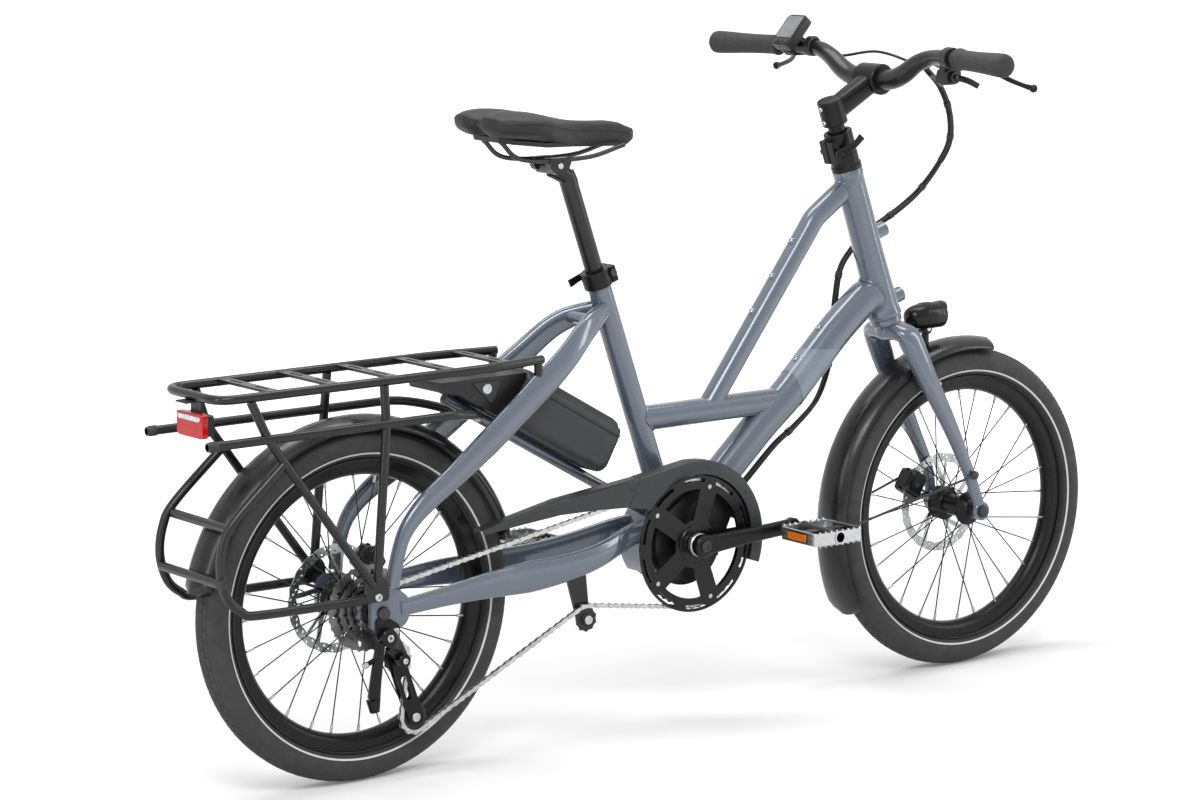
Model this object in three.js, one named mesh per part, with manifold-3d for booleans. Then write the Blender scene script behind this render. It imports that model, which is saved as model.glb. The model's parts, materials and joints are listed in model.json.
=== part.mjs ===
// Compact longtail cargo bike with 20 inch wheels, a mid motor and a rear rack.
// Sizes are in millimetres. X points forward, Y to the rider's left and Z up.
// While the pieces are made, X is zero at the rear axle and Z is zero on the ground.

import * as THREE from 'three';
import { mergeVertices } from 'three/addons/utils/BufferGeometryUtils.js';
import Module from 'manifold-3d';

const wasm = await Module();
wasm.setup();

// Driving dimensions

const gap = 0.3;
const weld = 0.0001;
const wheelbase = 1140;
const tyreRadius = 256;
const tyreHalfWidth = 27;
const headAngle = THREE.MathUtils.degToRad(72);
const forkOffset = 44;
const seatAngle = THREE.MathUtils.degToRad(71.55);
const crankReach = 566;
const crankHeight = 279;
const crankLength = 170;
const crankTilt = THREE.MathUtils.degToRad(3);
const seatLineAhead = 3;
const chainLine = 52;
const chainPitch = 12.7;

const rearAxle = new THREE.Vector3(0, 0, tyreRadius);
const frontAxle = new THREE.Vector3(wheelbase, 0, tyreRadius);
const crankAxle = new THREE.Vector3(crankReach, 0, crankHeight);

// Sizes of the pieces

const wheel = {
  stations: 32, spokes: 28, spokeRadius: 1.15, spokeSides: 3, spokeApart: 1.3, dish: 3,
  crossing: 2.5,
  rimTop: 211, rimBed: 203, rimBottom: 187, rimHalfWidth: 15, rimWall: 3,
  rearOverLocknuts: 135, frontOverLocknuts: 110, axleRadius: 6, bore: 6.9, axleStations: 8,
};
const hub = {
  stations: 12, coreRadius: 17, endRadius: 13, flangeRadius: 27, flangeThick: 5, rearRight: 14,
  rearLeft: 31, frontRight: 26, frontLeft: 24, discSeatRadius: 22, spokeCircle: 23,
};
const rotor = {
  radius: 80, inner: 66, thick: 2, rearOffset: 50, frontOffset: 40, carrierRadius: 27, seat: 16,
  arms: 5, armWidth: 7, lead: 0.45, stations: 20,
};
const cassette = {
  teeth: [11, 13, 16, 20, 25, 32], ridden: 1, spacing: 5.4, thick: 1.8, bodyRadius: 15.6,
  lockRadius: 13, lockLength: 3, stations: 10,
};
const tooth = {
  tipBelowPitch: 2.14, depth: 3.6, thick: 1.8,
};
const chainring = {
  teeth: 48, inner: 84, webRadius: 88, guardRadius: 104, guardThick: 3, guardFrom: 59,
  bossRadius: 30, bossFrom: 43.5, bossTo: 64, arms: 5, armWidth: 22, slots: 5, slotInset: 8,
  slotHalf: 2.4, slotArcShare: 0.6, stations: 28,
};
const link = { halfHeight: 4, pinHalf: 2, innerHalf: 1.4, outerHalf: 3.1 };
const pulley = {
  teeth: 11, idlerTeeth: 10, bore: 4.2, hubRadius: 9, hubHalf: 3.9, stations: 10,
  guideAhead: 34, guideUp: -74, tensionAhead: 64, tensionUp: -164.5,
  idlerAhead: -197, idlerUp: -89,
};
const headTube = {
  top: 814, bottom: 578, topRadius: 23, bottomRadius: 26, waistUp: 690, bore: 16.6, stations: 16,
};
const headBoss = {
  radius: 12, face: 41, heights: [702, 597], bolt: 4, boltDepth: 9, stations: 10,
};
const tube = {
  sides: 10, downHeight: 52, downWidth: 48, topHeight: 33, topWidth: 30, crossHeight: 38,
  crossWidth: 36, crossUp: 467, crossInset: 5.7, squareness: 0.8,
  seatRadius: 18, seatTop: 683, seatBore: 14.6, seatStations: 14,
  downStart: 612, downEndAhead: 74, downEndUp: 66, topStart: 787.9, topStartBack: 6.2,
  topEndAhead: 74, topEndUp: 192,
};
const downTubeShares = [
  [0, 0, 0], [0.083, 0, 0], [0.121, 0, 0.034], [0.269, 0, 0.18], [0.55, 0, 0.521],
  [0.692, 0, 0.654], [0.902, 0, 0.891], [1, 0, 1],
];
const topTubeShares = [
  [0, 0, 0], [0.036, 0, 0.016], [0.084, 0, 0.043], [0.251, 0, 0.14], [0.305, 0, 0.206],
  [0.96, 0, 0.952], [1, 0, 1],
];
const accessoryBoss = {
  radius: 6, height: 3, sunk: 6, pitch: 64, downFirst: 17, topFirst: 26, sides: 8,
};
const motor = {
  mainRadius: 68, noseRadius: 50, mainAhead: 4, noseAhead: 46, noseUp: 46, coreHalf: 31,
  halfWidth: 40, coverInset: 7, cradle: 8, cradleHalf: 33, cradleFrontUp: -14,
  cradleRearUp: -52, cradleReach: 90, capRadius: 24, capStep: 1.6, segments: 5,
};
const stay = {
  top: [440, 10, 640], foot: [16, 76, 292], height: 42, topWidth: 19, footWidth: 16, sides: 8,
  bridgeAhead: 402, bridgeUp: 629, bridgeRadius: 9, bridgeHalf: 30,
};
const stayPathShares = [
  [0, 0, 0], [0.123, 0.42, 0.06], [0.262, 0.667, 0.19], [0.493, 0.79, 0.392], [0.708, 0.88, 0.569],
  [0.861, 0.955, 0.684], [0.943, 0.985, 0.782], [0.98, 1, 0.891], [1, 1, 1],
];
const stayHeightShares = [0.83, 0.9, 1, 0.95, 0.95, 0.82, 0.72, 0.5, 0.48];
const chainstay = {
  yoke: [-61, 22, 24], foot: [30, 74, 259], height: 50, width: 17, sides: 8,
};
const chainstayPathShares = [
  [0, 0, 0], [0.073, 0.1, 0.11], [0.227, 0.442, 0.523], [0.379, 0.538, 0.75],
  [0.531, 0.577, 0.818], [0.695, 0.769, 0.818], [1, 1, 1],
];
const chainstayHeightShares = [0.66, 0.68, 0.8, 0.94, 0.78, 0.58, 0.48];
const dropout = {
  inner: 67.8, outer: 76, rear: 20, ahead: 44, down: 24, up: 33.4, corner: 9, bore: 6.6,
};
const idlerArm = {
  plateInner: 41, plateOuter: 46.4, topAhead: 357, topUp: 258, topRadius: 17, eyeRadius: 11,
  boltRadius: 3.6, boltEnd: 60, headRadius: 7, headFrom: 56.6,
};
const fender = {
  radius: 274, thick: 2.4, halfWidth: 33, drop: 17, rearFrom: 14, rearTo: 169, frontFrom: 77,
  frontTo: 203, flapTo: 212, flapWidth: 4, flapThick: 3, rearSteps: 16, frontSteps: 13,
  stayRadius: 2, stayEnd: [-16, 62, 60], stayFrom: 180, eyeRadius: 7, eyeThick: 2.5,
  clipRadius: 4,
};
const fenderOuterShares = [[1, 1], [0.82, 0.26], [0, 0]];
const rack = {
  tubeRadius: 6.6, sides: 6, deckUp: 586, deckHalf: 75, deckFrontHalf: 58, deckFront: 292,
  deckTaper: 190, deckRear: 256, deckCorner: 34, railDrop: 59.5, railHalf: 83, railRear: 281,
  railFront: 132, railEndAhead: 208, railEndDrop: 81, railKnee: [178, 60, 69], slatWidth: 18,
  slatThick: 4, slats: 5, slatFirst: 226, slatPitch: 97.5, postTop: [10, 75, 6],
  postKnee: [8, 82, 62], postFoot: [-14, 84, 300], legTop: [-206, 75, 6],
  legKnee: [-185, 83, 60], legFoot: [-21, 84, 300], plateCentre: [-15, 84, 292], plateWidth: 38,
  plateHeight: 36, plateThick: 5, plateCorner: 9, bossRadius: 8, boltRadius: 6, boltHeight: 4,
  stub: 16, crossUp: 408, crossBack: 247, crossLowUp: 336, lugRadius: 6.4,
  lugBottom: 560,
};
const hoop = [
  [-160, 491], [-240, 422], [-260, 390], [-266, 350], [-255, 312], [-232, 291], [-205, 284],
  [-30, 281],
];
const tailLight = {
  width: 70, height: 34, depth: 20, back: 240, up: 545, corner: 6, bracketWidth: 28,
  bracketThick: 2.4, stripHeight: 7, stripStep: 2,
};
const headlight = {
  radius: 21, neck: 16, rear: 37, front: 31, lens: 35, up: 569, stations: 14, postRadius: 6,
  postBack: 67, visor: 3,
};
const rail = { rear: [159, 0, 537], slope: THREE.MathUtils.degToRad(-30.4), radius: 8.5, length: 409.3 };
const battery = {
  from: 91, to: 292, height: 84, halfWidth: 44, topChamfer: 15, footChamfer: 9, noseChamfer: 14,
  tailChamfer: 7, seam: 1.2, seamUp: 60,
};
const dock = {
  top: 566, rear: 125, rearUp: 552, halfWidth: 38, corner: 6, plateThick: 2.6, boltAhead: 199,
  boltUp: 543, boltRadius: 6, boltHeight: 3, plateReach: 34,
};
const chainCase = {
  outer: 127, inner: 106, innerSide: 40.6, outerSide: 66, wall: 2.6, frontAngle: -20, topAngle: 97,
  bottomAngle: 143, tailRear: 180, tailTop: 350, tailBottom: 343, kneeAhead: 316, kneeTop: 377,
  kneeBottom: 355, seamAhead: 425, seamBottom: 353, crestAhead: 462, crestTop: 392, segments: 14,
};
const crank = {
  inner: 74, outer: 88, eyeRadius: 17, endRadius: 12.5, spindleRadius: 11, spindleBore: 11.4,
  spindleEnd: 86, collarRadius: 18, collarFrom: 64.4, boltRadius: 9, boltHeight: 2, pedalBore: 7.2,
  edge: 2, stations: 16,
};
const pedal = {
  inner: 107, outer: 196, half: 46, height: 24, wall: 4, barrel: 13, axle: 6.6, axleFrom: 75,
  webWidth: 20, webHeight: 14, corner: 12, reflectorWidth: 46, reflectorHeight: 13,
  reflectorThick: 2.4, stations: 10,
};
const fork = {
  steererRadius: 15.9, steererBore: 13.6, steererTop: 868,
  crownTop: 577.6, crownRace: 568, raceRadius: 25, crownRadius: 22, crownUp: 545, crownHalf: 42,
  crownHeight: 40, topUp: 543.5, topAhead: 4.9, topOut: 40, foot: [-2, 58, 6], height: 41, topWidth: 25,
  tipWidth: 11, dropoutRadius: 15, dropoutInner: 55.3, dropoutOuter: 63, hubClear: 18.5, sides: 8,
};
const forkPathShares = [
  [0, 0, 0], [0.113, 0.22, 0.113], [0.248, 0.39, 0.244], [0.398, 0.44, 0.364], [0.624, 0.56, 0.562],
  [0.872, 0.61, 0.802], [1, 1, 1],
];
const forkHeightShares = [1, 0.95, 0.8, 0.68, 0.56, 0.5, 0.49];
const clampBody = {
  radius: 22.5, coverRadius: 24, coverTop: 822, top: 872, earBack: 28, earFrom: 12,
  earHalf: 15, earLow: 830, earHigh: 866, slot: 1.4, skewerBack: 22, skewerUp: 848,
  stations: 12,
};
const stem = {
  tubeRadius: 13.2, sleeveRadius: 20, sleeveBottom: 884, sleeveTop: 922, insertFoot: 700,
  armHeight: 36, armWidth: 32, armTopWidth: 40, clampHalf: 24, clampRadius: 24, sides: 12,
};
const bar = {
  up: 920.66, ahead: 91.71, tip: [-39, 344, 41], radius: 11.1, middleRadius: 15.9, sides: 10,
  gripFrom: [-10, 200, 42],
};
const barPathShares = [
  [0, 0, 0], [0, 0.122, 0.024], [0, 0.209, 0.268], [-0.026, 0.305, 0.732], [-0.051, 0.407, 0.976],
  [0.256, 0.581, 1.024],
];
const barRadiusShares = [1, 1, 0.8, 0.3, 0.1, 0, 0, 0];
const grip = {
  radius: 15.5, from: 212, to: 344, flangeRadius: 18, flangeThick: 4, sides: 12,
};
const brake = {
  at: 188, clampRadius: 16.5, clampHalf: 8, pivotAhead: 27, pivotDown: 7, pivotAt: 202, pinRadius: 3,
  pinBore: 3.6, bodyHeight: 18, bodyFrom: 176, bodyTo: 194, tankRadius: 8, tankFrom: 166,
  leverEnd: [62, 304, -42], eyeRadius: 7, leverHeight: 5, leverWidth: 8, earThick: 3,
  tipRadius: 6.5,
};
const leverPathShares = [[0, 0, 0], [0.35, 0.2, 0.1], [0.72, 0.5, 0.6], [0.9, 0.8, 0.88], [1, 1, 1]];
const shifter = {
  at: 164, width: 24, height: 22, depth: 32, ahead: 12, down: 30, leverTip: [26, -40, -14],
  leverWidth: 9, leverHeight: 5, pinRadius: 3, corner: 6,
};
const display = {
  width: 46, height: 60, depth: 15, at: 168, back: 22, rise: 22, corner: 7, tilt: 0.84,
  screenStep: 1, bracketAt: 148, bracketWidth: 12, bracketThick: 5,
};
const saddle = {
  rear: 163.8, nose: 120.2, rise: 100, thick: 44, halfWidth: 82, drop: 46, rows: 14, sides: 16,
  roundShare: 0.62, edgeShare: 0.5, tuckShare: 0.16, railHalf: 22, railRadius: 3.5,
  clampBack: 27.8, clampRise: 13, clampLength: 42, clampHalf: 27, clampHeight: 24,
};
const saddleRowsShares = [
  [0, 0.42, 0.2, 0.35], [0.03, 0.7, 0.06, 0.75], [0.1, 0.92, 0, 0.95], [0.2, 1, 0, 1],
  [0.32, 0.9, 0.12, 1], [0.45, 0.62, 0.32, 0.95], [0.58, 0.38, 0.45, 0.92], [0.7, 0.27, 0.52, 0.9],
  [0.85, 0.22, 0.6, 0.9], [0.95, 0.18, 0.75, 0.8], [1, 0.08, 1, 0.4],
];
const saddleRail = [[-129.8, 54.7], [-89.8, 26], [20.2, 22], [90.2, 36]];
const post = { radius: 13.6, sides: 14, foot: 505, top: 846 };
const collar = {
  radius: 22, bottom: 674, top: 698, earFrom: 12, earTo: 26, earHalf: 17, slot: 1.4,
  skewerAhead: 18.5, skewerUp: 689, stations: 12,
};
const lever = {
  camRadius: 6.5, camHalf: 5, bladeWidth: 13, bladeThick: 4, skewerRadius: 2.4,
  seatTip: [-45, 29, -18], postTip: [24, -46, 26],
};
const caliper = {
  from: 54, to: 92, halfLength: 20, halfWidth: 13, slotHalf: 1.9, slotTo: 82, rearAngle: 41,
  frontAngle: 148, boltRadius: 5,
};
const derailleur = {
  hangerOuter: 79, hanger: [[-9, 246], [-8, 222], [2, 214], [14, 218], [22, 232]],
  bodyRadius: 9, bodyFrom: [1, -80, 226], bodyTo: [30, -64, 196], cageGap: 4.4, cageThick: 1.6,
  cageWidth: 24, axleRadius: 3.6, boltRadius: 7, knuckleRadius: 13, adjuster: [-39, -82, 186],
  adjusterRadius: 4, guardFrom: [-10, 205], guardTo: [-24, 130], guardRadius: 3,
};
const cable = { radius: 2.4, loomRadius: 5, sides: 8, steps: 17, branchSteps: 6, frameSteps: 16 };
const loomRoute = [
  [1046, -30, 962], [1076, -30, 932], [1098, -27, 890], [1103, -22, 846], [1090, -10, 808],
  [1067, 8, 768], [1040, 24, 740], [1004, 32, 718], [978, 33, 704],
];
const barBranches = [
  [[978, -155.8, 982], [996, -120, 972], [1022, -74, 972], [1046, -34, 961], [1056, -30, 953]],
  [[979, 164.4, 984], [998, 120, 976], [1026, 60, 984], [1048, -6, 966], [1058, -29, 951]],
  [[979, -149.8, 960], [1004, -116, 944], [1034, -64, 950], [1056, -32, 950], [1062, -30, 946]],
];
const frameRoute = [
  [977.2, 33, 703.5], [946, 31.5, 680], [924, 30.6, 652], [914, 30.4, 606], [908, 30.4, 550],
  [899, 30.4, 500], [873, 28, 452], [823, 20, 418], [778, 12, 396], [724, 10, 352],
  [690, 8, 326],
];

// Points and shapes

const at = (x, y, z) => new THREE.Vector3(x, y, z);


function solidOf(geometry) {
  const bare = geometry.clone();
  bare.deleteAttribute('normal');
  bare.deleteAttribute('uv');
  const merged = mergeVertices(bare, weld);
  const triangles = [];
  const index = merged.index.array;
  for (let i = 0; i < index.length; i += 3) {
    const [a, b, c] = [index[i], index[i + 1], index[i + 2]];
    if (a !== b && b !== c && c !== a) {
      triangles.push(a, b, c);
    }
  }
  const vertProperties = new Float32Array(merged.attributes.position.array);
  const triVerts = new Uint32Array(triangles);
  return new wasm.Manifold(new wasm.Mesh({ numProp: 3, vertProperties, triVerts }));
}

function geometryOf(solid) {
  const { vertProperties, triVerts } = solid.getMesh();
  const geometry = new THREE.BufferGeometry();
  geometry.setAttribute('position', new THREE.BufferAttribute(new Float32Array(vertProperties), 3));
  geometry.setIndex(new THREE.BufferAttribute(new Uint32Array(triVerts), 1));
  return geometry;
}

function join(...pieces) {
  return geometryOf(pieces.map(solidOf).reduce((whole, piece) => whole.add(piece)));
}

function cut(whole, ...pieces) {
  return geometryOf(pieces.map(solidOf).reduce((left, piece) => left.subtract(piece), solidOf(whole)));
}

function turnedOut(geometry) {
  const p = geometry.attributes.position;
  const index = geometry.index.array;
  const [a, b, c] = [at(0, 0, 0), at(0, 0, 0), at(0, 0, 0)];
  let volume = 0;
  for (let i = 0; i < index.length; i += 3) {
    a.fromBufferAttribute(p, index[i]);
    b.fromBufferAttribute(p, index[i + 1]);
    c.fromBufferAttribute(p, index[i + 2]);
    volume += a.dot(b.cross(c));
  }
  if (volume < 0) {
    for (let i = 0; i < index.length; i += 3) {
      [index[i], index[i + 1]] = [index[i + 1], index[i]];
    }
  }
  return geometry;
}

function meshOf(places, faces) {
  const geometry = new THREE.BufferGeometry();
  geometry.setAttribute('position', new THREE.Float32BufferAttribute(places, 3));
  geometry.setIndex(faces);
  return turnedOut(geometry);
}

// Triangles that close the end of a sweep, wound the way that the ring runs
function capOf(ring) {
  const across = ring[1].clone().sub(ring[0]).normalize();
  const normal = at(0, 0, 0);
  ring.forEach((p, i) => normal.add(p.clone().cross(ring[(i + 1) % ring.length])));
  normal.normalize();
  const up = normal.clone().cross(across);
  const flat = ring.map((p) => new THREE.Vector2(p.dot(across), p.dot(up)));
  return THREE.ShapeUtils.triangulateShape(flat, []).map(([a, b, c]) => {
    const turn = flat[b].clone().sub(flat[a]).cross(flat[c].clone().sub(flat[a]));
    return turn > 0 ? [a, b, c] : [a, c, b];
  });
}

// Skin over a row of rings with equally many points; a closed row has no ends
function skin(rings, closed = false) {
  const count = rings[0].length;
  const faces = [];
  const rows = closed ? rings.length : rings.length - 1;
  for (let i = 0; i < rows; i += 1) {
    const next = (i + 1) % rings.length;
    for (let k = 0; k < count; k += 1) {
      const side = (k + 1) % count;
      faces.push(i * count + k, i * count + side, next * count + k);
      faces.push(i * count + side, next * count + side, next * count + k);
    }
  }
  if (!closed) {
    const end = (rings.length - 1) * count;
    capOf(rings[0]).forEach(([a, b, c]) => faces.push(a, c, b));
    capOf(rings[rings.length - 1]).forEach(([a, b, c]) => faces.push(end + a, end + b, end + c));
  }
  return meshOf(rings.flat().flatMap((p) => [p.x, p.y, p.z]), faces);
}

const sideways = at(0, 1, 0);
const upward = at(0, 0, 1);
const forward = at(1, 0, 0);

// Sweep of a section along a path; its first axis stays as near to the side vector as it can
function sweep(path, sectionAt, side = sideways) {
  const last = path.length - 1;
  const rings = path.map((p, i) => {
    const before = path[Math.max(i - 1, 0)];
    const after = path[Math.min(i + 1, last)];
    const into = p.clone().sub(before).normalize();
    const out = after.clone().sub(p).normalize();
    const along = into.add(out).normalize();
    const across = side.clone().addScaledVector(along, -side.dot(along)).normalize();
    const up = along.clone().cross(across);
    return sectionAt(i / last).map(([u, v]) => p.clone().addScaledVector(across, u).addScaledVector(up, v));
  });
  return skin(rings);
}

// Section with given half sizes; a power of one gives an ellipse and less a squarer outline
function oval(halfWidth, halfHeight, sides, power = 1) {
  return Array.from({ length: sides }, (_, i) => {
    const angle = ((i + 0.5) / sides) * 2 * Math.PI;
    const [c, s] = [Math.cos(angle), Math.sin(angle)];
    return [
      halfWidth * Math.sign(c) * Math.abs(c) ** power,
      halfHeight * Math.sign(s) * Math.abs(s) ** power,
    ];
  });
}

function rod(path, radius, sides, side = sideways) {
  const section = oval(radius, radius, sides);
  return sweep(path, () => section, side);
}

// Path with its corners rounded off
function bent(points, radius, steps = 2) {
  const path = [points[0]];
  for (let i = 1; i < points.length - 1; i += 1) {
    const into = points[i].clone().sub(points[i - 1]);
    const out = points[i + 1].clone().sub(points[i]);
    const reach = Math.min(radius, into.length() * 0.45, out.length() * 0.45);
    const from = points[i].clone().addScaledVector(into.normalize(), -reach);
    const to = points[i].clone().addScaledVector(out.normalize(), reach);
    path.push(...new THREE.QuadraticBezierCurve3(from, points[i], to).getPoints(steps));
  }
  path.push(points[points.length - 1]);
  return path;
}

function smooth(points, steps) {
  return new THREE.CatmullRomCurve3(points, false, 'centripetal').getSpacedPoints(steps);
}

// Points between two places, from shares along each axis
function between(from, to, shares) {
  return shares.map(([x, y, z]) => at(
    THREE.MathUtils.lerp(from.x, to.x, x),
    THREE.MathUtils.lerp(from.y, to.y, y),
    THREE.MathUtils.lerp(from.z, to.z, z),
  ));
}

// Value from a row of equally spaced shares
function graded(shares, where) {
  const place = where * (shares.length - 1);
  const low = Math.min(Math.floor(place), shares.length - 2);
  return THREE.MathUtils.lerp(shares[low], shares[low + 1], place - low);
}

// Turned piece about the Y axis, from radius and place pairs; it closes at the axis or on itself
function turned(profile, stations) {
  const points = profile.map(([r, y]) => new THREE.Vector2(r, y));
  if (profile[0][0] > 0) {
    points.push(points[0].clone());
  }
  const lathe = new THREE.LatheGeometry(points, stations);
  lathe.deleteAttribute('normal');
  lathe.deleteAttribute('uv');
  return turnedOut(mergeVertices(lathe, weld));
}

function disc(radius, from, to, stations) {
  return turned([[0, from], [radius, from], [radius, to], [0, to]], stations);
}

function sleeve(inner, outer, from, to, stations) {
  return turned([[inner, from], [outer, from], [outer, to], [inner, to]], stations);
}

// Moves a piece made about the Y axis so that the axis runs from one place towards another
function aimed(geometry, from, to) {
  const turn = new THREE.Quaternion().setFromUnitVectors(sideways, to.clone().sub(from).normalize());
  return geometry.clone().applyQuaternion(turn).translate(from.x, from.y, from.z);
}

function moved(geometry, place) {
  return geometry.clone().translate(place.x, place.y, place.z);
}

// Plate with an outline in X and Z, between two places across the bike
function plate(outline, from, to, curveSegments = 3) {
  const depth = Math.abs(to - from);
  const settings = { depth, bevelEnabled: false, curveSegments };
  const geometry = new THREE.ExtrudeGeometry(outline, settings).rotateX(Math.PI / 2);
  return geometry.translate(0, Math.max(from, to), 0);
}

// Slab with an outline in X and Y, between two heights
function slab(outline, from, to, curveSegments = 3) {
  const settings = { depth: to - from, bevelEnabled: false, curveSegments };
  return new THREE.ExtrudeGeometry(outline, settings).translate(0, 0, from);
}

// Outline with rounded corners, from pairs of places
function rounded(points, radius) {
  const corners = points.map(([x, y]) => new THREE.Vector2(x, y));
  const shape = new THREE.Shape();
  corners.forEach((corner, i) => {
    const before = corners[(i + corners.length - 1) % corners.length].clone().sub(corner);
    const after = corners[(i + 1) % corners.length].clone().sub(corner);
    const reach = Math.min(radius, before.length() * 0.45, after.length() * 0.45);
    const from = corner.clone().addScaledVector(before.normalize(), reach);
    const to = corner.clone().addScaledVector(after.normalize(), reach);
    if (i === 0) {
      shape.moveTo(from.x, from.y);
    } else {
      shape.lineTo(from.x, from.y);
    }
    shape.quadraticCurveTo(corner.x, corner.y, to.x, to.y);
  });
  shape.closePath();
  return shape;
}

function rectangle(width, height, corner, x = 0, y = 0) {
  const [w, h] = [width / 2, height / 2];
  return rounded([[x - w, y - h], [x + w, y - h], [x + w, y + h], [x - w, y + h]], corner);
}

function block(x, y, z, centre) {
  return new THREE.BoxGeometry(x, y, z).translate(centre.x, centre.y, centre.z);
}

function circlePath(radius, clockwise = false, x = 0, y = 0) {
  const path = new THREE.Path();
  path.absarc(x, y, radius, 0, 2 * Math.PI, clockwise);
  return path;
}

function polar(centre, radius, degrees) {
  const angle = THREE.MathUtils.degToRad(degrees);
  return [centre.x + radius * Math.cos(angle), centre.z + radius * Math.sin(angle)];
}

// Outline round two circles, for the motor and what fits round it
function roundTwo(centre, radius, otherCentre, otherRadius) {
  const line = new THREE.Vector2(otherCentre.x - centre.x, otherCentre.z - centre.z);
  const lean = Math.acos((radius - otherRadius) / line.length());
  const from = line.angle() + lean;
  const shape = new THREE.Shape();
  shape.absarc(centre.x, centre.z, radius, from, line.angle() - lean + 2 * Math.PI);
  shape.absarc(otherCentre.x, otherCentre.z, otherRadius, line.angle() - lean, line.angle() + lean);
  shape.closePath();
  return shape;
}

// Places on the two leaning axes of the bike

const steerUp = at(-Math.cos(headAngle), 0, Math.sin(headAngle));
const steerFoot = at(wheelbase - forkOffset / Math.sin(headAngle), 0, tyreRadius);
const seatUp = at(-Math.cos(seatAngle), 0, Math.sin(seatAngle));
const seatFoot = at(crankReach + seatLineAhead, 0, crankHeight);

function onSteerer(height, ahead = 0, out = 0) {
  const place = steerFoot.clone().addScaledVector(steerUp, (height - steerFoot.z) / steerUp.z);
  return place.addScaledVector(at(steerUp.z, 0, -steerUp.x), ahead).add(at(0, out, 0));
}

function onSeatLine(height, ahead = 0, out = 0) {
  const place = seatFoot.clone().addScaledVector(seatUp, (height - seatFoot.z) / seatUp.z);
  return place.addScaledVector(at(seatUp.z, 0, -seatUp.x), ahead).add(at(0, out, 0));
}

// Piece turned about the steering axis or the seat line between heights
function alongSteerer(profile, stations) {
  const foot = onSteerer(0);
  const scale = 1 / steerUp.z;
  return aimed(turned(profile.map(([r, z]) => [r, z * scale]), stations), foot, foot.clone().add(steerUp));
}

function alongSeatLine(profile, stations) {
  const foot = onSeatLine(0);
  const scale = 1 / seatUp.z;
  return aimed(turned(profile.map(([r, z]) => [r, z * scale]), stations), foot, foot.clone().add(seatUp));
}

// Finishes

const finish = (color, roughness, metalness) => ({ color, roughness, metalness });
const paint = finish('#626c7e', 0.32, 0.1);
const satinBlack = finish('#1d1e20', 0.45, 0.3);
const moulded = finish('#2a292c', 0.6, 0);
const warmGrey = finish('#4b484c', 0.55, 0);
const rubber = finish('#1c1c1d', 0.9, 0);
const steel = finish('#a9abad', 0.3, 0.9);
const darkSteel = finish('#3a3b3e', 0.4, 0.8);
const polished = finish('#c8cacc', 0.2, 0.95);
const redLens = finish('#b3161b', 0.15, 0);

const bike = new THREE.Group();

function add(name, geometry, look, group = bike) {
  const flat = geometry.index ? geometry.toNonIndexed() : geometry;
  flat.computeVertexNormals();
  const mesh = new THREE.Mesh(flat, new THREE.MeshStandardMaterial(look));
  mesh.name = name;
  group.add(mesh);
}

const loose = (radius, sides) => (radius + gap) / Math.cos(Math.PI / sides);

// Wheels, each made about its own axle

function hubShell(rightSide, left, leftEnd, offset) {
  const t = hub.flangeThick;
  const seat = offset - rotor.thick / 2 - gap;
  return turned([
    ...rightSide, [hub.coreRadius, left - t], [hub.flangeRadius, left], [hub.flangeRadius, left + t],
    [hub.discSeatRadius, left + t], [hub.discSeatRadius, seat], [rotor.seat, seat], [rotor.seat, leftEnd],
    [wheel.bore, leftEnd],
  ], hub.stations);
}

// Spokes leave the flanges on a circle and lean to the rim, half from each side
function spokes(right, left) {
  const step = (2 * Math.PI) / wheel.spokes;
  const reach = wheel.rimBottom * Math.cos(Math.PI / wheel.stations) - gap;
  return Array.from({ length: wheel.spokes }, (_, i) => {
    const leftSide = i % 2 === 0;
    const lean = (Math.floor(i / 2) % 2 === 0 ? 1 : -1) * wheel.crossing * step;
    const angle = i * step;
    const apart = Math.sign(lean) * wheel.spokeApart;
    const y = (leftSide ? left + hub.flangeThick / 2 : -right - hub.flangeThick / 2) + apart;
    const start = angle + lean;
    const from = at(hub.spokeCircle * Math.cos(start), y, hub.spokeCircle * Math.sin(start));
    const end = (leftSide ? wheel.dish : -wheel.dish) + apart;
    const to = at(reach * Math.cos(angle), end, reach * Math.sin(angle));
    return rod([from, to], wheel.spokeRadius, wheel.spokeSides);
  });
}

function rim() {
  const { rimBottom: low, rimTop: top, rimBed: bed, rimHalfWidth: half, rimWall: wall } = wheel;
  const shoulder = low + half / 2;
  return turned([
    [low, 0], [shoulder, -half], [top, -half], [bed, wall - half], [bed, half - wall], [top, half],
    [shoulder, half],
  ], wheel.stations);
}

const tyreSectionShares = [[0.4, 1], [0.86, 0.72]];

function tyre() {
  const { rimTop: top, rimHalfWidth: half } = wheel;
  const base = top + gap;
  const rise = tyreRadius - base;
  const side = tyreSectionShares.map(([up, out]) => [base + rise * up, tyreHalfWidth * out]);
  return turned([
    [base, -half], ...side.map(([r, y]) => [r, -y]), [tyreRadius, 0], ...side.reverse(),
    [base, half],
  ], wheel.stations);
}

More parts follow.
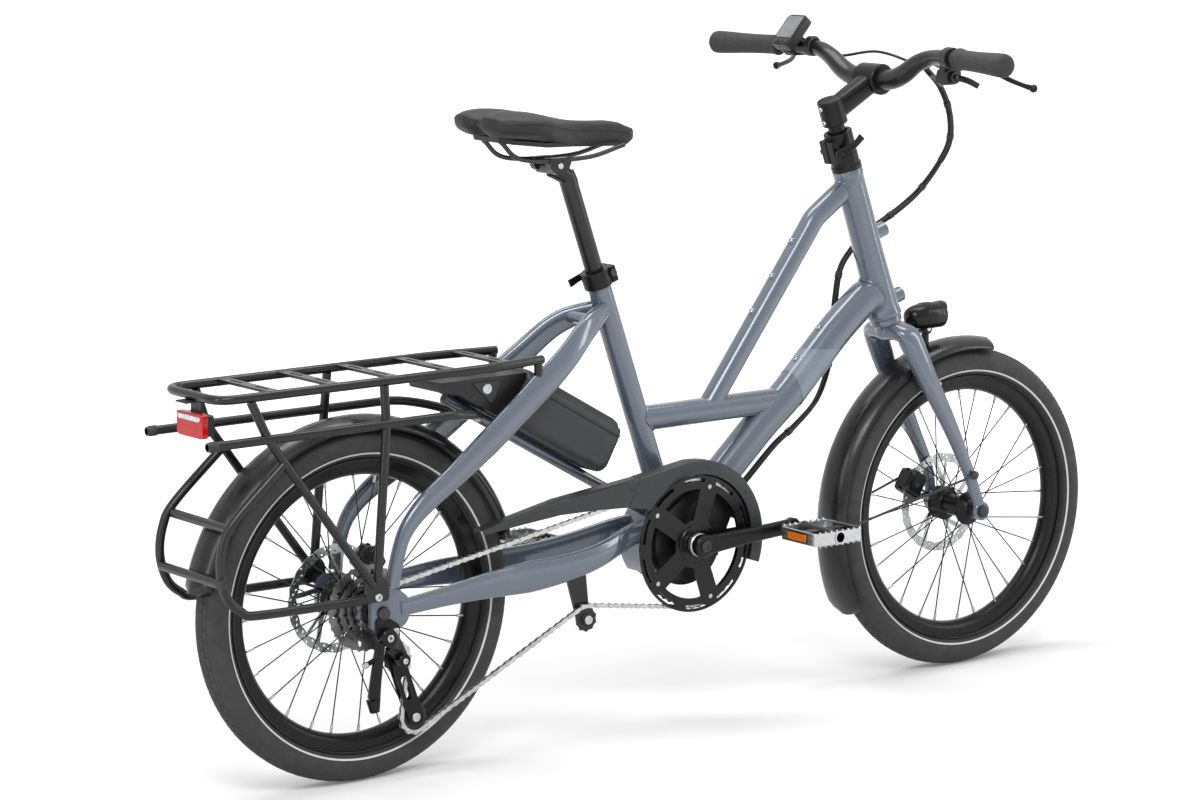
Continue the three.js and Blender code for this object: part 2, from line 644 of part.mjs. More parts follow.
function brakeDisc(offset) {
  const half = rotor.thick / 2;
  const ring = sleeve(rotor.inner, rotor.radius, offset - half, offset + half, rotor.stations);
  const bore = loose(rotor.seat, rotor.stations / 2);
  const carrier = sleeve(bore, rotor.carrierRadius, offset - half, offset + half, rotor.stations / 2);
  const section = [
    [half, rotor.armWidth / 2], [-half, rotor.armWidth / 2],
    [-half, -rotor.armWidth / 2], [half, -rotor.armWidth / 2],
  ];
  const from = (bore + rotor.carrierRadius) / 2;
  const to = (rotor.inner + rotor.radius) / 2;
  const arms = Array.from({ length: rotor.arms }, (_, i) => {
    const angle = (i / rotor.arms) * 2 * Math.PI;
    const lead = angle + rotor.lead;
    return sweep([
      at(from * Math.cos(angle), offset, from * Math.sin(angle)),
      at(to * Math.cos(lead), offset, to * Math.sin(lead)),
    ], () => section);
  });
  return join(ring, carrier, ...arms);
}

function addWheel(prefix, axle, shell, right, left, offset) {
  const put = (name, geometry, look) => add(`${prefix}_${name}`, moved(geometry, axle), look);
  put('hub', join(shell, ...spokes(right, left)), satinBlack);
  put('rim', rim(), satinBlack);
  put('tyre', tyre(), rubber);
  put('rotor', brakeDisc(offset), steel);
}

const rearEnd = wheel.rearOverLocknuts / 2;
const frontEnd = wheel.frontOverLocknuts / 2;
const rearHubRight = hub.rearRight + hub.flangeThick;
const rearShell = hubShell([
  [wheel.bore, -rearHubRight], [hub.flangeRadius, -rearHubRight], [hub.flangeRadius, -hub.rearRight],
  [hub.coreRadius, hub.flangeThick - hub.rearRight],
], hub.rearLeft, rearEnd, rotor.rearOffset);
const frontShell = hubShell([
  [wheel.bore, -frontEnd], [hub.endRadius, -frontEnd],
  [hub.coreRadius, -hub.frontRight - hub.flangeThick - hub.flangeThick],
  [hub.flangeRadius, -hub.frontRight - hub.flangeThick], [hub.flangeRadius, -hub.frontRight],
  [hub.coreRadius, hub.flangeThick - hub.frontRight],
], hub.frontLeft, frontEnd, rotor.frontOffset);
addWheel('rear', rearAxle, rearShell, hub.rearRight, hub.rearLeft, rotor.rearOffset);
addWheel('front', frontAxle, frontShell, hub.frontRight, hub.frontLeft, rotor.frontOffset);

// Chain loop, as pin places along a belt round five toothed wheels

const pitchRadius = (teeth) => chainPitch / (2 * Math.sin(Math.PI / teeth));
const fullTurn = 2 * Math.PI;
const turnShare = (angle) => ((angle % fullTurn) + fullTurn) % fullTurn;

const belt = {
  ring: { centre: crankAxle, teeth: chainring.teeth, way: 1 },
  sprocket: { centre: rearAxle, teeth: cassette.teeth[cassette.ridden], way: 1 },
  guide: {
    centre: rearAxle.clone().add(at(pulley.guideAhead, 0, pulley.guideUp)), teeth: pulley.teeth, way: -1,
  },
  tension: {
    centre: rearAxle.clone().add(at(pulley.tensionAhead, 0, pulley.tensionUp)),
    teeth: pulley.teeth,
    way: 1,
  },
  idler: {
    centre: crankAxle.clone().add(at(pulley.idlerAhead, 0, pulley.idlerUp)),
    teeth: pulley.idlerTeeth,
    way: -1,
  },
};
const beltOrder = Object.values(belt);

// Straight run from one toothed wheel to the next
function run(from, to) {
  const line = new THREE.Vector2(to.centre.x - from.centre.x, to.centre.z - from.centre.z);
  const shift = to.way * pitchRadius(to.teeth) - from.way * pitchRadius(from.teeth);
  const length = Math.sqrt(line.lengthSq() - shift * shift);
  return { angle: line.angle() - Math.atan2(shift, length), length };
}

const runs = beltOrder.map((from, i) => run(from, beltOrder[(i + 1) % beltOrder.length]));

// Arcs and runs in turn, each with its length and the place at a distance along it
const stretches = beltOrder.flatMap((wheelOf, i) => {
  const radius = pitchRadius(wheelOf.teeth);
  const incoming = runs[(i + runs.length - 1) % runs.length].angle;
  const outgoing = runs[i].angle;
  const length = turnShare(wheelOf.way * (outgoing - incoming)) * radius;
  const start = incoming - wheelOf.way * (Math.PI / 2);
  const place = (distance) => {
    const angle = start + wheelOf.way * (distance / radius);
    return [wheelOf.centre.x + radius * Math.cos(angle), wheelOf.centre.z + radius * Math.sin(angle)];
  };
  const [x, z] = place(length);
  const onward = (distance) => [x + distance * Math.cos(outgoing), z + distance * Math.sin(outgoing)];
  return [{ length, place }, { length: runs[i].length, place: onward }];
});

const lengthOf = (some) => some.reduce((sum, stretch) => sum + stretch.length, 0);
const loopLength = lengthOf(stretches);
const pins = 2 * Math.round(loopLength / chainPitch / 2);
const pinStep = loopLength / pins;

function pinPlace(index) {
  let distance = index * pinStep;
  let i = 0;
  while (distance > stretches[i].length) {
    distance -= stretches[i].length;
    i += 1;
  }
  return stretches[i].place(distance);
}

const pinPlaces = Array.from({ length: pins }, (_, i) => pinPlace(i));

// Angle of the tooth gap that holds the pin nearest to the middle of a wrap
function pinAngle(wheelOf) {
  const own = beltOrder.indexOf(wheelOf) * 2;
  const middle = lengthOf(stretches.slice(0, own)) + stretches[own].length / 2;
  const [x, z] = pinPlaces[Math.round(middle / pinStep) % pins];
  return Math.atan2(z - wheelOf.centre.z, x - wheelOf.centre.x);
}

// Ladder of two rows of link plates, joined by a rung at every second pin
function chainLadder() {
  const places = [];
  const faces = [];
  const { halfHeight, pinHalf, innerHalf, outerHalf } = link;
  const unit = ([ax, az], [bx, bz]) => {
    const length = Math.hypot(bx - ax, bz - az);
    return [(bx - ax) / length, (bz - az) / length];
  };
  const put = (i, along, up, y) => {
    const [x, z] = pinPlaces[i];
    const [tx, tz] = unit(pinPlaces[(i + pins - 1) % pins], pinPlaces[(i + 1) % pins]);
    places.push(x + tx * along - tz * up, y, z + tz * along + tx * up);
    return places.length / 3 - 1;
  };
  const slopeHalf = innerHalf + ((outerHalf - innerHalf) * pinHalf) / halfHeight;
  const rows = [-1, 1].map((side) => pinPlaces.map((_, i) => ({
    edge: [put(i, 0, -halfHeight, side * outerHalf), put(i, 0, halfHeight, side * outerHalf)],
    eye: i % 2 === 0
      ? [
        put(i, -pinHalf, 0, side * innerHalf), put(i, pinHalf, 0, side * innerHalf),
        put(i, 0, pinHalf, side * slopeHalf),
      ]
      : [put(i, 0, 0, side * innerHalf)],
  })));
  rows.forEach((row, r) => {
    const tri = (a, b, c) => faces.push(...(r === 0 ? [a, c, b] : [a, b, c]));
    row.forEach(({ edge, eye }, i) => {
      const next = row[(i + 1) % pins];
      const [low, top] = edge;
      const [back, front = back, up] = eye;
      const [start] = next.eye;
      tri(next.edge[0], low, top);
      tri(next.edge[0], top, next.edge[1]);
      tri(top, front, start);
      tri(top, start, next.edge[1]);
      tri(low, next.edge[0], start);
      tri(low, start, front);
      if (eye.length > 1) {
        tri(top, back, up);
        tri(top, up, front);
        tri(low, front, back);
      }
    });
  });
  rows[0].forEach(({ eye }, i) => {
    const left = rows[1][i].eye;
    eye.forEach((corner, k) => {
      const side = (k + 1) % eye.length;
      if (side !== k) {
        faces.push(corner, left[k], left[side], corner, left[side], eye[side]);
      }
    });
  });
  return meshOf(places, faces);
}

add('chain', moved(chainLadder(), at(0, -chainLine, 0)), steel);

// Toothed outline about the origin with a pin gap at the given angle
function toothedOutline(teeth, gapAngle) {
  const tip = pitchRadius(teeth) - tooth.tipBelowPitch;
  const foot = tip - tooth.depth;
  const step = fullTurn / teeth;
  const pattern = [[foot, -1], [tip, 0]];
  return new THREE.Shape(Array.from({ length: teeth }, (_, i) => {
    const centre = gapAngle + (i + 1 / 2) * step;
    return pattern.map(([radius, share]) => {
      const angle = centre + (share * step) / 2;
      return new THREE.Vector2(radius * Math.cos(angle), radius * Math.sin(angle));
    });
  }).flat());
}

const toothedPlate = (teeth, gapAngle, y) => plate(
  toothedOutline(teeth, gapAngle), y - tooth.thick / 2, y + tooth.thick / 2,
);

function cassetteStack() {
  const from = -rearHubRight - gap;
  const place = (i) => -chainLine + (i - cassette.ridden) * cassette.spacing;
  const end = place(0) - tooth.thick / 2;
  const body = disc(cassette.bodyRadius, from, end, cassette.stations);
  const lock = disc(cassette.lockRadius, end - cassette.lockLength, from, cassette.stations);
  const sprockets = cassette.teeth.map((teeth, i) => toothedPlate(
    teeth, pinAngle(belt.sprocket), place(i),
  ));
  const bore = disc(wheel.bore, -rearEnd, 0, cassette.stations);
  return cut(join(body, lock, ...sprockets), bore);
}

add('cassette', moved(cassetteStack(), rearAxle), steel);

function pulleyWheel(wheelOf) {
  const half = pulley.hubHalf;
  const centre = disc(pulley.hubRadius, -half, half, pulley.stations);
  const bore = disc(pulley.bore, -half - half, half + half, pulley.stations);
  const teeth = toothedPlate(wheelOf.teeth, pinAngle(wheelOf), 0);
  return moved(cut(join(centre, teeth), bore), wheelOf.centre.clone().add(at(0, -chainLine, 0)));
}

add('guide_pulley', pulleyWheel(belt.guide), moulded);
add('tension_pulley', pulleyWheel(belt.tension), moulded);
add('idler_roller', pulleyWheel(belt.idler), moulded);

// Chainring with its guard plate, arms and boss

function chainringPlate() {
  const guardTo = chainring.guardFrom + chainring.guardThick;
  const back = chainLine - tooth.thick / 2;
  const body = turned([
    [0, -guardTo], [chainring.guardRadius, -guardTo], [chainring.guardRadius, -chainring.guardFrom],
    [chainring.webRadius, -chainring.guardFrom], [chainring.webRadius, -back], [0, -back],
  ], chainring.stations);
  const well = disc(chainring.inner, -guardTo - gap, gap - back, chainring.stations);
  const slots = Array.from({ length: chainring.slots }, (_, i) => {
    const middle = ((i + 1 / 2) / chainring.slots) * fullTurn;
    const reach = (chainring.slotArcShare * fullTurn) / chainring.slots;
    const inset = chainring.guardRadius - chainring.slotInset;
    const corner = (radius, angle) => new THREE.Vector2(
      radius * Math.cos(middle + angle), radius * Math.sin(middle + angle),
    );
    return plate(new THREE.Shape([
      corner(inset - chainring.slotHalf, -reach / 2), corner(inset + chainring.slotHalf, -reach / 2),
      corner(inset + chainring.slotHalf, reach / 2), corner(inset - chainring.slotHalf, reach / 2),
    ]), -chainring.guardFrom + gap, -guardTo - gap);
  });
  const boss = disc(
    chainring.bossRadius, -chainring.bossTo, -chainring.bossFrom, chainring.stations / 2,
  );
  const bore = disc(crank.spindleBore, -guardTo - back, 0, chainring.stations / 2);
  const arms = Array.from({ length: chainring.arms }, (_, i) => {
    const angle = (i / chainring.arms) * fullTurn;
    const reach = chainring.webRadius - chainring.bossRadius / 2;
    const arm = block(reach, chainring.guardThick, chainring.armWidth, at(
      (chainring.webRadius + chainring.bossRadius / 2) / 2 - gap, -(chainring.guardFrom + guardTo) / 2, 0,
    ));
    return arm.rotateY(-angle);
  });
  const teeth = toothedPlate(chainring.teeth, pinAngle(belt.ring), -chainLine);
  const rim = cut(join(body, teeth), well, ...slots);
  return moved(cut(join(rim, boss, ...arms), bore), crankAxle);
}

add('chainring', chainringPlate(), darkSteel);

// Cranks and pedals

const crankTip = (side) => crankAxle.clone().add(
  at(-side * crankLength * Math.cos(crankTilt), 0, -side * crankLength * Math.sin(crankTilt)),
);

// Side is 1 on the left and -1 on the right
function crankArm(side) {
  const tip = crankTip(side);
  const arm = plate(
    roundTwo(crankAxle, crank.eyeRadius, tip, crank.endRadius), side * crank.inner, side * crank.outer, 4,
  );
  const axleHole = moved(
    disc(crank.pedalBore, side * (crank.inner - gap), side * (crank.outer + gap), pedal.stations),
    tip,
  );
  const bolt = moved(
    disc(crank.boltRadius, side * crank.inner, side * (crank.outer + crank.boltHeight), pedal.stations),
    crankAxle,
  );
  const collarDisc = moved(
    disc(
      crank.collarRadius - crank.edge, side * crank.collarFrom, side * (crank.inner + crank.edge),
      crank.stations,
    ),
    crankAxle,
  );
  return cut(join(arm, bolt, collarDisc), axleHole);
}

add('right_crank', cut(crankArm(-1), moved(
  disc(crank.spindleBore, -crank.spindleEnd, 0, crank.stations), crankAxle,
)), satinBlack);
add('left_crank', join(crankArm(1), moved(
  disc(crank.spindleRadius, crank.collarFrom, gap - crank.spindleEnd, crank.stations), crankAxle,
)), satinBlack);

function pedalOn(side) {
  const tip = crankTip(side);
  const middle = side * (pedal.inner + pedal.outer) / 2;
  const width = pedal.outer - pedal.inner;
  const half = pedal.height / 2;
  const cage = rectangle(2 * pedal.half, width, pedal.corner, 0, middle);
  const inside = rectangle(
    2 * (pedal.half - pedal.wall), width - 2 * pedal.wall, pedal.corner - pedal.wall, 0, middle,
  );
  cage.holes.push(new THREE.Path(inside.getPoints(2).reverse()));
  const barrel = disc(pedal.barrel, side * pedal.inner, side * pedal.outer, pedal.stations);
  const axle = disc(pedal.axle, side * pedal.axleFrom, middle, pedal.stations);
  const web = block(
    2 * (pedal.half - pedal.wall / 2), pedal.webWidth, pedal.webHeight, at(0, middle, 0),
  );
  const reflectors = [-1, 1].map((end) => block(
    pedal.reflectorThick * 2, pedal.reflectorWidth, pedal.reflectorHeight, at(end * pedal.half, middle, 0),
  ));
  return moved(join(slab(cage, -half, half, 2), barrel, axle, web, ...reflectors), tip);
}

add('right_pedal', pedalOn(-1), polished);
add('left_pedal', pedalOn(1), polished);

// Front frame: head tube with its bosses, down tube and top tube

const vector = ([x, y, z]) => at(x, y, z);
const aheadOfCrank = (ahead, up) => at(crankReach + ahead, 0, crankHeight + up);

const downPath = between(
  onSteerer(tube.downStart), aheadOfCrank(tube.downEndAhead, tube.downEndUp), downTubeShares,
);
const topPath = between(
  onSteerer(tube.topStart, -tube.topStartBack), aheadOfCrank(tube.topEndAhead, tube.topEndUp), topTubeShares,
);

// Place where a falling path passes a height
function atHeight(path, up) {
  const next = path.findIndex((p) => p.z <= up);
  const [from, to] = [path[next - 1], path[next]];
  return from.clone().lerp(to, (up - from.z) / (to.z - from.z));
}

const seatTubeShell = (radius, top) => alongSeatLine([
  [0, crankHeight], [radius, crankHeight], [radius, top], [0, top],
], tube.seatStations);

// Hull round the motor, grown outward by a distance
function motorOutline(grow) {
  const main = crankAxle.clone().add(at(motor.mainAhead, 0, 0));
  const nose = crankAxle.clone().add(at(motor.noseAhead, 0, motor.noseUp));
  return roundTwo(main, motor.mainRadius + grow, nose, motor.noseRadius + grow);
}

const motorSpace = (grow) => plate(motorOutline(grow), -tyreRadius, tyreRadius, motor.segments);

// Small bosses standing on a tube, counted from a corner of its path
function tubeBosses(corner, next, first, count, halfHeight) {
  const along = next.clone().sub(corner).normalize();
  const up = at(along.z, 0, -along.x);
  return Array.from({ length: count }, (_, i) => {
    const place = corner.clone().addScaledVector(along, first + i * accessoryBoss.pitch);
    const foot = place.clone().addScaledVector(up, halfHeight - accessoryBoss.sunk);
    return aimed(
      disc(accessoryBoss.radius, 0, accessoryBoss.sunk + accessoryBoss.height, accessoryBoss.sides),
      foot, foot.clone().add(up),
    );
  });
}

function frontFrame() {
  const shell = alongSteerer([
    [0, headTube.bottom], [headTube.bottomRadius, headTube.bottom],
    [headTube.bottomRadius, headTube.bottom + headTube.bottomRadius / 2],
    [headTube.topRadius, headTube.waistUp], [headTube.topRadius, headTube.top], [0, headTube.top],
  ], headTube.stations);
  const down = sweep(downPath, () => oval(
    tube.downWidth / 2, tube.downHeight / 2, tube.sides, tube.squareness,
  ));
  const bosses = headBoss.heights.map((height) => aimed(
    disc(headBoss.radius, headTube.bore, headBoss.face, headBoss.stations),
    onSteerer(height), onSteerer(height, 1),
  ));
  const holes = headBoss.heights.map((height) => aimed(
    disc(headBoss.bolt, headBoss.face - headBoss.boltDepth, headBoss.face + gap, accessoryBoss.sides),
    onSteerer(height), onSteerer(height, 1),
  ));
  const studs = tubeBosses(downPath[3], downPath[4], accessoryBoss.downFirst, 2, tube.downHeight / 2);
  const bore = alongSteerer([
    [0, 0], [headTube.bore, 0], [headTube.bore, wheelbase], [0, wheelbase],
  ], headTube.stations);
  return cut(join(shell, down, ...bosses, ...studs), bore, motorSpace(motor.cradle + gap), ...holes);
}

add('head_and_down_tube', frontFrame(), paint);

function topFrame() {
  const main = sweep(topPath, () => oval(tube.topWidth / 2, tube.topHeight / 2, tube.sides, tube.squareness));
  const rear = onSeatLine(tube.crossUp).x + tube.crossInset;
  const cross = sweep(
    [at(rear, 0, tube.crossUp), atHeight(downPath, tube.crossUp)],
    () => oval(tube.crossWidth / 2, tube.crossHeight / 2, tube.sides, tube.squareness),
  );
  const studs = tubeBosses(topPath[4], topPath[5], accessoryBoss.topFirst, 3, tube.topHeight / 2);
  const head = alongSteerer([
    [0, 0], [headTube.topRadius + gap, 0], [headTube.topRadius + gap, wheelbase], [0, wheelbase],
  ], headTube.stations);
  const down = sweep(downPath, () => oval(
    tube.downWidth / 2 + gap, tube.downHeight / 2 + gap, tube.sides, tube.squareness,
  ));
  const seat = seatTubeShell(tube.seatRadius + gap, wheelbase);
  return cut(join(main, cross, ...studs), head, down, seat);
}

add('top_tube', topFrame(), paint);
add('seat_tube', cut(
  seatTubeShell(tube.seatRadius, tube.seatTop),
  alongSeatLine([[0, 0], [tube.seatBore, 0], [tube.seatBore, wheelbase], [0, wheelbase]], tube.seatStations),
  motorSpace(motor.cradle + gap),
), paint);

// Rear frame: stays, motor cradle, dropouts and the battery rail

function staySweep(side, grow) {
  const from = vector(stay.top);
  const to = vector(stay.foot);
  const path = between(from, to, stayPathShares).map((p) => at(p.x, side * p.y, p.z));
  const rows = path.map((p, i) => ({ p, height: stayHeightShares[i] }));
  return sweep(rows.map(({ p }) => p), (share) => oval(
    THREE.MathUtils.lerp(stay.topWidth, stay.footWidth, share) / 2 + grow,
    (stay.height * graded(stayHeightShares, share)) / 2 + grow, stay.sides, tube.squareness,
  ));
}

function seatStays() {
  const bridge = rod([
    at(stay.bridgeAhead, -stay.bridgeHalf, stay.bridgeUp),
    at(stay.bridgeAhead, stay.bridgeHalf, stay.bridgeUp),
  ], stay.bridgeRadius, stay.sides, upward);
  return cut(
    join(staySweep(1, 0), staySweep(-1, 0), bridge), seatTubeShell(tube.seatRadius + gap, wheelbase),
  );
}

add('seat_stays', seatStays(), paint);

function chainStays() {
  const side = (way) => {
    const yoke = crankAxle.clone().add(vector(chainstay.yoke));
    const path = between(yoke, vector(chainstay.foot), chainstayPathShares)
      .map((p) => at(p.x, way * p.y, p.z));
    const half = (dropout.outer - dropout.inner) / 2;
    return sweep(path, (share) => oval(
      THREE.MathUtils.lerp(chainstay.width / 2, half - gap, share),
      (chainstay.height * graded(chainstayHeightShares, share)) / 2, chainstay.sides, tube.squareness,
    ));
  };
  const dropoutPlate = (way) => {
    const [low, high] = [tyreRadius - dropout.down, tyreRadius + dropout.up];
    const outline = rounded([
      [-dropout.rear, low], [dropout.ahead, low], [dropout.ahead, high], [-dropout.rear, high],
    ], dropout.corner);
    outline.holes.push(circlePath(dropout.bore, true, 0, tyreRadius));
    return plate(outline, way * dropout.inner, way * dropout.outer);
  };
  const cradle = cut(
    plate(motorOutline(motor.cradle), -motor.cradleHalf, motor.cradleHalf, motor.segments),
    motorSpace(gap),
    cradleFloor(),
  );
  const arm = idlerBracket();
  const solid = join(side(1), side(-1), dropoutPlate(1), dropoutPlate(-1), cradle, arm);
  const far = rearEnd + dropout.outer;
  const axles = moved(disc(dropout.bore, -far, far, wheel.axleStations), rearAxle);
  return cut(solid, motorSpace(gap), axles);
}

// Space under the slanting lower edge of the cradle
function cradleFloor() {
  const reach = motor.cradleReach;
  const rear = [crankReach - reach, crankHeight + motor.cradleRearUp];
  const front = [crankReach + reach + motor.noseAhead, crankHeight + motor.cradleFrontUp];
  const shape = new THREE.Shape([
    new THREE.Vector2(...rear), new THREE.Vector2(rear[0], 0), new THREE.Vector2(front[0], 0),
    new THREE.Vector2(...front),
  ]);
  return plate(shape, -tyreRadius, tyreRadius);
}

function idlerBracket() {
  const centre = belt.idler.centre;
  const top = at(idlerArm.topAhead, 0, idlerArm.topUp);
  const outline = roundTwo(top, idlerArm.topRadius, centre, idlerArm.eyeRadius);
  const arm = plate(outline, -idlerArm.plateInner, -idlerArm.plateOuter);
  const round = (radius, from) => moved(disc(radius, -from, -idlerArm.boltEnd, pulley.stations), centre);
  const bolt = round(idlerArm.boltRadius, idlerArm.plateInner);
  const head = round(idlerArm.headRadius, idlerArm.headFrom);
  return join(arm, bolt, head);
}

add('chain_stays', chainStays(), paint);

// Place along the battery rail, above it and beside it
function onRail(along, up = 0, out = 0) {
  const [c, s] = [Math.cos(rail.slope), Math.sin(rail.slope)];
  return vector(rail.rear).add(at(along * c - up * s, out, along * s + up * c));
}

add('battery_rail', cut(
  rod([onRail(0), onRail(rail.length)], rail.radius, tube.sides), motorSpace(motor.cradle + gap),
), paint);

// Motor, with the spindle bore through it

function motorBody() {
  const core = plate(motorOutline(0), -motor.coreHalf, motor.coreHalf, motor.segments);
  const cover = plate(motorOutline(-motor.coverInset), -motor.halfWidth, motor.halfWidth, motor.segments);
  const cap = moved(disc(
    motor.capRadius, -motor.halfWidth - motor.capStep, motor.halfWidth + motor.capStep, crank.stations,
  ), crankAxle);
  const spindleHole = loose(crank.spindleRadius, crank.stations);
  const bore = moved(disc(spindleHole, -tyreRadius, tyreRadius, crank.stations), crankAxle);
  return cut(join(core, cover, cap), bore);
}

add('motor', motorBody(), moulded);

// Cover over the upper run of the chain, open below

function chainCover() {
  const { outer, inner, wall, frontAngle, topAngle, bottomAngle } = chainCase;
  const arc = (radius, from, to) => Array.from({ length: chainCase.segments + 1 }, (_, i) => polar(
    crankAxle, radius, THREE.MathUtils.lerp(from, to, i / chainCase.segments),
  ));
  const outline = (top, bottom) => new THREE.Shape([
    ...arc(outer - top, frontAngle, topAngle),
    [chainCase.crestAhead, chainCase.crestTop - top], [chainCase.kneeAhead, chainCase.kneeTop - top],
    [chainCase.tailRear + top, chainCase.tailTop - top],
    [chainCase.tailRear + top, chainCase.tailBottom - bottom],
    [chainCase.kneeAhead, chainCase.kneeBottom - bottom],
    [chainCase.seamAhead, chainCase.seamBottom - bottom],
    ...arc(inner - bottom, bottomAngle, frontAngle),
  ].map(([x, z]) => new THREE.Vector2(x, z)));
  const body = plate(outline(0, 0), -chainCase.innerSide, -chainCase.outerSide);
  const hollow = plate(
    outline(wall, wall + wall), -chainCase.innerSide - wall, wall - chainCase.outerSide,
  );
  return cut(body, hollow);
}

add('chain_case', chainCover(), warmGrey);

// Battery and the holder behind it, both on the rail

function batteryPack() {
  const base = rail.radius + gap;
  const section = (grow) => {
    const half = battery.halfWidth - grow;
    const [low, high] = [base + grow, base + battery.height - grow];
    const [foot, top] = [battery.footChamfer, battery.topChamfer];
    return [
      [-half + foot, low], [half - foot, low], [half, low + foot], [half, high - top],
      [half - top, high], [top - half, high], [-half, high - top], [-half, low + foot],
    ];
  };
  const ring = (along, grow) => section(grow).map(([out, up]) => onRail(along, up, out));
  const rows = [
    [battery.from, battery.tailChamfer], [battery.from + battery.tailChamfer, 0],
    [battery.to - battery.noseChamfer, 0], [battery.to, battery.noseChamfer],
  ];
  const body = skin(rows.map(([along, grow]) => ring(along, grow)));
  const seam = [-1, 1].map((side) => skin([battery.from - gap, battery.to + gap].map((along) => [
    [battery.halfWidth - battery.seam, battery.seamUp], [battery.halfWidth + gap, battery.seamUp],
    [battery.halfWidth + gap, battery.seamUp + battery.seam],
    [battery.halfWidth - battery.seam, battery.seamUp + battery.seam],
  ].map(([out, up]) => onRail(along, up, side * out)))));
  return cut(body, ...seam);
}

add('battery', batteryPack(), warmGrey);

function batteryDock() {
  const low = rail.radius + gap + gap;
  const top = (along) => onRail(along, low);
  const face = onRail(battery.from - gap, low);
  const rise = (dock.top - face.z) / Math.cos(rail.slope);
  const upper = onRail(battery.from - gap, low + rise);
  const outline = rounded([
    [dock.rear, dock.top], [dock.rear, dock.rearUp], [top(0).x, top(0).z], [face.x, face.z],
    [upper.x, upper.z],
  ], dock.corner);
  const body = plate(outline, -dock.halfWidth, dock.halfWidth);
  const [x, z, reach] = [dock.boltAhead, dock.boltUp, dock.plateReach];
  const bracket = plate(rounded([
    [x - reach / 2, z + reach / 2], [x + reach, z + reach / 2], [x + reach / 2, z - reach / 2],
  ], dock.corner), -dock.halfWidth, -dock.halfWidth - dock.plateThick);
  const bolt = disc(
    dock.boltRadius, -dock.halfWidth, -dock.halfWidth - dock.plateThick - dock.boltHeight, pulley.stations,
  ).translate(x + reach / 4, 0, z + reach / 5);
  return join(body, bracket, bolt);
}

add('battery_holder', batteryDock(), moulded);

// Rear rack: deck loop with slats, and a welded frame on each side

const deckLine = (side) => [
  at(rack.deckFront, side * rack.deckFrontHalf, rack.deckUp),
  at(rack.deckTaper, side * rack.deckHalf, rack.deckUp),
  at(-rack.deckRear, side * rack.deckHalf, rack.deckUp),
];
const deckPath = bent([...deckLine(1), ...deckLine(-1).reverse()], rack.deckCorner);
const deckLoop = (grow) => rod(deckPath, rack.tubeRadius + grow, rack.sides, upward);

function rackDeck() {
  const slats = Array.from({ length: rack.slats }, (_, i) => block(
    rack.slatWidth, 2 * (rack.deckHalf - rack.tubeRadius / 2), rack.slatThick,
    at(rack.slatFirst - i * rack.slatPitch, 0, rack.deckUp + rack.tubeRadius - rack.slatThick),
  ));
  const lugs = [-1, 1].map((side) => rod([
    at(rack.deckFront - rack.lugRadius, side * rack.deckFrontHalf, rack.lugBottom),
    at(rack.deckFront - rack.lugRadius, side * rack.deckFrontHalf, rack.deckUp),
  ], rack.lugRadius, rack.sides));
  const solid = join(deckLoop(0), ...slats, ...lugs);
  return cut(solid, staySweep(1, gap), staySweep(-1, gap));
}

add('rack_deck', rackDeck(), satinBlack);

function rackSide(side) {
  const onSide = (p) => at(p.x, side * p.y, p.z);
  const hung = ([x, y, drop]) => onSide(at(x, y, rack.deckUp - drop));
  const upright = (top, knee, foot) => rod(
    [hung(top), hung(knee), onSide(vector(foot))], rack.tubeRadius, rack.sides,
  );
  const postPipe = upright(rack.postTop, rack.postKnee, rack.postFoot);
  const legPipe = upright(rack.legTop, rack.legKnee, rack.legFoot);
  const endOut = rail.radius + gap + rack.tubeRadius / Math.cos(Math.PI / rack.sides);
  const lower = rod(bent([
    [-rack.railRear, rack.railHalf, rack.railDrop], [rack.railFront, rack.railHalf, rack.railDrop],
    rack.railKnee, [rack.railEndAhead, endOut, rack.railEndDrop],
  ].map(hung), rack.deckCorner), rack.tubeRadius, rack.sides);
  const guard = rod(
    hoop.map(([x, z]) => at(x, side * rack.railHalf, z)), rack.tubeRadius, rack.sides,
  );
  const { plateCentre: [x, y, z], plateWidth: w, plateHeight: h, plateThick: thick } = rack;
  const outer = side * (y + thick / 2);
  const foot = plate(rectangle(w, h, rack.plateCorner, x, z), side * (y - thick / 2), outer);
  const bossFrom = side * (dropout.outer + gap);
  const boss = moved(disc(rack.bossRadius, bossFrom, side * y, rack.sides), at(x, 0, z - h / 4));
  const bolt = moved(disc(
    rack.boltRadius, side * y, outer + side * rack.boltHeight, rack.sides,
  ), at(x, 0, z - h / 4));
  return [postPipe, legPipe, lower, guard, foot, boss, bolt];
}

const crossbarBack = Math.sqrt(
  (fender.radius + gap + rack.tubeRadius * Math.cos(Math.PI / rack.sides)) ** 2
    - (rack.crossLowUp - tyreRadius) ** 2,
);

function rackRight() {
  const bar = (back, up, reach) => rod([
    at(-back, -rack.railHalf - reach, up), at(-back, rack.railHalf + reach, up),
  ], rack.tubeRadius, rack.sides, upward);
  const upper = bar(rack.crossBack, rack.crossUp, 0);
  const lower = bar(crossbarBack, rack.crossLowUp, rack.stub);
  return cut(
    join(...rackSide(-1), cut(join(upper, lower), grownHoop())), deckLoop(gap),
  );
}

// Space round the left hoop, which the crossbars stop short of
function grownHoop() {
  return rod(
    hoop.map(([x, z]) => at(x, rack.railHalf, z)), rack.tubeRadius + gap, rack.sides,
  );
}

add('rack_left_side', cut(join(...rackSide(1)), deckLoop(gap)), satinBlack);
add('rack_right_side', rackRight(), satinBlack);

// Tail light under the deck loop

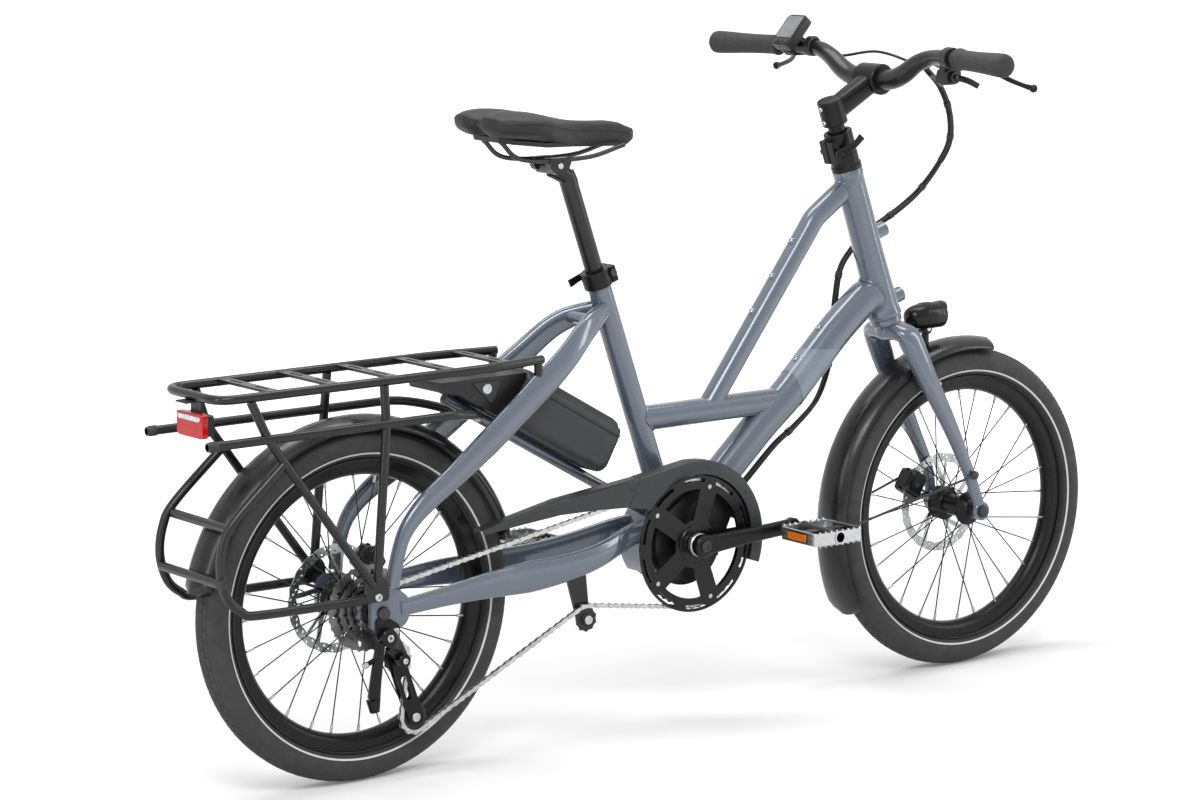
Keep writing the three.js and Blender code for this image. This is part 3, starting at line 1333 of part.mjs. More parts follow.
function rearLight() {
  const { width, height, depth, back, up, corner } = tailLight;
  const face = rectangle(width, height, corner, 0, up);
  const body = new THREE.ExtrudeGeometry(face, { depth, bevelEnabled: false, curveSegments: 3 })
    .rotateX(Math.PI / 2).rotateZ(-Math.PI / 2).translate(-back, 0, 0);
  const strip = block(
    depth, width - corner - corner, tailLight.stripHeight,
    at(depth / 2 - back - tailLight.stripStep, 0, up + height / 2 - tailLight.stripHeight),
  );
  const under = rack.deckUp - rack.tubeRadius * Math.cos(Math.PI / rack.sides) - gap;
  const thick = tailLight.bracketThick;
  const arm = block(
    thick, tailLight.bracketWidth, under - up, at(depth / 2 - back, 0, (under + up) / 2),
  );
  const tongue = block(
    rack.deckRear - back + depth, tailLight.bracketWidth, thick,
    at(-(rack.deckRear + back - depth) / 2, 0, under - thick / 2),
  );
  return join(body, strip, arm, tongue);
}

add('tail_light', rearLight(), redLens);

// Fenders, as bent channels round the wheels

function fenderBand(axle, from, to, steps) {
  const outer = fenderOuterShares.map(
    ([out, down]) => [fender.halfWidth * out, fender.radius - fender.drop * down],
  );
  const inner = outer.map(([out, radius], i) => [
    i === 0 ? out - fender.thick : out * (1 - fender.thick / fender.halfWidth),
    i === 0 ? radius : radius - fender.thick,
  ]);
  const across = [
    ...outer.map(([out, radius]) => [-out, radius]), ...outer.slice(0, -1).reverse(),
    ...inner, ...inner.slice(0, -1).reverse().map(([out, radius]) => [-out, radius]),
  ];
  const rings = Array.from({ length: steps + 1 }, (_, i) => {
    const angle = THREE.MathUtils.lerp(from, to, i / steps);
    return across.map(([out, radius]) => {
      const [x, z] = polar(axle, radius, angle);
      return at(x, out, z);
    });
  });
  return skin(rings);
}

add('rear_fender', fenderBand(rearAxle, fender.rearFrom, fender.rearTo, fender.rearSteps), satinBlack);

function frontMudguard() {
  const band = fenderBand(frontAxle, fender.frontFrom, fender.frontTo, fender.frontSteps);
  const flapRing = (angle, grow) => {
    const low = fender.radius - fender.drop - grow;
    const high = fender.radius + grow;
    const half = fender.halfWidth - fender.thick;
    return [[-half, low], [-half, high - fender.drop / 3], [-half / 2, high], [half / 2, high],
      [half, high - fender.drop / 3], [half, low], [half / 2, high - fender.flapThick],
      [-half / 2, high - fender.flapThick]].map(([out, radius]) => {
      const [x, z] = polar(frontAxle, radius, angle);
      return at(x, out, z);
    });
  };
  const flap = skin([flapRing(fender.frontTo - fender.flapWidth, 0), flapRing(fender.flapTo, 0)]);
  const rods = [-1, 1].map((side) => {
    const [x, z] = polar(frontAxle, fender.radius - fender.drop / 2, fender.stayFrom);
    const [ahead, out, up] = fender.stayEnd;
    const end = frontAxle.clone().add(at(ahead, side * out, up));
    const eye = moved(
      disc(fender.eyeRadius, -side * fender.eyeThick, side * fender.eyeThick, rack.sides), end,
    );
    const clip = moved(
      disc(
        fender.clipRadius, side * (fender.halfWidth - fender.clipRadius),
        side * (fender.halfWidth + fender.clipRadius), rack.sides,
      ),
      at(x, 0, z),
    );
    const start = at(x, side * (fender.halfWidth + fender.stayRadius), z);
    return [rod([start, end], fender.stayRadius, cable.sides), eye, clip];
  });
  return join(band, flap, ...rods.flat());
}

add('front_fender', frontMudguard(), satinBlack);

// Fork with its hollow steerer, crown, blades and dropouts

function forkBody() {
  const tubeAbove = alongSteerer([
    [0, fork.crownUp], [fork.crownRadius, fork.crownUp], [fork.crownRadius, fork.crownRace],
    [fork.raceRadius, fork.crownRace], [fork.raceRadius, fork.crownTop],
    [fork.steererRadius, fork.crownTop], [fork.steererRadius, fork.steererTop], [0, fork.steererTop],
  ], tube.seatStations);
  const top = onSteerer(fork.topUp, fork.topAhead, fork.topOut);
  const foot = frontAxle.clone().add(vector(fork.foot));
  const crown = sweep([
    at(top.x, -fork.crownHalf, fork.crownUp), at(onSteerer(fork.crownUp).x, 0, fork.crownUp),
    at(top.x, fork.crownHalf, fork.crownUp),
  ], () => oval(fork.crownHeight / 2, fork.crownHeight / 2, fork.sides, tube.squareness), upward);
  const blade = (side) => {
    const path = between(top, foot, forkPathShares).map((p) => at(p.x, side * p.y, p.z));
    return sweep(path, (share) => oval(
      THREE.MathUtils.lerp(fork.topWidth, fork.tipWidth, share) / 2,
      (fork.height * graded(forkHeightShares, share)) / 2, fork.sides, tube.squareness,
    ));
  };
  const tip = (side) => moved(
    disc(fork.dropoutRadius, side * fork.dropoutInner, side * fork.dropoutOuter, fork.sides * 2), frontAxle,
  );
  const hubSpace = moved(
    disc(fork.hubClear, -fork.dropoutInner, fork.dropoutInner, fork.sides * 2), frontAxle,
  );
  const axle = moved(disc(wheel.bore, -wheelbase, wheelbase, wheel.axleStations), frontAxle);
  const bore = alongSteerer([
    [0, fork.crownRace], [fork.steererBore, fork.crownRace], [fork.steererBore, wheelbase], [0, wheelbase],
  ], tube.seatStations);
  return cut(join(tubeAbove, crown, blade(1), blade(-1), tip(1), tip(-1)), hubSpace, axle, bore);
}

add('fork', forkBody(), paint);

// Axle with a flat head on each end
function throughAxle(reach, headAt, centre) {
  const head = wheel.axleRadius + hub.flangeThick;
  return moved(turned([
    [0, -headAt - hub.flangeThick], [head, -headAt - hub.flangeThick], [head, -headAt],
    [wheel.axleRadius, -headAt], [wheel.axleRadius, headAt], [head, headAt],
    [head, headAt + hub.flangeThick], [0, headAt + hub.flangeThick],
  ], wheel.axleStations), centre);
}

add('front_axle', throughAxle(frontEnd, fork.dropoutOuter + gap, frontAxle), darkSteel);
add('rear_axle', throughAxle(rearEnd, dropout.outer + gap, rearAxle), darkSteel);

// Headlight on a short post over the front fender

function frontLight() {
  const { radius, neck, rear, front, lens, visor, postBack } = headlight;
  const post = at(wheelbase - postBack, 0, headlight.up);
  const lamp = aimed(turned([
    [0, -rear], [neck, -rear], [radius, radius - rear], [radius, front], [radius - visor, front],
    [radius - visor, front - visor], [neck, front - visor], [neck / 2, lens - visor], [0, lens - visor],
  ], headlight.stations), post, at(wheelbase, 0, headlight.up));
  const foot = tyreRadius + Math.sqrt((fender.radius + gap) ** 2 - postBack ** 2) + gap + gap;
  const support = rod([at(post.x, 0, foot), post], headlight.postRadius, fork.sides);
  return join(lamp, support);
}

add('headlight', frontLight(), moulded);

// Brake calipers over the discs

function caliperAt(axle, offset, degrees) {
  const half = caliper.halfWidth;
  const length = caliper.to - caliper.from;
  const middle = (caliper.from + caliper.to) / 2;
  const body = slab(rectangle(length, 2 * caliper.halfLength, caliper.boltRadius, middle, 0), -half, half, 3);
  const slotSpace = block(
    caliper.slotTo - caliper.from + caliper.boltRadius, 4 * caliper.halfLength, 2 * caliper.slotHalf,
    at((caliper.slotTo + caliper.from - caliper.boltRadius) / 2, 0, 0),
  );
  const bolts = [-1, 1].map((end) => new THREE.CylinderGeometry(
    caliper.boltRadius, caliper.boltRadius, 2 * half + 1, pulley.stations / 2,
  ).rotateX(Math.PI / 2).translate(middle + length / 4, (end * caliper.halfLength) / 2, 0));
  const turn = THREE.MathUtils.degToRad(degrees);
  return cut(join(body, ...bolts), slotSpace)
    .rotateX(Math.PI / 2).rotateY(-turn).translate(axle.x, offset, axle.z);
}

add('rear_caliper', caliperAt(rearAxle, rotor.rearOffset, caliper.rearAngle), moulded);
add('front_caliper', caliperAt(frontAxle, rotor.frontOffset, caliper.frontAngle), moulded);

// Rear derailleur: hanger, body, cage, cable and guard

function rearDerailleur() {
  const hanger = plate(
    rounded(derailleur.hanger, derailleur.boltRadius / 2), -dropout.outer - gap, -derailleur.hangerOuter, 3,
  );
  const from = vector(derailleur.bodyFrom);
  const to = vector(derailleur.bodyTo);
  const body = rod([
    from, between(from, to, [[0.1, 0, 0.55]])[0], between(from, to, [[0.5, 0.4, 0.85]])[0], to,
  ], derailleur.bodyRadius, rack.sides);
  const [guide, tension] = [belt.guide.centre, belt.tension.centre];
  const half = derailleur.cageWidth / 2;
  const outline = roundTwo(guide, half, tension, half - gap);
  const cage = [-1, 1].map((side) => plate(
    outline, -chainLine + side * derailleur.cageGap,
    -chainLine + side * (derailleur.cageGap + derailleur.cageThick),
  ));
  const pinsOf = [guide, tension].map((centre) => moved(disc(
    derailleur.axleRadius, -chainLine - derailleur.boltRadius, derailleur.boltRadius - chainLine, rack.sides,
  ), centre));
  const knuckle = moved(disc(
    derailleur.knuckleRadius, -chainLine - derailleur.cageGap, -chainLine - derailleur.knuckleRadius,
    fork.sides,
  ), guide);
  const adjuster = vector(derailleur.adjuster);
  const [barrelEnd] = between(adjuster, to, [[0.75, 0, 0.6]]);
  const barrel = rod([adjuster, barrelEnd], derailleur.adjusterRadius, cable.sides);
  const [gx, gz] = derailleur.guardFrom;
  const [fx, fz] = derailleur.guardTo;
  const guard = rod(bent([
    from, at(gx, from.y, gz), at(fx, -chainLine - derailleur.knuckleRadius, fz),
    at(fx - derailleur.knuckleRadius, -chainLine - derailleur.knuckleRadius, fz),
  ], derailleur.knuckleRadius), derailleur.guardRadius, cable.sides);
  return join(hanger, body, ...cage, ...pinsOf, knuckle, barrel, guard);
}

add('derailleur', rearDerailleur(), darkSteel);

// Clamps with their quick-release levers

function seatClampRing() {
  const around = loose(tube.seatRadius, collar.stations);
  const hole = loose(post.radius, collar.stations);
  const solid = (radius, from, to) => alongSeatLine([
    [0, from], [radius, from], [radius, to], [0, to],
  ], collar.stations);
  const ears = clampEars(onSeatLine, collar.earFrom, collar.earTo, collar.earHalf, collar.bottom, collar.top);
  const slit = clampEars(
    onSeatLine, tube.seatBore, collar.earTo + gap, collar.slot, collar.bottom - gap, collar.top + gap,
  );
  const ring = cut(
    join(solid(collar.radius, collar.bottom, collar.top), ears),
    solid(around, 0, tube.seatTop + gap), solid(hole, 0, wheelbase), slit,
  );
  return join(ring, ...skewerWithNut(onSeatLine(collar.skewerUp, collar.skewerAhead), collar.earHalf, 1));
}

// Skewer through both ears, with its nut on the side away from the cam
function skewerWithNut(centre, half, side) {
  return [
    skewerRod(centre, lever.skewerRadius, -half, half),
    skewerRod(centre, lever.camRadius, -side * (half - lever.skewerRadius), -side * (half + lever.camHalf)),
  ];
}

// Block beside a leaning axis, between two places ahead of it and two heights
function clampEars(onAxis, from, to, half, low, high) {
  const ring = (height) => [[from, -half], [to, -half], [to, half], [from, half]]
    .map(([ahead, out]) => onAxis(height, ahead, out));
  return skin([ring(low), ring(high)]);
}

function skewerRod(centre, radius, from, to) {
  return moved(disc(radius, from, to, rack.sides), centre);
}

add('seat_clamp', seatClampRing(), satinBlack);

function steererClamp() {
  const body = alongSteerer([
    [0, headTube.top + gap], [clampBody.coverRadius, headTube.top + gap],
    [clampBody.coverRadius, clampBody.coverTop], [clampBody.radius, clampBody.coverTop + gap],
    [clampBody.radius, clampBody.top], [0, clampBody.top],
  ], clampBody.stations);
  const ears = clampEars(
    onSteerer, -clampBody.earBack, -clampBody.earFrom, clampBody.earHalf, clampBody.earLow, clampBody.earHigh,
  );
  const inside = loose(fork.steererRadius, clampBody.stations);
  const bore = alongSteerer([
    [0, 0], [inside, 0], [inside, wheelbase], [0, wheelbase],
  ], clampBody.stations);
  const slit = clampEars(
    onSteerer, -clampBody.earBack - gap, -clampBody.earFrom, clampBody.slot, clampBody.earLow - gap,
    clampBody.top + gap,
  );
  return join(
    cut(join(body, ears), bore, slit),
    ...skewerWithNut(onSteerer(clampBody.skewerUp, -clampBody.skewerBack), clampBody.earHalf, -1),
  );
}

add('post_clamp', steererClamp(), satinBlack);

// Quick-release lever: a cam that turns beside the end of its skewer, with a blade
function quickRelease(centre, up, out, tip) {
  const place = centre.clone().add(at(0, out, 0));
  const cam = rod([
    place.clone().addScaledVector(up, -lever.camHalf), place.clone().addScaledVector(up, lever.camHalf),
  ], lever.camRadius, pulley.stations);
  const end = centre.clone().add(at(...tip));
  const blade = sweep([place, ...between(place, end, [[0.5, 0.75, 0.45]]), end], () => [
    [-lever.bladeThick / 2, -lever.bladeWidth / 2], [lever.bladeThick / 2, -lever.bladeWidth / 2],
    [lever.bladeThick / 2, lever.bladeWidth / 2], [-lever.bladeThick / 2, lever.bladeWidth / 2],
  ]);
  return join(cam, blade);
}

add('seat_lever', quickRelease(
  onSeatLine(collar.skewerUp, collar.skewerAhead), seatUp, collar.earHalf + gap + lever.camRadius,
  lever.seatTip,
), satinBlack);

add('post_lever', quickRelease(
  onSteerer(clampBody.skewerUp, -clampBody.skewerBack), steerUp, -clampBody.earHalf - gap - lever.camRadius,
  lever.postTip,
), satinBlack);

// Stem on its insert tube, and the bar that it holds

const barCentre = onSteerer(bar.up, bar.ahead);
const fromBar = (offset) => barCentre.clone().add(vector(offset));

function barPath(side) {
  return between(barCentre, fromBar(bar.tip), barPathShares.concat([[1, 1, 1]]))
    .map((p) => at(p.x, side * p.y, p.z));
}

function handlebarTube(grow) {
  const half = barPath(1);
  const path = [...barPath(-1).slice(1).reverse(), ...half];
  return sweep(path, (share) => {
    const radius = grow + THREE.MathUtils.lerp(
      bar.radius, bar.middleRadius, graded(barRadiusShares, Math.abs(2 * share - 1)),
    );
    return oval(radius, radius, bar.sides);
  }, upward);
}

const barSpace = handlebarTube(gap);

add('handlebar', handlebarTube(0), satinBlack);

function stemBody() {
  const insert = alongSteerer([
    [0, stem.insertFoot], [stem.tubeRadius, stem.insertFoot], [stem.tubeRadius, stem.sleeveBottom],
    [stem.sleeveRadius, stem.sleeveBottom], [stem.sleeveRadius, stem.sleeveTop], [0, stem.sleeveTop],
  ], stem.sides);
  const middle = onSteerer((stem.sleeveBottom + stem.sleeveTop) / 2);
  const arm = sweep([middle, barCentre], (share) => oval(
    THREE.MathUtils.lerp(stem.armWidth, stem.armTopWidth, share) / 2, stem.armHeight / 2, stem.sides,
    tube.squareness,
  ));
  const ring = moved(disc(stem.clampRadius, -stem.clampHalf, stem.clampHalf, stem.sides), barCentre);
  return cut(join(insert, arm, ring), barSpace);
}

add('stem', stemBody(), satinBlack);

// Grips, brake clamps and levers on each end of the bar

const gripLine = (side, out) => {
  const from = fromBar(bar.gripFrom);
  const to = fromBar(bar.tip);
  const share = (out - from.y) / (to.y - from.y);
  const place = from.lerp(to, share);
  return at(place.x, side * place.y, place.z);
};

function handGrip(side) {
  const from = gripLine(side, grip.from);
  const to = gripLine(side, grip.to);
  const length = from.distanceTo(to);
  const inner = loose(bar.radius, grip.sides);
  return aimed(turned([
    [inner, 0], [grip.flangeRadius, 0], [grip.flangeRadius, grip.flangeThick],
    [grip.radius, grip.flangeThick], [grip.radius, length - grip.flangeThick],
    [grip.flangeRadius, length], [grip.radius, length + grip.flangeThick],
    [0, length + grip.flangeThick], [0, length + gap], [inner, length + gap],
  ], grip.sides), from, to);
}

add('left_grip', handGrip(1), rubber);
add('right_grip', handGrip(-1), rubber);

const brakePivot = (side) => {
  const place = gripLine(side, brake.pivotAt);
  return place.add(at(brake.pivotAhead, 0, -brake.pivotDown));
};

function brakeClamp(side) {
  const ringAt = gripLine(side, brake.at - brake.clampHalf);
  const ringEnd = gripLine(side, brake.at + brake.clampHalf);
  const ring = aimed(sleeve(
    loose(bar.radius, grip.sides), brake.clampRadius, 0, ringAt.distanceTo(ringEnd), grip.sides,
  ), ringAt, ringEnd);
  const pivot = brakePivot(side);
  const reach = brake.pivotAhead - brake.clampRadius + brake.eyeRadius;
  const body = block(
    reach + brake.eyeRadius, brake.bodyTo - brake.bodyFrom, brake.bodyHeight,
    at(pivot.x - reach / 2 + brake.eyeRadius / 2, side * (brake.bodyFrom + brake.bodyTo) / 2, pivot.z),
  );
  const arms = [-1, 1].map((end) => block(
    2 * brake.eyeRadius, brake.eyeRadius + brake.pivotAt - brake.bodyTo + brake.earThick, brake.earThick,
    at(pivot.x, side * (brake.pivotAt + brake.eyeRadius + brake.bodyTo - brake.earThick) / 2,
      pivot.z + end * (brake.bodyHeight - brake.earThick) / 2),
  ));
  const pin = new THREE.CylinderGeometry(brake.pinRadius, brake.pinRadius, brake.bodyHeight, pulley.stations / 2)
    .rotateX(Math.PI / 2).translate(pivot.x, pivot.y, pivot.z);
  const tank = rod([
    at(pivot.x - reach / 3, side * brake.tankFrom, pivot.z),
    at(pivot.x - reach / 3, side * brake.bodyTo, pivot.z),
  ], brake.tankRadius, rack.sides, upward);
  return cut(join(ring, body, ...arms, pin, tank), barSpace);
}

function brakeBlade(side) {
  const pivot = brakePivot(side);
  const [x, y, z] = brake.leverEnd;
  const end = gripLine(side, brake.at).add(at(x, side * (y - brake.at), z));
  const path = between(pivot, end, leverPathShares);
  const blade = sweep(path, (share) => oval(
    brake.leverWidth / 2, brake.leverHeight / 2, rack.sides,
  ), upward);
  const tip = new THREE.OctahedronGeometry(brake.tipRadius, 1).translate(end.x, end.y, end.z);
  const eye = new THREE.CylinderGeometry(
    brake.eyeRadius, brake.eyeRadius, brake.leverHeight + brake.earThick, pulley.stations,
  ).rotateX(Math.PI / 2).translate(pivot.x, pivot.y, pivot.z);
  const hole = new THREE.CylinderGeometry(brake.pinBore, brake.pinBore, brake.bodyHeight, pulley.stations / 2)
    .rotateX(Math.PI / 2).translate(pivot.x, pivot.y, pivot.z);
  return cut(join(blade, tip, eye), hole);
}

add('left_brake_mount', brakeClamp(1), moulded);
add('left_brake_lever', brakeBlade(1), moulded);
add('right_brake_lever', brakeBlade(-1), moulded);

// Gear lever under the right side of the bar, on the same clamp as the brake

const shifterCentre = gripLine(-1, shifter.at).add(at(shifter.ahead, 0, -shifter.down));

function rightClamp() {
  const { width, height, depth, corner } = shifter;
  const body = slab(rectangle(depth, width, corner), -height / 2, height / 2, 2);
  const neck = block(depth / 2, width / 2, shifter.down, at(0, 0, shifter.down / 2));
  const peg = aimed(
    disc(shifter.pinRadius, 0, width / 2 + shifter.leverWidth, pulley.stations / 2), at(0, 0, 0), at(0, -1, 0),
  );
  return cut(
    join(brakeClamp(-1), ...[body, neck, peg].map((piece) => moved(piece, shifterCentre))), barSpace,
  );
}

add('right_brake_mount', rightClamp(), moulded);

function gearLever() {
  const out = shifter.width / 2 + gap;
  const hub = skewerAbout(shifterCentre, shifter.leverWidth - gap, -out, -out - shifter.leverHeight);
  const from = shifterCentre.clone().add(at(0, -out - shifter.leverHeight / 2, 0));
  const to = shifterCentre.clone().add(at(...shifter.leverTip));
  const blade = sweep([from, to], () => [
    [-shifter.leverHeight / 2, -shifter.leverWidth / 2], [shifter.leverHeight / 2, -shifter.leverWidth / 2],
    [shifter.leverHeight / 2, shifter.leverWidth / 2], [-shifter.leverHeight / 2, shifter.leverWidth / 2],
  ]);
  const hole = skewerAbout(shifterCentre, shifter.pinRadius + gap + gap, 0, -wheel.rimBottom);
  return cut(join(hub, blade), hole);
}

function skewerAbout(centre, radius, from, to) {
  return moved(disc(radius, from, to, pulley.stations), centre);
}

add('shift_lever', gearLever(), moulded);

// Display on the left of the stem

function screenCase() {
  const { width, height, depth, corner } = display;
  const place = gripLine(1, display.at).add(at(-display.back, 0, display.rise));
  const body = slab(rectangle(height, width, corner), -depth / 2, depth / 2, 2);
  const screen = slab(
    rectangle(height - corner, width - corner, corner / 2), 0, depth / 2 + display.screenStep, 1,
  );
  const face = moved(join(body, screen).rotateY(-display.tilt), place);
  const clamp = gripLine(1, display.bracketAt);
  const ringAt = gripLine(1, display.bracketAt - display.bracketWidth / 2);
  const ringEnd = gripLine(1, display.bracketAt + display.bracketWidth / 2);
  const ring = aimed(sleeve(
    bar.radius / 2, bar.radius + display.bracketThick, 0, display.bracketWidth, grip.sides,
  ), ringAt, ringEnd);
  const arm = sweep([clamp, at(place.x, clamp.y + display.corner, place.z)], () => [
    [-display.bracketWidth / 2, -display.bracketThick / 2],
    [display.bracketWidth / 2, -display.bracketThick / 2],
    [display.bracketWidth / 2, display.bracketThick / 2],
    [-display.bracketWidth / 2, display.bracketThick / 2],
  ]);
  return cut(join(face, ring, arm), barSpace);
}

add('display', screenCase(), moulded);

// Seat post with its rails and clamp, and the saddle over them

const postTop = onSeatLine(post.top);

function seatPost() {
  const tubePiece = alongSeatLine([
    [0, post.foot], [post.radius, post.foot], [post.radius, post.top], [0, post.top],
  ], post.sides);
  const clamp = at(-saddle.clampBack, 0, saddle.clampRise).add(postTop);
  const head = block(saddle.clampLength, 2 * saddle.clampHalf, saddle.clampHeight, clamp);
  const neck = rod([onSeatLine(post.top - saddle.clampHeight), clamp], post.radius, rack.sides);
  const rails = [-1, 1].map((side) => rod(
    saddleRail.map(([x, z]) => at(x, side * saddle.railHalf, z).add(postTop)),
    saddle.railRadius, fork.sides - 2,
  ));
  return join(tubePiece, neck, head, ...rails);
}

add('seatpost', seatPost(), satinBlack);

function saddleShell() {
  const length = saddle.rear + saddle.nose;
  const column = (where, k) => {
    const row = saddleRowsShares.findIndex(([place]) => place >= where);
    const high = Math.max(row, 1);
    const [a, b] = [saddleRowsShares[high - 1], saddleRowsShares[high]];
    return THREE.MathUtils.lerp(a[k], b[k], (where - a[0]) / (b[0] - a[0]));
  };
  const rings = Array.from({ length: saddle.rows + 1 }, (_, i) => {
    const where = (1 - Math.cos((i / saddle.rows) * Math.PI)) / 2;
    const half = saddle.halfWidth * column(where, 1);
    const top = post.top + saddle.rise - saddle.drop * column(where, 2);
    const thick = saddle.thick * column(where, 3);
    return Array.from({ length: saddle.sides }, (__, k) => {
      const angle = (k / saddle.sides) * fullTurn;
      const [c, s] = [Math.cos(angle), Math.sin(angle)];
      const out = half * Math.sign(c) * Math.abs(c) ** saddle.roundShare;
      const crown = s > 0 ? s ** saddle.roundShare : -((-s) ** saddle.edgeShare);
      const tuck = s < 0 ? 1 + saddle.tuckShare * s : 1;
      return at(postTop.x - saddle.rear + where * length, out * tuck, top + (thick / 2) * (crown - 1));
    });
  });
  return skin(rings);
}

add('saddle', saddleShell(), rubber);

// Cables: one loom in front of the head tube, then along the frame

const throughPoints = (points, steps, radius) => rod(
  smooth(points.map(vector), steps), radius, cable.sides, upward,
);

function barCables() {
  const loom = throughPoints(loomRoute, cable.steps, cable.loomRadius);
  const branches = barBranches.map((route) => throughPoints(route, cable.branchSteps, cable.radius));
  return join(loom, ...branches);
}

add('control_cables', barCables(), rubber);
add('frame_cables', throughPoints(frameRoute, cable.frameSteps, cable.loomRadius - gap), rubber);

// Origin on the ground, below the middle of the bike

const extent = new THREE.Box3().setFromObject(bike);
const middle = extent.getCenter(at(0, 0, 0));
bike.position.set(-middle.x, -middle.y, -extent.min.z);

export default bike;
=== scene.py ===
import json
from math import acos, atan2, copysign, cos, exp, hypot, pi, radians, sin, sqrt

import bmesh
import bpy
import numpy as np
from mathutils import Matrix, Vector
from mathutils.geometry import tessellate_polygon

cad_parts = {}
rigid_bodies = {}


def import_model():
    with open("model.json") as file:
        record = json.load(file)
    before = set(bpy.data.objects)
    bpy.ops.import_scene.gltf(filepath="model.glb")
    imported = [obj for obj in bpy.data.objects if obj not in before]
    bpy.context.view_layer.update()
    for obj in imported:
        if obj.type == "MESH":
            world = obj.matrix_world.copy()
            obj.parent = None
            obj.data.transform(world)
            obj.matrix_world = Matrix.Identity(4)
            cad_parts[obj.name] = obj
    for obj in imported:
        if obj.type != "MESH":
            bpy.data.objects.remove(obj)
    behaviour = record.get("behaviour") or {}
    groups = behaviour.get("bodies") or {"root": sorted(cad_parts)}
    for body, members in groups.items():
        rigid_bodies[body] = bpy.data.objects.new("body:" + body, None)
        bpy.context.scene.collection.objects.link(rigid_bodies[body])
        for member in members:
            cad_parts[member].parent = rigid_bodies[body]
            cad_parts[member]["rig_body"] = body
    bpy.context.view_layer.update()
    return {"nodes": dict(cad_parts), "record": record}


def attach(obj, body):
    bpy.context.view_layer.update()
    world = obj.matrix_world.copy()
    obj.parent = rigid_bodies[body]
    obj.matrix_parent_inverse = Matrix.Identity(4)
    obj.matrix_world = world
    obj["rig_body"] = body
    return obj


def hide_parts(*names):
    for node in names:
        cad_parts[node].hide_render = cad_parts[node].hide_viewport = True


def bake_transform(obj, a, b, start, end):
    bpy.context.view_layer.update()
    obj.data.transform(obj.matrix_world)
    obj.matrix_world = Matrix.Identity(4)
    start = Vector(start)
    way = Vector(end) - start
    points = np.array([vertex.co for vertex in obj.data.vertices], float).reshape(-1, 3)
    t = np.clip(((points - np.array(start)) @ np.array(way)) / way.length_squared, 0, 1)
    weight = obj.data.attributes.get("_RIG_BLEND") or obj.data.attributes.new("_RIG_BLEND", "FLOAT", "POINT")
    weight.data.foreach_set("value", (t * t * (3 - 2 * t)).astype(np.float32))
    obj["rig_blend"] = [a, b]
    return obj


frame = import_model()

bl_info = {
    "name": "Longtail cargo bike",
    "version": (1, 0, 0),
    "blender": (4, 5, 0),
    "location": "View3D > Sidebar > Longtail",
    "description": "Dresses the packed frame of a compact longtail cargo bike",
    "category": "Add Mesh",
}

# Places are in millimetres from the ground below the rear axle, X forward, Y left and Z up.
# A place's [::2] is its X and Z.

MM = 0.001
FOOT = 557.5
GAP = 0.3
REAR = (0.0, 0.0, 256.0)
FRONT = (1140.0, 0.0, 256.0)
CRANK = (566.0, 0.0, 279.0)
CHAIN_LINE = 52.0
PITCH = 12.7
TYRE = 256.0
STEER_ANGLE = radians(72)
FORK_OFFSET = 44
STEER_UP = np.array([-cos(STEER_ANGLE), 0, sin(STEER_ANGLE)])
STEER_FOOT = np.array([1140 - FORK_OFFSET / sin(STEER_ANGLE), 0, 256])
SEAT_ANGLE = radians(71.55)
SEAT_UP = np.array([-cos(SEAT_ANGLE), 0, sin(SEAT_ANGLE)])
SEAT_FOOT = np.array([569.0, 0, 279])
RAIL_START = (159, 537)
RAIL_SLOPE = radians(-30.4)
IDLER = (369, 0, 190)
FENDER_CROWN = 274.3
DECK_UP = 586
SLATS = [226 - i * 97.5 for i in range(5)]
SIDE_NAMES = {1: "left", -1: "right"}


# Curves and outlines

def vec(*values):
    return np.array(values, float)


def unit(v):
    return v / np.linalg.norm(v)


def on_axis(foot, upright, height, ahead, out):
    place = foot + upright * (height - foot[2]) / upright[2]
    return place + vec(upright[2], 0, -upright[0]) * ahead + vec(0, out, 0)


def on_steerer(height, ahead=0.0, out=0.0):
    return on_axis(STEER_FOOT, STEER_UP, height, ahead, out)


def on_seat_line(height, ahead=0.0, out=0.0):
    return on_axis(SEAT_FOOT, SEAT_UP, height, ahead, out)


def between(start, end, shares):
    start, end = np.array(start, float), np.array(end, float)
    return [start + (end - start) * np.array(share, float) for share in shares]


def graded(values, where):
    return float(np.interp(where, np.linspace(0, 1, len(values)), values))


def smooth(points, steps):
    """Even places along a curve through the points."""
    p = np.array(points, float)
    p = np.vstack([2 * p[0] - p[1], p, 2 * p[-1] - p[-2]])
    rows = []
    for i in range(1, len(p) - 2):
        a, b, c, d = p[i - 1], p[i], p[i + 1], p[i + 2]
        t = np.linspace(0, 1, 24, endpoint=False)[:, None]
        t1 = (c - a) / 2
        t2 = (d - b) / 2
        rows.append((2 * t**3 - 3 * t**2 + 1) * b + (t**3 - 2 * t**2 + t) * t1 + (3 * t**2 - 2 * t**3) * c +
            (t**3 - t**2) * t2)
    rows = np.vstack(rows + [p[-2:-1]])
    far = np.concatenate([[0], np.cumsum(np.linalg.norm(np.diff(rows, axis=0), axis=1))])
    even = np.linspace(0, far[-1], steps + 1)
    return np.stack([np.interp(even, far, rows[:, k]) for k in range(3)], axis=1)


def corner_curve(before, corner, after, radius, steps):
    """Places of a curve that rounds one corner."""
    into, out = before - corner, after - corner
    reach = min(radius, np.linalg.norm(into) * 0.45, np.linalg.norm(out) * 0.45)
    start, end = corner + unit(into) * reach, corner + unit(out) * reach
    return [(1 - t) ** 2 * start + 2 * t * (1 - t) * corner + t**2 * end
        for t in np.linspace(0, 1, steps + 1)]


def bent(points, radius, steps=8):
    """Straight runs with rounded corners."""
    p = [np.array(q, float) for q in points]
    path = [p[0]]
    for i in range(1, len(p) - 1):
        path += corner_curve(*p[i - 1:i + 2], radius, steps)
    return path + [p[-1]]


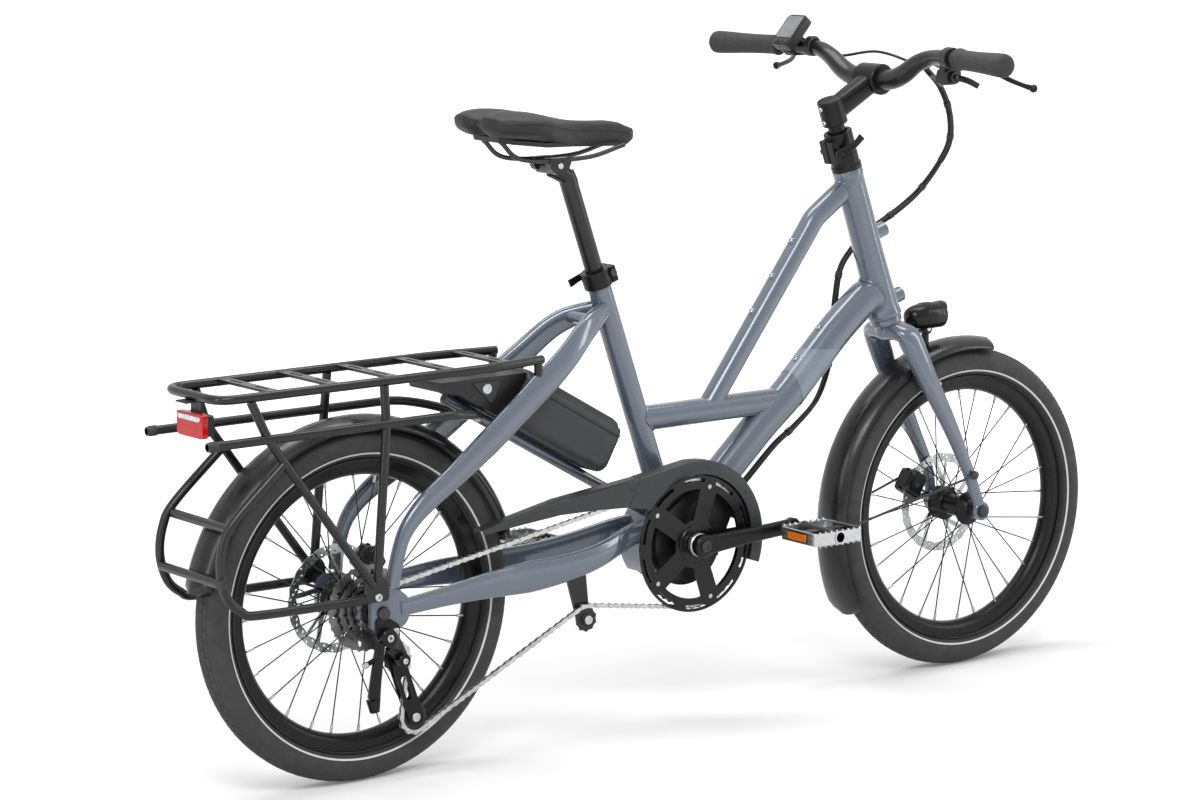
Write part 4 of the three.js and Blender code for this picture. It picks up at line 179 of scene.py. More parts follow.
def oval(half_width, half_height, sides=28, power=1.0):
    angles = (np.arange(sides) + 0.5) / sides * 2 * np.pi
    c, s = np.cos(angles), np.sin(angles)
    return np.stack([half_width * np.sign(c) * np.abs(c) ** power,
        half_height * np.sign(s) * np.abs(s) ** power], axis=1)


def polar(centre, radius, a):
    return centre[0] + radius * cos(a), centre[1] + radius * sin(a)


def arc(centre, radius, start, end, steps):
    return [polar(centre, radius, a) for a in np.linspace(start, end, steps + 1)]


def circle(centre, radius, steps=24):
    return arc(centre, radius, 0, 2 * pi, steps)[:-1]


def rounded(points, radius, steps=5, straightest=1.1):
    """Outline with its corners rounded, or only those sharper than a limit."""
    p = [np.array(q, float) for q in points]
    outline = []
    for i, corner in enumerate(p):
        before, after = p[i - 1], p[(i + 1) % len(p)]
        flat = np.dot(unit(before - corner), unit(after - corner)) <= -straightest
        outline += [corner] if flat else corner_curve(before, corner, after, radius, steps)
    return [tuple(q) for q in outline]


def leaning_oval(spot, half_width, half_height, lean, steps):
    """Small oval round a spot, turned by an angle."""
    c, s = cos(lean), sin(lean)
    ring = [(half_width * cos(a), half_height * sin(a)) for a in np.arange(steps) / steps * 2 * pi]
    return [(spot[0] + u * c - v * s, spot[1] + u * s + v * c) for u, v in ring]


def rectangle(width, height, corner, x=0.0, y=0.0, steps=5):
    w, h = width / 2, height / 2
    return rounded([(x - w, y - h), (x + w, y - h), (x + w, y + h), (x - w, y + h)], corner, steps)


def round_two(one, radius, other, other_radius, steps=20):
    """Outline round two circles."""
    line = atan2(other[1] - one[1], other[0] - one[0])
    lean = acos((radius - other_radius) / hypot(other[0] - one[0], other[1] - one[1]))
    return arc(one, radius, line + lean, line - lean + 2 * pi, steps) + arc(other, other_radius, line - lean,
        line + lean, steps)


class Form:
    """Points and faces of one piece, with a look number for each face."""

    def __init__(self):
        self.points = []
        self.faces = []
        self.looks = []
        self.count = 0

    def add(self, points, faces, look=0):
        self.points.append(np.array(points, float).reshape(-1, 3))
        self.faces += [[self.count + i for i in face] for face in faces]
        self.looks += [look] * len(faces)
        self.count += len(self.points[-1])
        return self

    def skin(self, rings, look=0, closed=False, caps=True, wrap=True):
        rows, count = len(rings), len(rings[0])
        faces = []
        for i in range(rows if closed else rows - 1):
            j = (i + 1) % rows
            for k in range(count if wrap else count - 1):
                m = (k + 1) % count
                faces.append([i * count + k, i * count + m, j * count + m, j * count + k])
        if caps and not closed:
            faces.append(list(range(count))[::-1])
            faces.append([(rows - 1) * count + k for k in range(count)])
        return self.add(np.concatenate([np.array(r, float) for r in rings]), faces, look)

    def tube(self, path, section, side=(0, 1, 0), look=0):
        """Section along a path; section is a radius, an outline or a function of the share along."""
        path = np.array(path, float)
        side = np.array(side, float)
        last = len(path) - 1
        rings = []
        for i, p in enumerate(path):
            into, out = p - path[max(i - 1, 0)], path[min(i + 1, last)] - p
            along = unit(sum(unit(v) for v in (into, out) if np.linalg.norm(v) > 0))
            across = unit(side - along * np.dot(side, along))
            up = np.cross(along, across)
            shape = section(i / last) if callable(section) else section
            if np.isscalar(shape):
                shape = oval(shape, shape, 16)
            rings.append(p + shape[:, :1] * across + shape[:, 1:] * up)
        return self.skin(rings, look)

    def turned(self, profile, centre=(0, 0, 0), axis=(0, 1, 0), stations=64, look=0, closed=None):
        """Profile of radius and place pairs, turned about an axis."""
        axis = unit(np.array(axis, float))
        start = unit(np.cross(axis, (0, 0, 1) if abs(axis[2]) < 0.9 else (0, 1, 0)))
        other = np.cross(axis, start)
        angles = np.arange(stations) / stations * 2 * np.pi
        profile = np.array(profile, float)
        closed = profile[0][0] > 0 if closed is None else closed
        ring = lambda a: np.array(centre, float) + np.outer(profile[:, 1], axis) + np.outer(profile[:, 0],
            start * cos(a) + other * sin(a))
        return self.skin([ring(a) for a in angles], look, closed=True, wrap=closed)

    def disc(self, radius, low, high, centre=(0, 0, 0), axis=(0, 1, 0), stations=32, look=0, edge=0.0):
        low, high = min(low, high), max(low, high)
        profile = [(0, low), (radius - edge, low), (radius, low + edge), (radius, high - edge),
            (radius - edge, high), (0, high)]
        if not edge:
            profile = [(0, low), (radius, low), (radius, high), (0, high)]
        return self.turned(profile, centre, axis, stations, look, closed=False)

    def plate(self, outline, low, high, holes=(), look=0, place=None):
        """Plate with an outline in X and Z between two places across the bike."""
        loops = [list(outline)] + [list(h) for h in holes]
        flat = [q for loop in loops for q in loop]
        triangles = tessellate_polygon([[Vector((x, z, 0)) for x, z in loop] for loop in loops])
        count = len(flat)
        points = [(x, low, z) for x, z in flat] + [(x, high, z) for x, z in flat]
        faces = [list(t) for t in triangles] + [[i + count for i in t][::-1] for t in triangles]
        start = 0
        for loop in loops:
            for k in range(len(loop)):
                a, b = start + k, start + (k + 1) % len(loop)
                faces.append([a, b, b + count, a + count])
            start += len(loop)
        points = np.array(points, float)
        if place is not None:
            points = np.array([place(*p) for p in points])
        return self.add(points, faces, look)

    def block(self, size, centre, turn=None, look=0):
        half = np.array(size, float) / 2
        corners = np.array([[x, y, z] for x in (-1, 1) for y in (-1, 1) for z in (-1, 1)]) * half
        if turn is not None:
            corners = corners @ np.array(turn).T
        faces = [[0, 1, 3, 2], [4, 6, 7, 5], [0, 4, 5, 1], [2, 3, 7, 6], [0, 2, 6, 4], [1, 5, 7, 3]]
        return self.add(corners + np.array(centre, float), faces, look)


def turn_about_y(a):
    return np.array([[cos(a), 0, sin(a)], [0, 1, 0], [-sin(a), 0, cos(a)]])


def placed(name, data):
    """New object at the origin of the scene."""
    thing = bpy.data.objects.new(name, data)
    bpy.context.scene.collection.objects.link(thing)
    return thing


def cleaned(mesh, edges=False):
    """Merged points and outward faces."""
    bm = bmesh.new()
    bm.from_mesh(mesh)
    bmesh.ops.remove_doubles(bm, verts=bm.verts, dist=2e-6)
    if edges:
        bmesh.ops.dissolve_degenerate(bm, dist=1e-6, edges=bm.edges)
    bmesh.ops.recalc_face_normals(bm, faces=bm.faces)
    bm.to_mesh(mesh)
    bm.free()


def shaded(mesh, sharp):
    mesh.shade_smooth()
    mesh.set_sharp_from_angle(angle=radians(sharp))
    return mesh


def in_metres(places):
    """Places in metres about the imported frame's origin."""
    return (np.array(places, float) - vec(FOOT, 0, 0)) * MM


def mesh_of(name, form, looks, sharp=38):
    """Mesh of a form, with its looks named in one string."""
    mesh = bpy.data.meshes.new(name)
    mesh.from_pydata(in_metres(np.concatenate(form.points)).tolist(), [], form.faces)
    for look in looks.split():
        mesh.materials.append(LOOKS[look])
    mesh.polygons.foreach_set("material_index", form.looks)
    cleaned(mesh, edges=True)
    return shaded(mesh, sharp)


def settle(piece, body, nodes):
    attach(piece, body)
    if nodes:
        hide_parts(*nodes)


def made(name, form, looks, body, nodes=(), bevel=0.0, sharp=38, segments=2):
    """Finished piece from a form, riding on a body and standing for CAD nodes."""
    piece = placed(name, mesh_of(name, form, looks, sharp))
    if bevel:
        edge = piece.modifiers.new("Softened edges", "BEVEL")
        edge.width = bevel * MM
        edge.segments = segments
        edge.limit_method = "ANGLE"
        edge.angle_limit = radians(sharp)
        edge.harden_normals = True
    settle(piece, body, nodes)


# Copies of a small pattern set on many places by geometry nodes

def copies_tree():
    tree = bpy.data.node_groups.get("Copies on places")
    if tree:
        return tree
    tree = bpy.data.node_groups.new("Copies on places", "GeometryNodeTree")
    face = tree.interface
    face.new_socket("Geometry", in_out="INPUT", socket_type="NodeSocketGeometry")
    face.new_socket("Pattern", in_out="INPUT", socket_type="NodeSocketObject")
    size = face.new_socket("Size", in_out="INPUT", socket_type="NodeSocketFloat")
    size.default_value = 1.0
    face.new_socket("Material", in_out="INPUT", socket_type="NodeSocketMaterial")
    face.new_socket("Geometry", in_out="OUTPUT", socket_type="NodeSocketGeometry")
    nodes, link = tree.nodes, tree.links.new
    start, end = nodes.new("NodeGroupInput"), nodes.new("NodeGroupOutput")
    points = nodes.new("GeometryNodeMeshToPoints")
    pattern = nodes.new("GeometryNodeObjectInfo")
    turn, scale = (nodes.new("GeometryNodeInputNamedAttribute") for _ in range(2))
    turn.data_type = scale.data_type = "FLOAT_VECTOR"
    turn.inputs["Name"].default_value = "turn"
    scale.inputs["Name"].default_value = "stretch"
    grow = nodes.new("ShaderNodeVectorMath")
    grow.operation = "SCALE"
    euler = nodes.new("FunctionNodeEulerToRotation")
    copy = nodes.new("GeometryNodeInstanceOnPoints")
    real = nodes.new("GeometryNodeRealizeInstances")
    paint = nodes.new("GeometryNodeSetMaterial")
    link(start.outputs["Geometry"], points.inputs["Mesh"])
    link(start.outputs["Pattern"], pattern.inputs["Object"])
    link(scale.outputs["Attribute"], grow.inputs[0])
    link(start.outputs["Size"], grow.inputs["Scale"])
    link(turn.outputs["Attribute"], euler.inputs["Euler"])
    link(points.outputs["Points"], copy.inputs["Points"])
    link(pattern.outputs["Geometry"], copy.inputs["Instance"])
    link(euler.outputs["Rotation"], copy.inputs["Rotation"])
    link(grow.outputs["Vector"], copy.inputs["Scale"])
    link(copy.outputs["Instances"], real.inputs["Geometry"])
    link(real.outputs["Geometry"], paint.inputs["Geometry"])
    link(start.outputs["Material"], paint.inputs["Material"])
    link(paint.outputs["Geometry"], end.inputs["Geometry"])
    return tree


def copied(name, pattern, places, look, body, nodes=(), size=1.0, sharp=40):
    """One piece made of a pattern copied to places, each a spot, a turn matrix and perhaps a stretch."""
    kernel = Form()
    pattern(kernel)
    points = np.concatenate(kernel.points) * MM
    seed = bpy.data.meshes.new(name + "_pattern")
    seed.from_pydata(points.tolist(), [], kernel.faces)
    cleaned(seed)
    seed_object = placed(name + "_pattern", seed)
    spots = bpy.data.meshes.new(name + "_places")
    spots.from_pydata(in_metres([place[0] for place in places]).tolist(), [], [])
    turns = spots.attributes.new("turn", "FLOAT_VECTOR", "POINT")
    stretch = spots.attributes.new("stretch", "FLOAT_VECTOR", "POINT")
    for i, (_, matrix, *grown) in enumerate(places):
        turns.data[i].vector = Matrix(np.array(matrix).tolist()).to_euler("XYZ")
        stretch.data[i].vector = grown[0] if grown else (1, 1, 1)
    carrier = placed(name, spots)
    tree = copies_tree()
    copies = carrier.modifiers.new("Copies", "NODES")
    copies.node_group = tree
    values = {"Pattern": seed_object, "Size": size, "Material": LOOKS[look]}
    for item in tree.interface.items_tree:
        if item.in_out == "INPUT" and item.name in values:
            copies[item.identifier] = values[item.name]
    bpy.context.view_layer.update()
    solid = bpy.data.meshes.new_from_object(carrier.evaluated_get(bpy.context.evaluated_depsgraph_get()))
    if not len(solid.polygons):
        raise RuntimeError(name + " came out empty")
    bpy.data.objects.remove(carrier)
    bpy.data.objects.remove(seed_object)
    solid.name = name
    for attribute in [a.name for a in solid.attributes if a.name in ("turn", "stretch")]:
        solid.attributes.remove(solid.attributes[attribute])
    settle(placed(name, shaded(solid, sharp)), body, nodes)


def facing(direction, side=(0, 1, 0)):
    """Turn that lays a pattern's Z axis along a direction and its Y axis near a side."""
    z = unit(np.array(direction, float))
    y = np.array(side, float) - z * np.dot(side, z)
    y = unit(y) if np.linalg.norm(y) > 1e-6 else unit(np.cross(z, (1, 0, 0)))
    return np.stack([np.cross(y, z), y, z], axis=1)


def sideways(side):
    """Turn that stands a pattern on a face to the left or to the right."""
    return facing((0, side, 0), (1, 0, 0))


# Finishes

SLOTS = {m["slot"]: tuple(m["base_color"][:3]) for m in frame["record"]["materials"]}
LOOKS = {}


class Mixture:
    """A material under way, with short ways to add and join its nodes."""

    def __init__(self, name):
        self.material = bpy.data.materials.new(name)
        self.material.use_nodes = True
        self.tree = self.material.node_tree
        self.shader = self.tree.nodes["Principled BSDF"]
        self.spot = self.tree.nodes.new("ShaderNodeTexCoord").outputs["Object"]

    def add(self, kind, inputs=None, **settings):
        node = self.tree.nodes.new(kind)
        for key, value in settings.items():
            setattr(node, key, value)
        for key, value in (inputs or {}).items():
            self.put(node.inputs[key], value)
        return node

    def put(self, socket, value):
        if isinstance(value, bpy.types.NodeSocket):
            self.tree.links.new(value, socket)
        else:
            socket.default_value = value

    def math(self, operation, *values):
        node = self.add("ShaderNodeMath", operation=operation)
        for i, value in enumerate(values):
            self.put(node.inputs[i], value)
        return node.outputs[0]

    def distance(self, x, y):
        return self.math("SQRT", self.math("ADD", self.math("POWER", x, 2.0), self.math("POWER", y, 2.0)))

    def stretched(self, scale, turn=(0, 0, 0)):
        return self.add("ShaderNodeMapping", {"Vector": self.spot, "Scale": scale,
            "Rotation": turn}).outputs[0]

    def noise(self, scale, detail=3.0, rough=0.55, where=None):
        return self.add("ShaderNodeTexNoise", {"Vector": where or self.spot, "Scale": scale, "Detail": detail,
            "Roughness": rough}).outputs["Fac"]

    def ranged(self, value, low, high, start=0.3, end=0.7):
        return self.add("ShaderNodeMapRange", {"Value": value, "From Min": start, "From Max": end,
            "To Min": low, "To Max": high}).outputs[0]

    def mixed(self, share, one, other):
        node = self.add("ShaderNodeMix", data_type="RGBA")
        self.put(node.inputs[0], share)
        self.put(node.inputs[6], one if isinstance(one, bpy.types.NodeSocket) else (*one, 1))
        self.put(node.inputs[7], other if isinstance(other, bpy.types.NodeSocket) else (*other, 1))
        return node.outputs[2]

    def bumped(self, height, strength, distance=0.0003):
        return self.add("ShaderNodeBump", {"Height": height, "Strength": strength,
            "Distance": distance}).outputs[0]

    def finished(self, **inputs):
        for key, value in inputs.items():
            self.put(self.shader.inputs[key.replace("_", " ")], value)
        return self.material


def tinted(colour, factor):
    return tuple(min(c * factor, 1.0) for c in colour)


def even_finish(name, colour, roughness, metallic=0.0, mottle=0.12, patch=25, grain=900, relief=0.15,
        coat=0.0, shine=0.3):
    """Finish with slow colour change, uneven gloss and a fine grain."""
    mix = Mixture(name)
    slow = mix.noise(patch, 4)
    fine = mix.noise(grain, 2, 0.6)
    tone = mix.mixed(mix.ranged(slow, 0, 1), tinted(colour, 1 - mottle), tinted(colour, 1 + mottle))
    gloss = mix.ranged(mix.noise(patch * 7, 3), roughness - 0.06, roughness + 0.08)
    if coat:
        mix.finished(Coat_Weight=coat, Coat_Roughness=0.12)
    return mix.finished(Base_Color=tone, Roughness=gloss, Metallic=metallic, Normal=mix.bumped(fine, relief),
        Specular_IOR_Level=shine)


def frame_paint():
    """Satin paint with fine flakes and a soft ripple."""
    mix = Mixture("FramePaint")
    colour = tuple(bpy.context.scene.longtail_colours.frame)
    flake = mix.noise(5200, 1, 0.5)
    slow = mix.noise(9, 2)
    tone = mix.mixed(mix.ranged(flake, 0, 1, 0.42, 0.62), tinted(colour, 0.98), tinted(colour, 1.03))
    tone = mix.mixed(mix.ranged(slow, 0, 0.3), tone, tinted(colour, 1.1))
    gloss = mix.ranged(mix.noise(60, 3), 0.25, 0.29)
    ripple = mix.bumped(mix.noise(110, 1), 0.008, 0.0002)
    return mix.finished(Base_Color=tone, Roughness=gloss, Metallic=0.12, Normal=ripple, Coat_Weight=0.8,
        Coat_Roughness=0.07)


def tyre_rubber():
    """Black rubber with a fine grain, moulded side ribs and one pale reflecting line."""
    mix = Mixture("TyreRubber")
    colour = tinted(SLOTS["tyre_rubber"], 2.2)
    x, y, z = mix.add("ShaderNodeSeparateXYZ", {"Vector": mix.spot}).outputs
    ahead = mix.math("SUBTRACT", mix.math("ABSOLUTE", mix.math("SUBTRACT", x, (570 - FOOT) * MM)), 0.57)
    up = mix.math("SUBTRACT", z, TYRE * MM)
    radius = mix.distance(ahead, up)
    off = mix.math("ABSOLUTE", mix.math("SUBTRACT", radius, 0.2205))
    line = mix.ranged(off, 1, 0, 0.0011, 0.0014)
    side = mix.ranged(mix.math("ABSOLUTE", y), 0, 1, 0.010, 0.012)
    line = mix.math("MULTIPLY", line, side)
    dust = mix.ranged(mix.noise(38, 5), 0, 0.35, 0.45, 0.75)
    dark = mix.mixed(dust, colour, tinted(colour, 1.9))
    ribs = mix.math("SINE", mix.math("MULTIPLY", radius, 2600.0))
    height = mix.math("ADD", mix.math("MULTIPLY", ribs, 0.25), mix.noise(1600, 2))
    return mix.finished(Base_Color=mix.mixed(line, dark, (0.62, 0.63, 0.63)),
        Roughness=mix.ranged(mix.noise(90, 4), 0.68, 0.84), Normal=mix.bumped(height, 0.16))


def brushed(name, colour, roughness, along=(1, 1, 1), dark=0.0):
    """Brushed metal, with lines drawn out along the low axis of the stretch."""
    mix = Mixture(name)
    lines = mix.noise(420, 3, 0.6, where=mix.stretched(along))
    stain = mix.ranged(mix.noise(70, 4), 0, dark, 0.4, 0.75)
    tone = mix.mixed(mix.ranged(lines, 0, 1), tinted(colour, 0.82), tinted(colour, 1.14))
    tone = mix.mixed(stain, tone, tinted(colour, 0.12))
    return mix.finished(Base_Color=tone, Roughness=mix.ranged(lines, roughness - 0.06, roughness + 0.1),
        Metallic=0.95, Normal=mix.bumped(lines, 0.1, 0.0002))


def saddle_cover():
    """Close-grained cover with small soft creases."""
    mix = Mixture("SaddleCover")
    colour = tinted(SLOTS["saddle_cover"], 0.5)
    cells = mix.add("ShaderNodeTexVoronoi", {"Vector": mix.spot, "Scale": 620.0}, feature="SMOOTH_F1")
    crease = mix.noise(70, 5)
    height = mix.math("ADD", cells.outputs["Distance"], mix.math("MULTIPLY", crease, 0.6))
    tone = mix.mixed(mix.ranged(crease, 0, 1), tinted(colour, 0.85), tinted(colour, 1.5))
    return mix.finished(Base_Color=tone, Roughness=mix.ranged(mix.noise(300, 3), 0.5, 0.66),
        Normal=mix.bumped(height, 0.22, 0.0005), Specular_IOR_Level=0.35)


def moulded(name, colour, roughness=0.55):
    """Moulded plastic with a pebbled grain."""
    mix = Mixture(name)
    cells = mix.add("ShaderNodeTexVoronoi", {"Vector": mix.spot, "Scale": 950.0}, feature="SMOOTH_F1")
    height = mix.math("ADD", cells.outputs["Distance"], mix.noise(1700, 2))
    tone = mix.mixed(mix.ranged(mix.noise(16, 4), 0, 1), tinted(colour, 0.88), tinted(colour, 1.15))
    return mix.finished(Base_Color=tone, Roughness=mix.ranged(mix.noise(120, 3), roughness - 0.06,
        roughness + 0.07), Normal=mix.bumped(height, 0.14, 0.0003), Specular_IOR_Level=0.35)


def clear_plastic(name, colour, cells=420.0, strength=0.5, coat=0.6):
    """Clear lens with small prisms behind its face."""
    mix = Mixture(name)
    prisms = mix.add("ShaderNodeTexVoronoi", {"Vector": mix.spot, "Scale": cells}, feature="F1")
    tone = mix.mixed(mix.ranged(prisms.outputs["Distance"], 0, 1, 0.0, 0.7), tinted(colour, 1.25),
        tinted(colour, 0.6))
    return mix.finished(Base_Color=tone, Roughness=mix.ranged(mix.noise(200, 2), 0.05, 0.12),
        Normal=mix.bumped(prisms.outputs["Distance"], strength, 0.0006), Coat_Weight=coat,
        Specular_IOR_Level=0.2 + coat / 2)


def grip_rubber():
    """Soft rubber with a fine diamond knurl."""
    mix = Mixture("GripRubber")
    one = mix.add("ShaderNodeTexWave", {"Vector": mix.stretched((1, 1, 1), (0.7, 0, 0.75)), "Scale": 150.0})
    two = mix.add("ShaderNodeTexWave", {"Vector": mix.stretched((1, 1, 1), (-0.7, 0, -0.75)), "Scale": 150.0})
    height = mix.math("MAXIMUM", one.outputs["Fac"], two.outputs["Fac"])
    colour = SLOTS["grip_rubber"]
    tone = mix.mixed(mix.ranged(mix.noise(40, 4), 0, 1), tinted(colour, 0.8), tinted(colour, 1.4))
    return mix.finished(Base_Color=tone, Roughness=mix.ranged(mix.noise(260, 3), 0.62, 0.78),
        Normal=mix.bumped(height, 0.35, 0.0005))


def mix_looks():
    LOOKS.update(
        paint=frame_paint(),
        powder=even_finish(
            "BlackPowder", (0.007, 0.007, 0.008), 0.34, 0.1, grain=1500, relief=0.12, coat=0.2),
        alloy=even_finish(
            "BlackAlloy", tinted(SLOTS["black_alloy"], 0.6), 0.3, 0.45, grain=2200, relief=0.06),
        silver=brushed("BareAlloy", SLOTS["bare_alloy"], 0.3, (1, 0.2, 1)),
        steel=brushed("DiscSteel", SLOTS["steel"], 0.26),
        chain=brushed("ChainSteel", (0.5, 0.5, 0.505), 0.3, dark=0.3),
        cogs=brushed("CogSteel", (0.2, 0.2, 0.205), 0.34, dark=0.5),
        dark=even_finish("DarkSteel", SLOTS["dark_steel"], 0.34, 0.8, grain=1300, relief=0.08),
        ring=even_finish("RingBlack", tinted(SLOTS["black_alloy"], 0.4), 0.22, 0.2, grain=1500, relief=0.04),
        black=moulded("MouldedBlack", tinted(SLOTS["moulded_black"], 0.5), 0.42),
        grey=moulded("MouldedGrey", (0.026, 0.027, 0.029), 0.46),
        tyre=tyre_rubber(),
        grip=grip_rubber(),
        jacket=even_finish("CableJacket", SLOTS["cable_jacket"], 0.42, grain=1200, relief=0.05),
        saddle=saddle_cover(),
        red=clear_plastic("RedLens", (0.6, 0.006, 0.004), 420.0, 0.15, 0.05),
        amber=clear_plastic("AmberReflector", (0.75, 0.17, 0.01), 520.0),
        lamp=clear_plastic("LampLens", (0.72, 0.74, 0.76), 260.0, 0.35),
        fender=even_finish(
            "FenderShell", tinted(SLOTS["fender_plastic"], 0.5), 0.3, mottle=0.08, patch=6, grain=1500,
            relief=0.01, coat=0.15),
        screen=even_finish("ScreenGlass", (0.16, 0.17, 0.18), 0.14, 0.0, mottle=0.2, relief=0.01, coat=0.6),
        print=even_finish("PaleBand", (0.17, 0.205, 0.25), 0.34, 0.1, grain=1400, relief=0.03, coat=0.6),
        spoke=even_finish("BlackSpoke", (0.02, 0.02, 0.021), 0.3, 0.85, grain=2400, relief=0.05),
    )


# Sizes and colours that a user would change

def length_of(value, text, low=0.1, high=50.0):
    return bpy.props.FloatProperty(name=text, description=text + " in millimetres", default=value, min=low,
        max=high)


class LongtailColours(bpy.types.PropertyGroup):
    """Colours of the main finishes"""
    frame: bpy.props.FloatVectorProperty(name="Frame paint", description="Frame paint in linear light",
        subtype="COLOR", size=3, min=0, max=1, default=(0.083, 0.105, 0.142))


class LongtailSizes(bpy.types.PropertyGroup):
    """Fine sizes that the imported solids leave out"""
    tread_rise: length_of(0.8, "Height of the tread blocks", 0.4, 3.0)
    spoke_width: length_of(2.0, "Width of a spoke", 1.0, 3.0)
    tread_blocks: bpy.props.IntProperty(name="Tread blocks in a row",
        description="Number of blocks round each tyre", default=84, min=40, max=180)


def sizes():
    return bpy.context.scene.longtail_sizes


# Wheels

RIM = dict(top=211, low=187, half=15, wall=3, bed=203)
HUB = dict(core=17, flange=27, thick=5, rear_right=14, rear_left=31, front_right=26, front_left=24, seat=22,
    circle=23, spokes=28, crossing=2.5, apart=1.3, dish=3)
WHEELS = (
    dict(name="rear", axle=REAR, right=HUB["rear_right"], left=HUB["rear_left"], end=67.5, disc=50,
         body="rear_wheel"),
    dict(name="front", axle=FRONT, right=HUB["front_right"], left=HUB["front_left"], end=55, disc=40,
         body="front_wheel"),
)


def tyre_side(crown):
    """Half of the tyre's section from the bead to the crown."""
    bead = 211.4
    points = [(bead, 14.8), (214.5, 19.5), (220.5, 24.6), (229.5, 26.9), (239, 25.7), (247, 21.2),
        (252.4, 14.2), (255, 7.2), (256, 0)]
    side = smooth([(r, y, 0) for r, y in points], 22)[:, :2]
    return [(bead + (r - bead) * (crown - bead) / (TYRE - bead), y) for r, y in side]


def tyre_piece(wheel):
    rise = sizes().tread_rise
    side = tyre_side(TYRE - rise)
    outer = side + [(r, -y) for r, y in side[::-1][1:]]
    form = Form().turned(outer, wheel["axle"], stations=144, closed=True)
    made(wheel["name"] + "_tyre_carcass", form, "tyre", wheel["body"],
        [wheel["name"] + "_tyre"], sharp=60)
    count = sizes().tread_blocks
    step = 2 * pi / count
    length = 2 * pi * (TYRE - rise) / count
    crown = np.array(side)

    def block(kernel, slant):
        w, d, h = length * 0.44, 3.35, rise / 2
        low = [(-w - slant, -d, -h), (w - slant, -d, -h), (w + slant, d, -h), (-w + slant, d, -h)]
        top = [(x * 0.97, y * 0.93, h) for x, y, _ in low]
        kernel.skin([low, top])

    for way, part in SIDE_NAMES.items():
        places = []
        for y, shift in ((4.1, 0.0), (11.6, 0.5), (18.7, 0.0)):
            radius = float(np.interp(y, crown[::-1, 1], crown[::-1, 0]))
            ahead = float(np.interp(y + 1, crown[::-1, 1], crown[::-1, 0]))
            tilt = atan2(radius - ahead, 1) * way
            for i in range(count):
                a = (i + shift) * step
                out = vec(cos(a), 0, sin(a))
                face = unit(out * cos(tilt) + vec(0, sin(tilt), 0))
                spot = np.array(wheel["axle"]) + out * radius + vec(0, way * y, 0)
                places.append((spot + face * (rise / 2 - 0.3), facing(face, (0, 1, 0))))
        copied(wheel["name"] + "_tread_" + part, lambda kernel: block(kernel, -1.9 * way), places, "tyre",
            wheel["body"], sharp=20)


def rim_piece(wheel):
    low, top, half, wall, bed = (RIM[k] for k in ("low", "top", "half", "wall", "bed"))
    half_side = [(low, 0), (low + 0.4, 4), (low + 3, 9), (low + 8, half - 1.2), (low + 12, half - 0.3),
        (top - 2, half - 0.3), (top - 0.6, half), (top, half - 0.8), (top - 0.4, half - wall)]
    inner = [(bed, half - wall - 2), (bed, -half + wall + 2)]
    other = [(r, -y) for r, y in half_side[::-1][:-1]]
    form = Form().turned(half_side + inner + other, wheel["axle"], stations=128, closed=True)
    made(wheel["name"] + "_rim_hoop", form, "alloy", wheel["body"], [wheel["name"] + "_rim"],
        sharp=50)


def spoke_ends(wheel):
    ends = []
    step = 2 * pi / HUB["spokes"]
    for i in range(HUB["spokes"]):
        left = i % 2 == 0
        lean = (1 if (i // 2) % 2 == 0 else -1) * HUB["crossing"] * step
        apart = copysign(HUB["apart"], lean)
        middle = wheel["left"] + HUB["thick"] / 2 if left else -wheel["right"] - HUB["thick"] / 2
        start, end = i * step + lean, i * step
        axle = np.array(wheel["axle"])
        foot = axle + vec(HUB["circle"] * cos(start), middle + apart, HUB["circle"] * sin(start))
        tip = axle + vec((RIM["low"] + 1) * cos(end), (HUB["dish"] if left else -HUB["dish"]) + apart,
            (RIM["low"] + 1) * sin(end))
        ends.append((foot, tip))
    return ends


def spoke_piece(wheel):
    places, nipples = [], []
    for foot, tip in spoke_ends(wheel):
        line = tip - foot
        turn = facing(line)
        places.append(((foot + tip) / 2, turn, (1, 1, np.linalg.norm(line) / 100)))
        nipples.append((tip - unit(line) * 6.5, turn))
    radius = sizes().spoke_width / 2
    copied(wheel["name"] + "_spokes", lambda k: k.disc(radius, -50, 50, axis=(0, 0, 1), stations=8), places,
        "spoke", wheel["body"])
    copied(wheel["name"] + "_nipples", lambda k: k.disc(2.1, -6, 6, axis=(0, 0, 1), stations=8, edge=0.6),
        nipples, "silver", wheel["body"])


def hub_piece(wheel):
    core, flange, t, seat = HUB["core"], HUB["flange"], HUB["thick"], HUB["seat"]
    right, left, end, disc = wheel["right"], wheel["left"], wheel["end"], wheel["disc"]
    seat_at = disc - 1 - GAP
    if wheel["name"] == "rear":
        start = [(6.9, -right - t), (flange - 0.8, -right - t), (flange, -right - t + 0.8),
            (flange, -right - 0.8), (flange - 0.8, -right), (core + 3, -right + 1.5), (core, -right + t)]
    else:
        start = [(6.9, -end), (12, -end), (13, -end + 1), (13, -right - 3 * t), (core, -right - 2 * t),
            (flange - 1.5, -right - t), (flange, -right - t + 0.8), (flange, -right - 0.8),
            (flange - 0.8, -right), (core + 3, -right + 1.5), (core, -right + t)]
    profile = start + [(core, left - t), (core + 3, left - 1.5), (flange - 0.8, left), (flange, left + 0.8),
        (flange, left + t - 0.8), (flange - 0.8, left + t), (seat, left + t), (seat, seat_at), (16, seat_at),
        (16, end - 1), (15, end), (6.9, end)]
    form = Form().turned(profile, wheel["axle"], stations=64)
    made(wheel["name"] + "_hub_shell", form, "alloy", wheel["body"], [wheel["name"] + "_hub"],
        bevel=0.3, sharp=40)


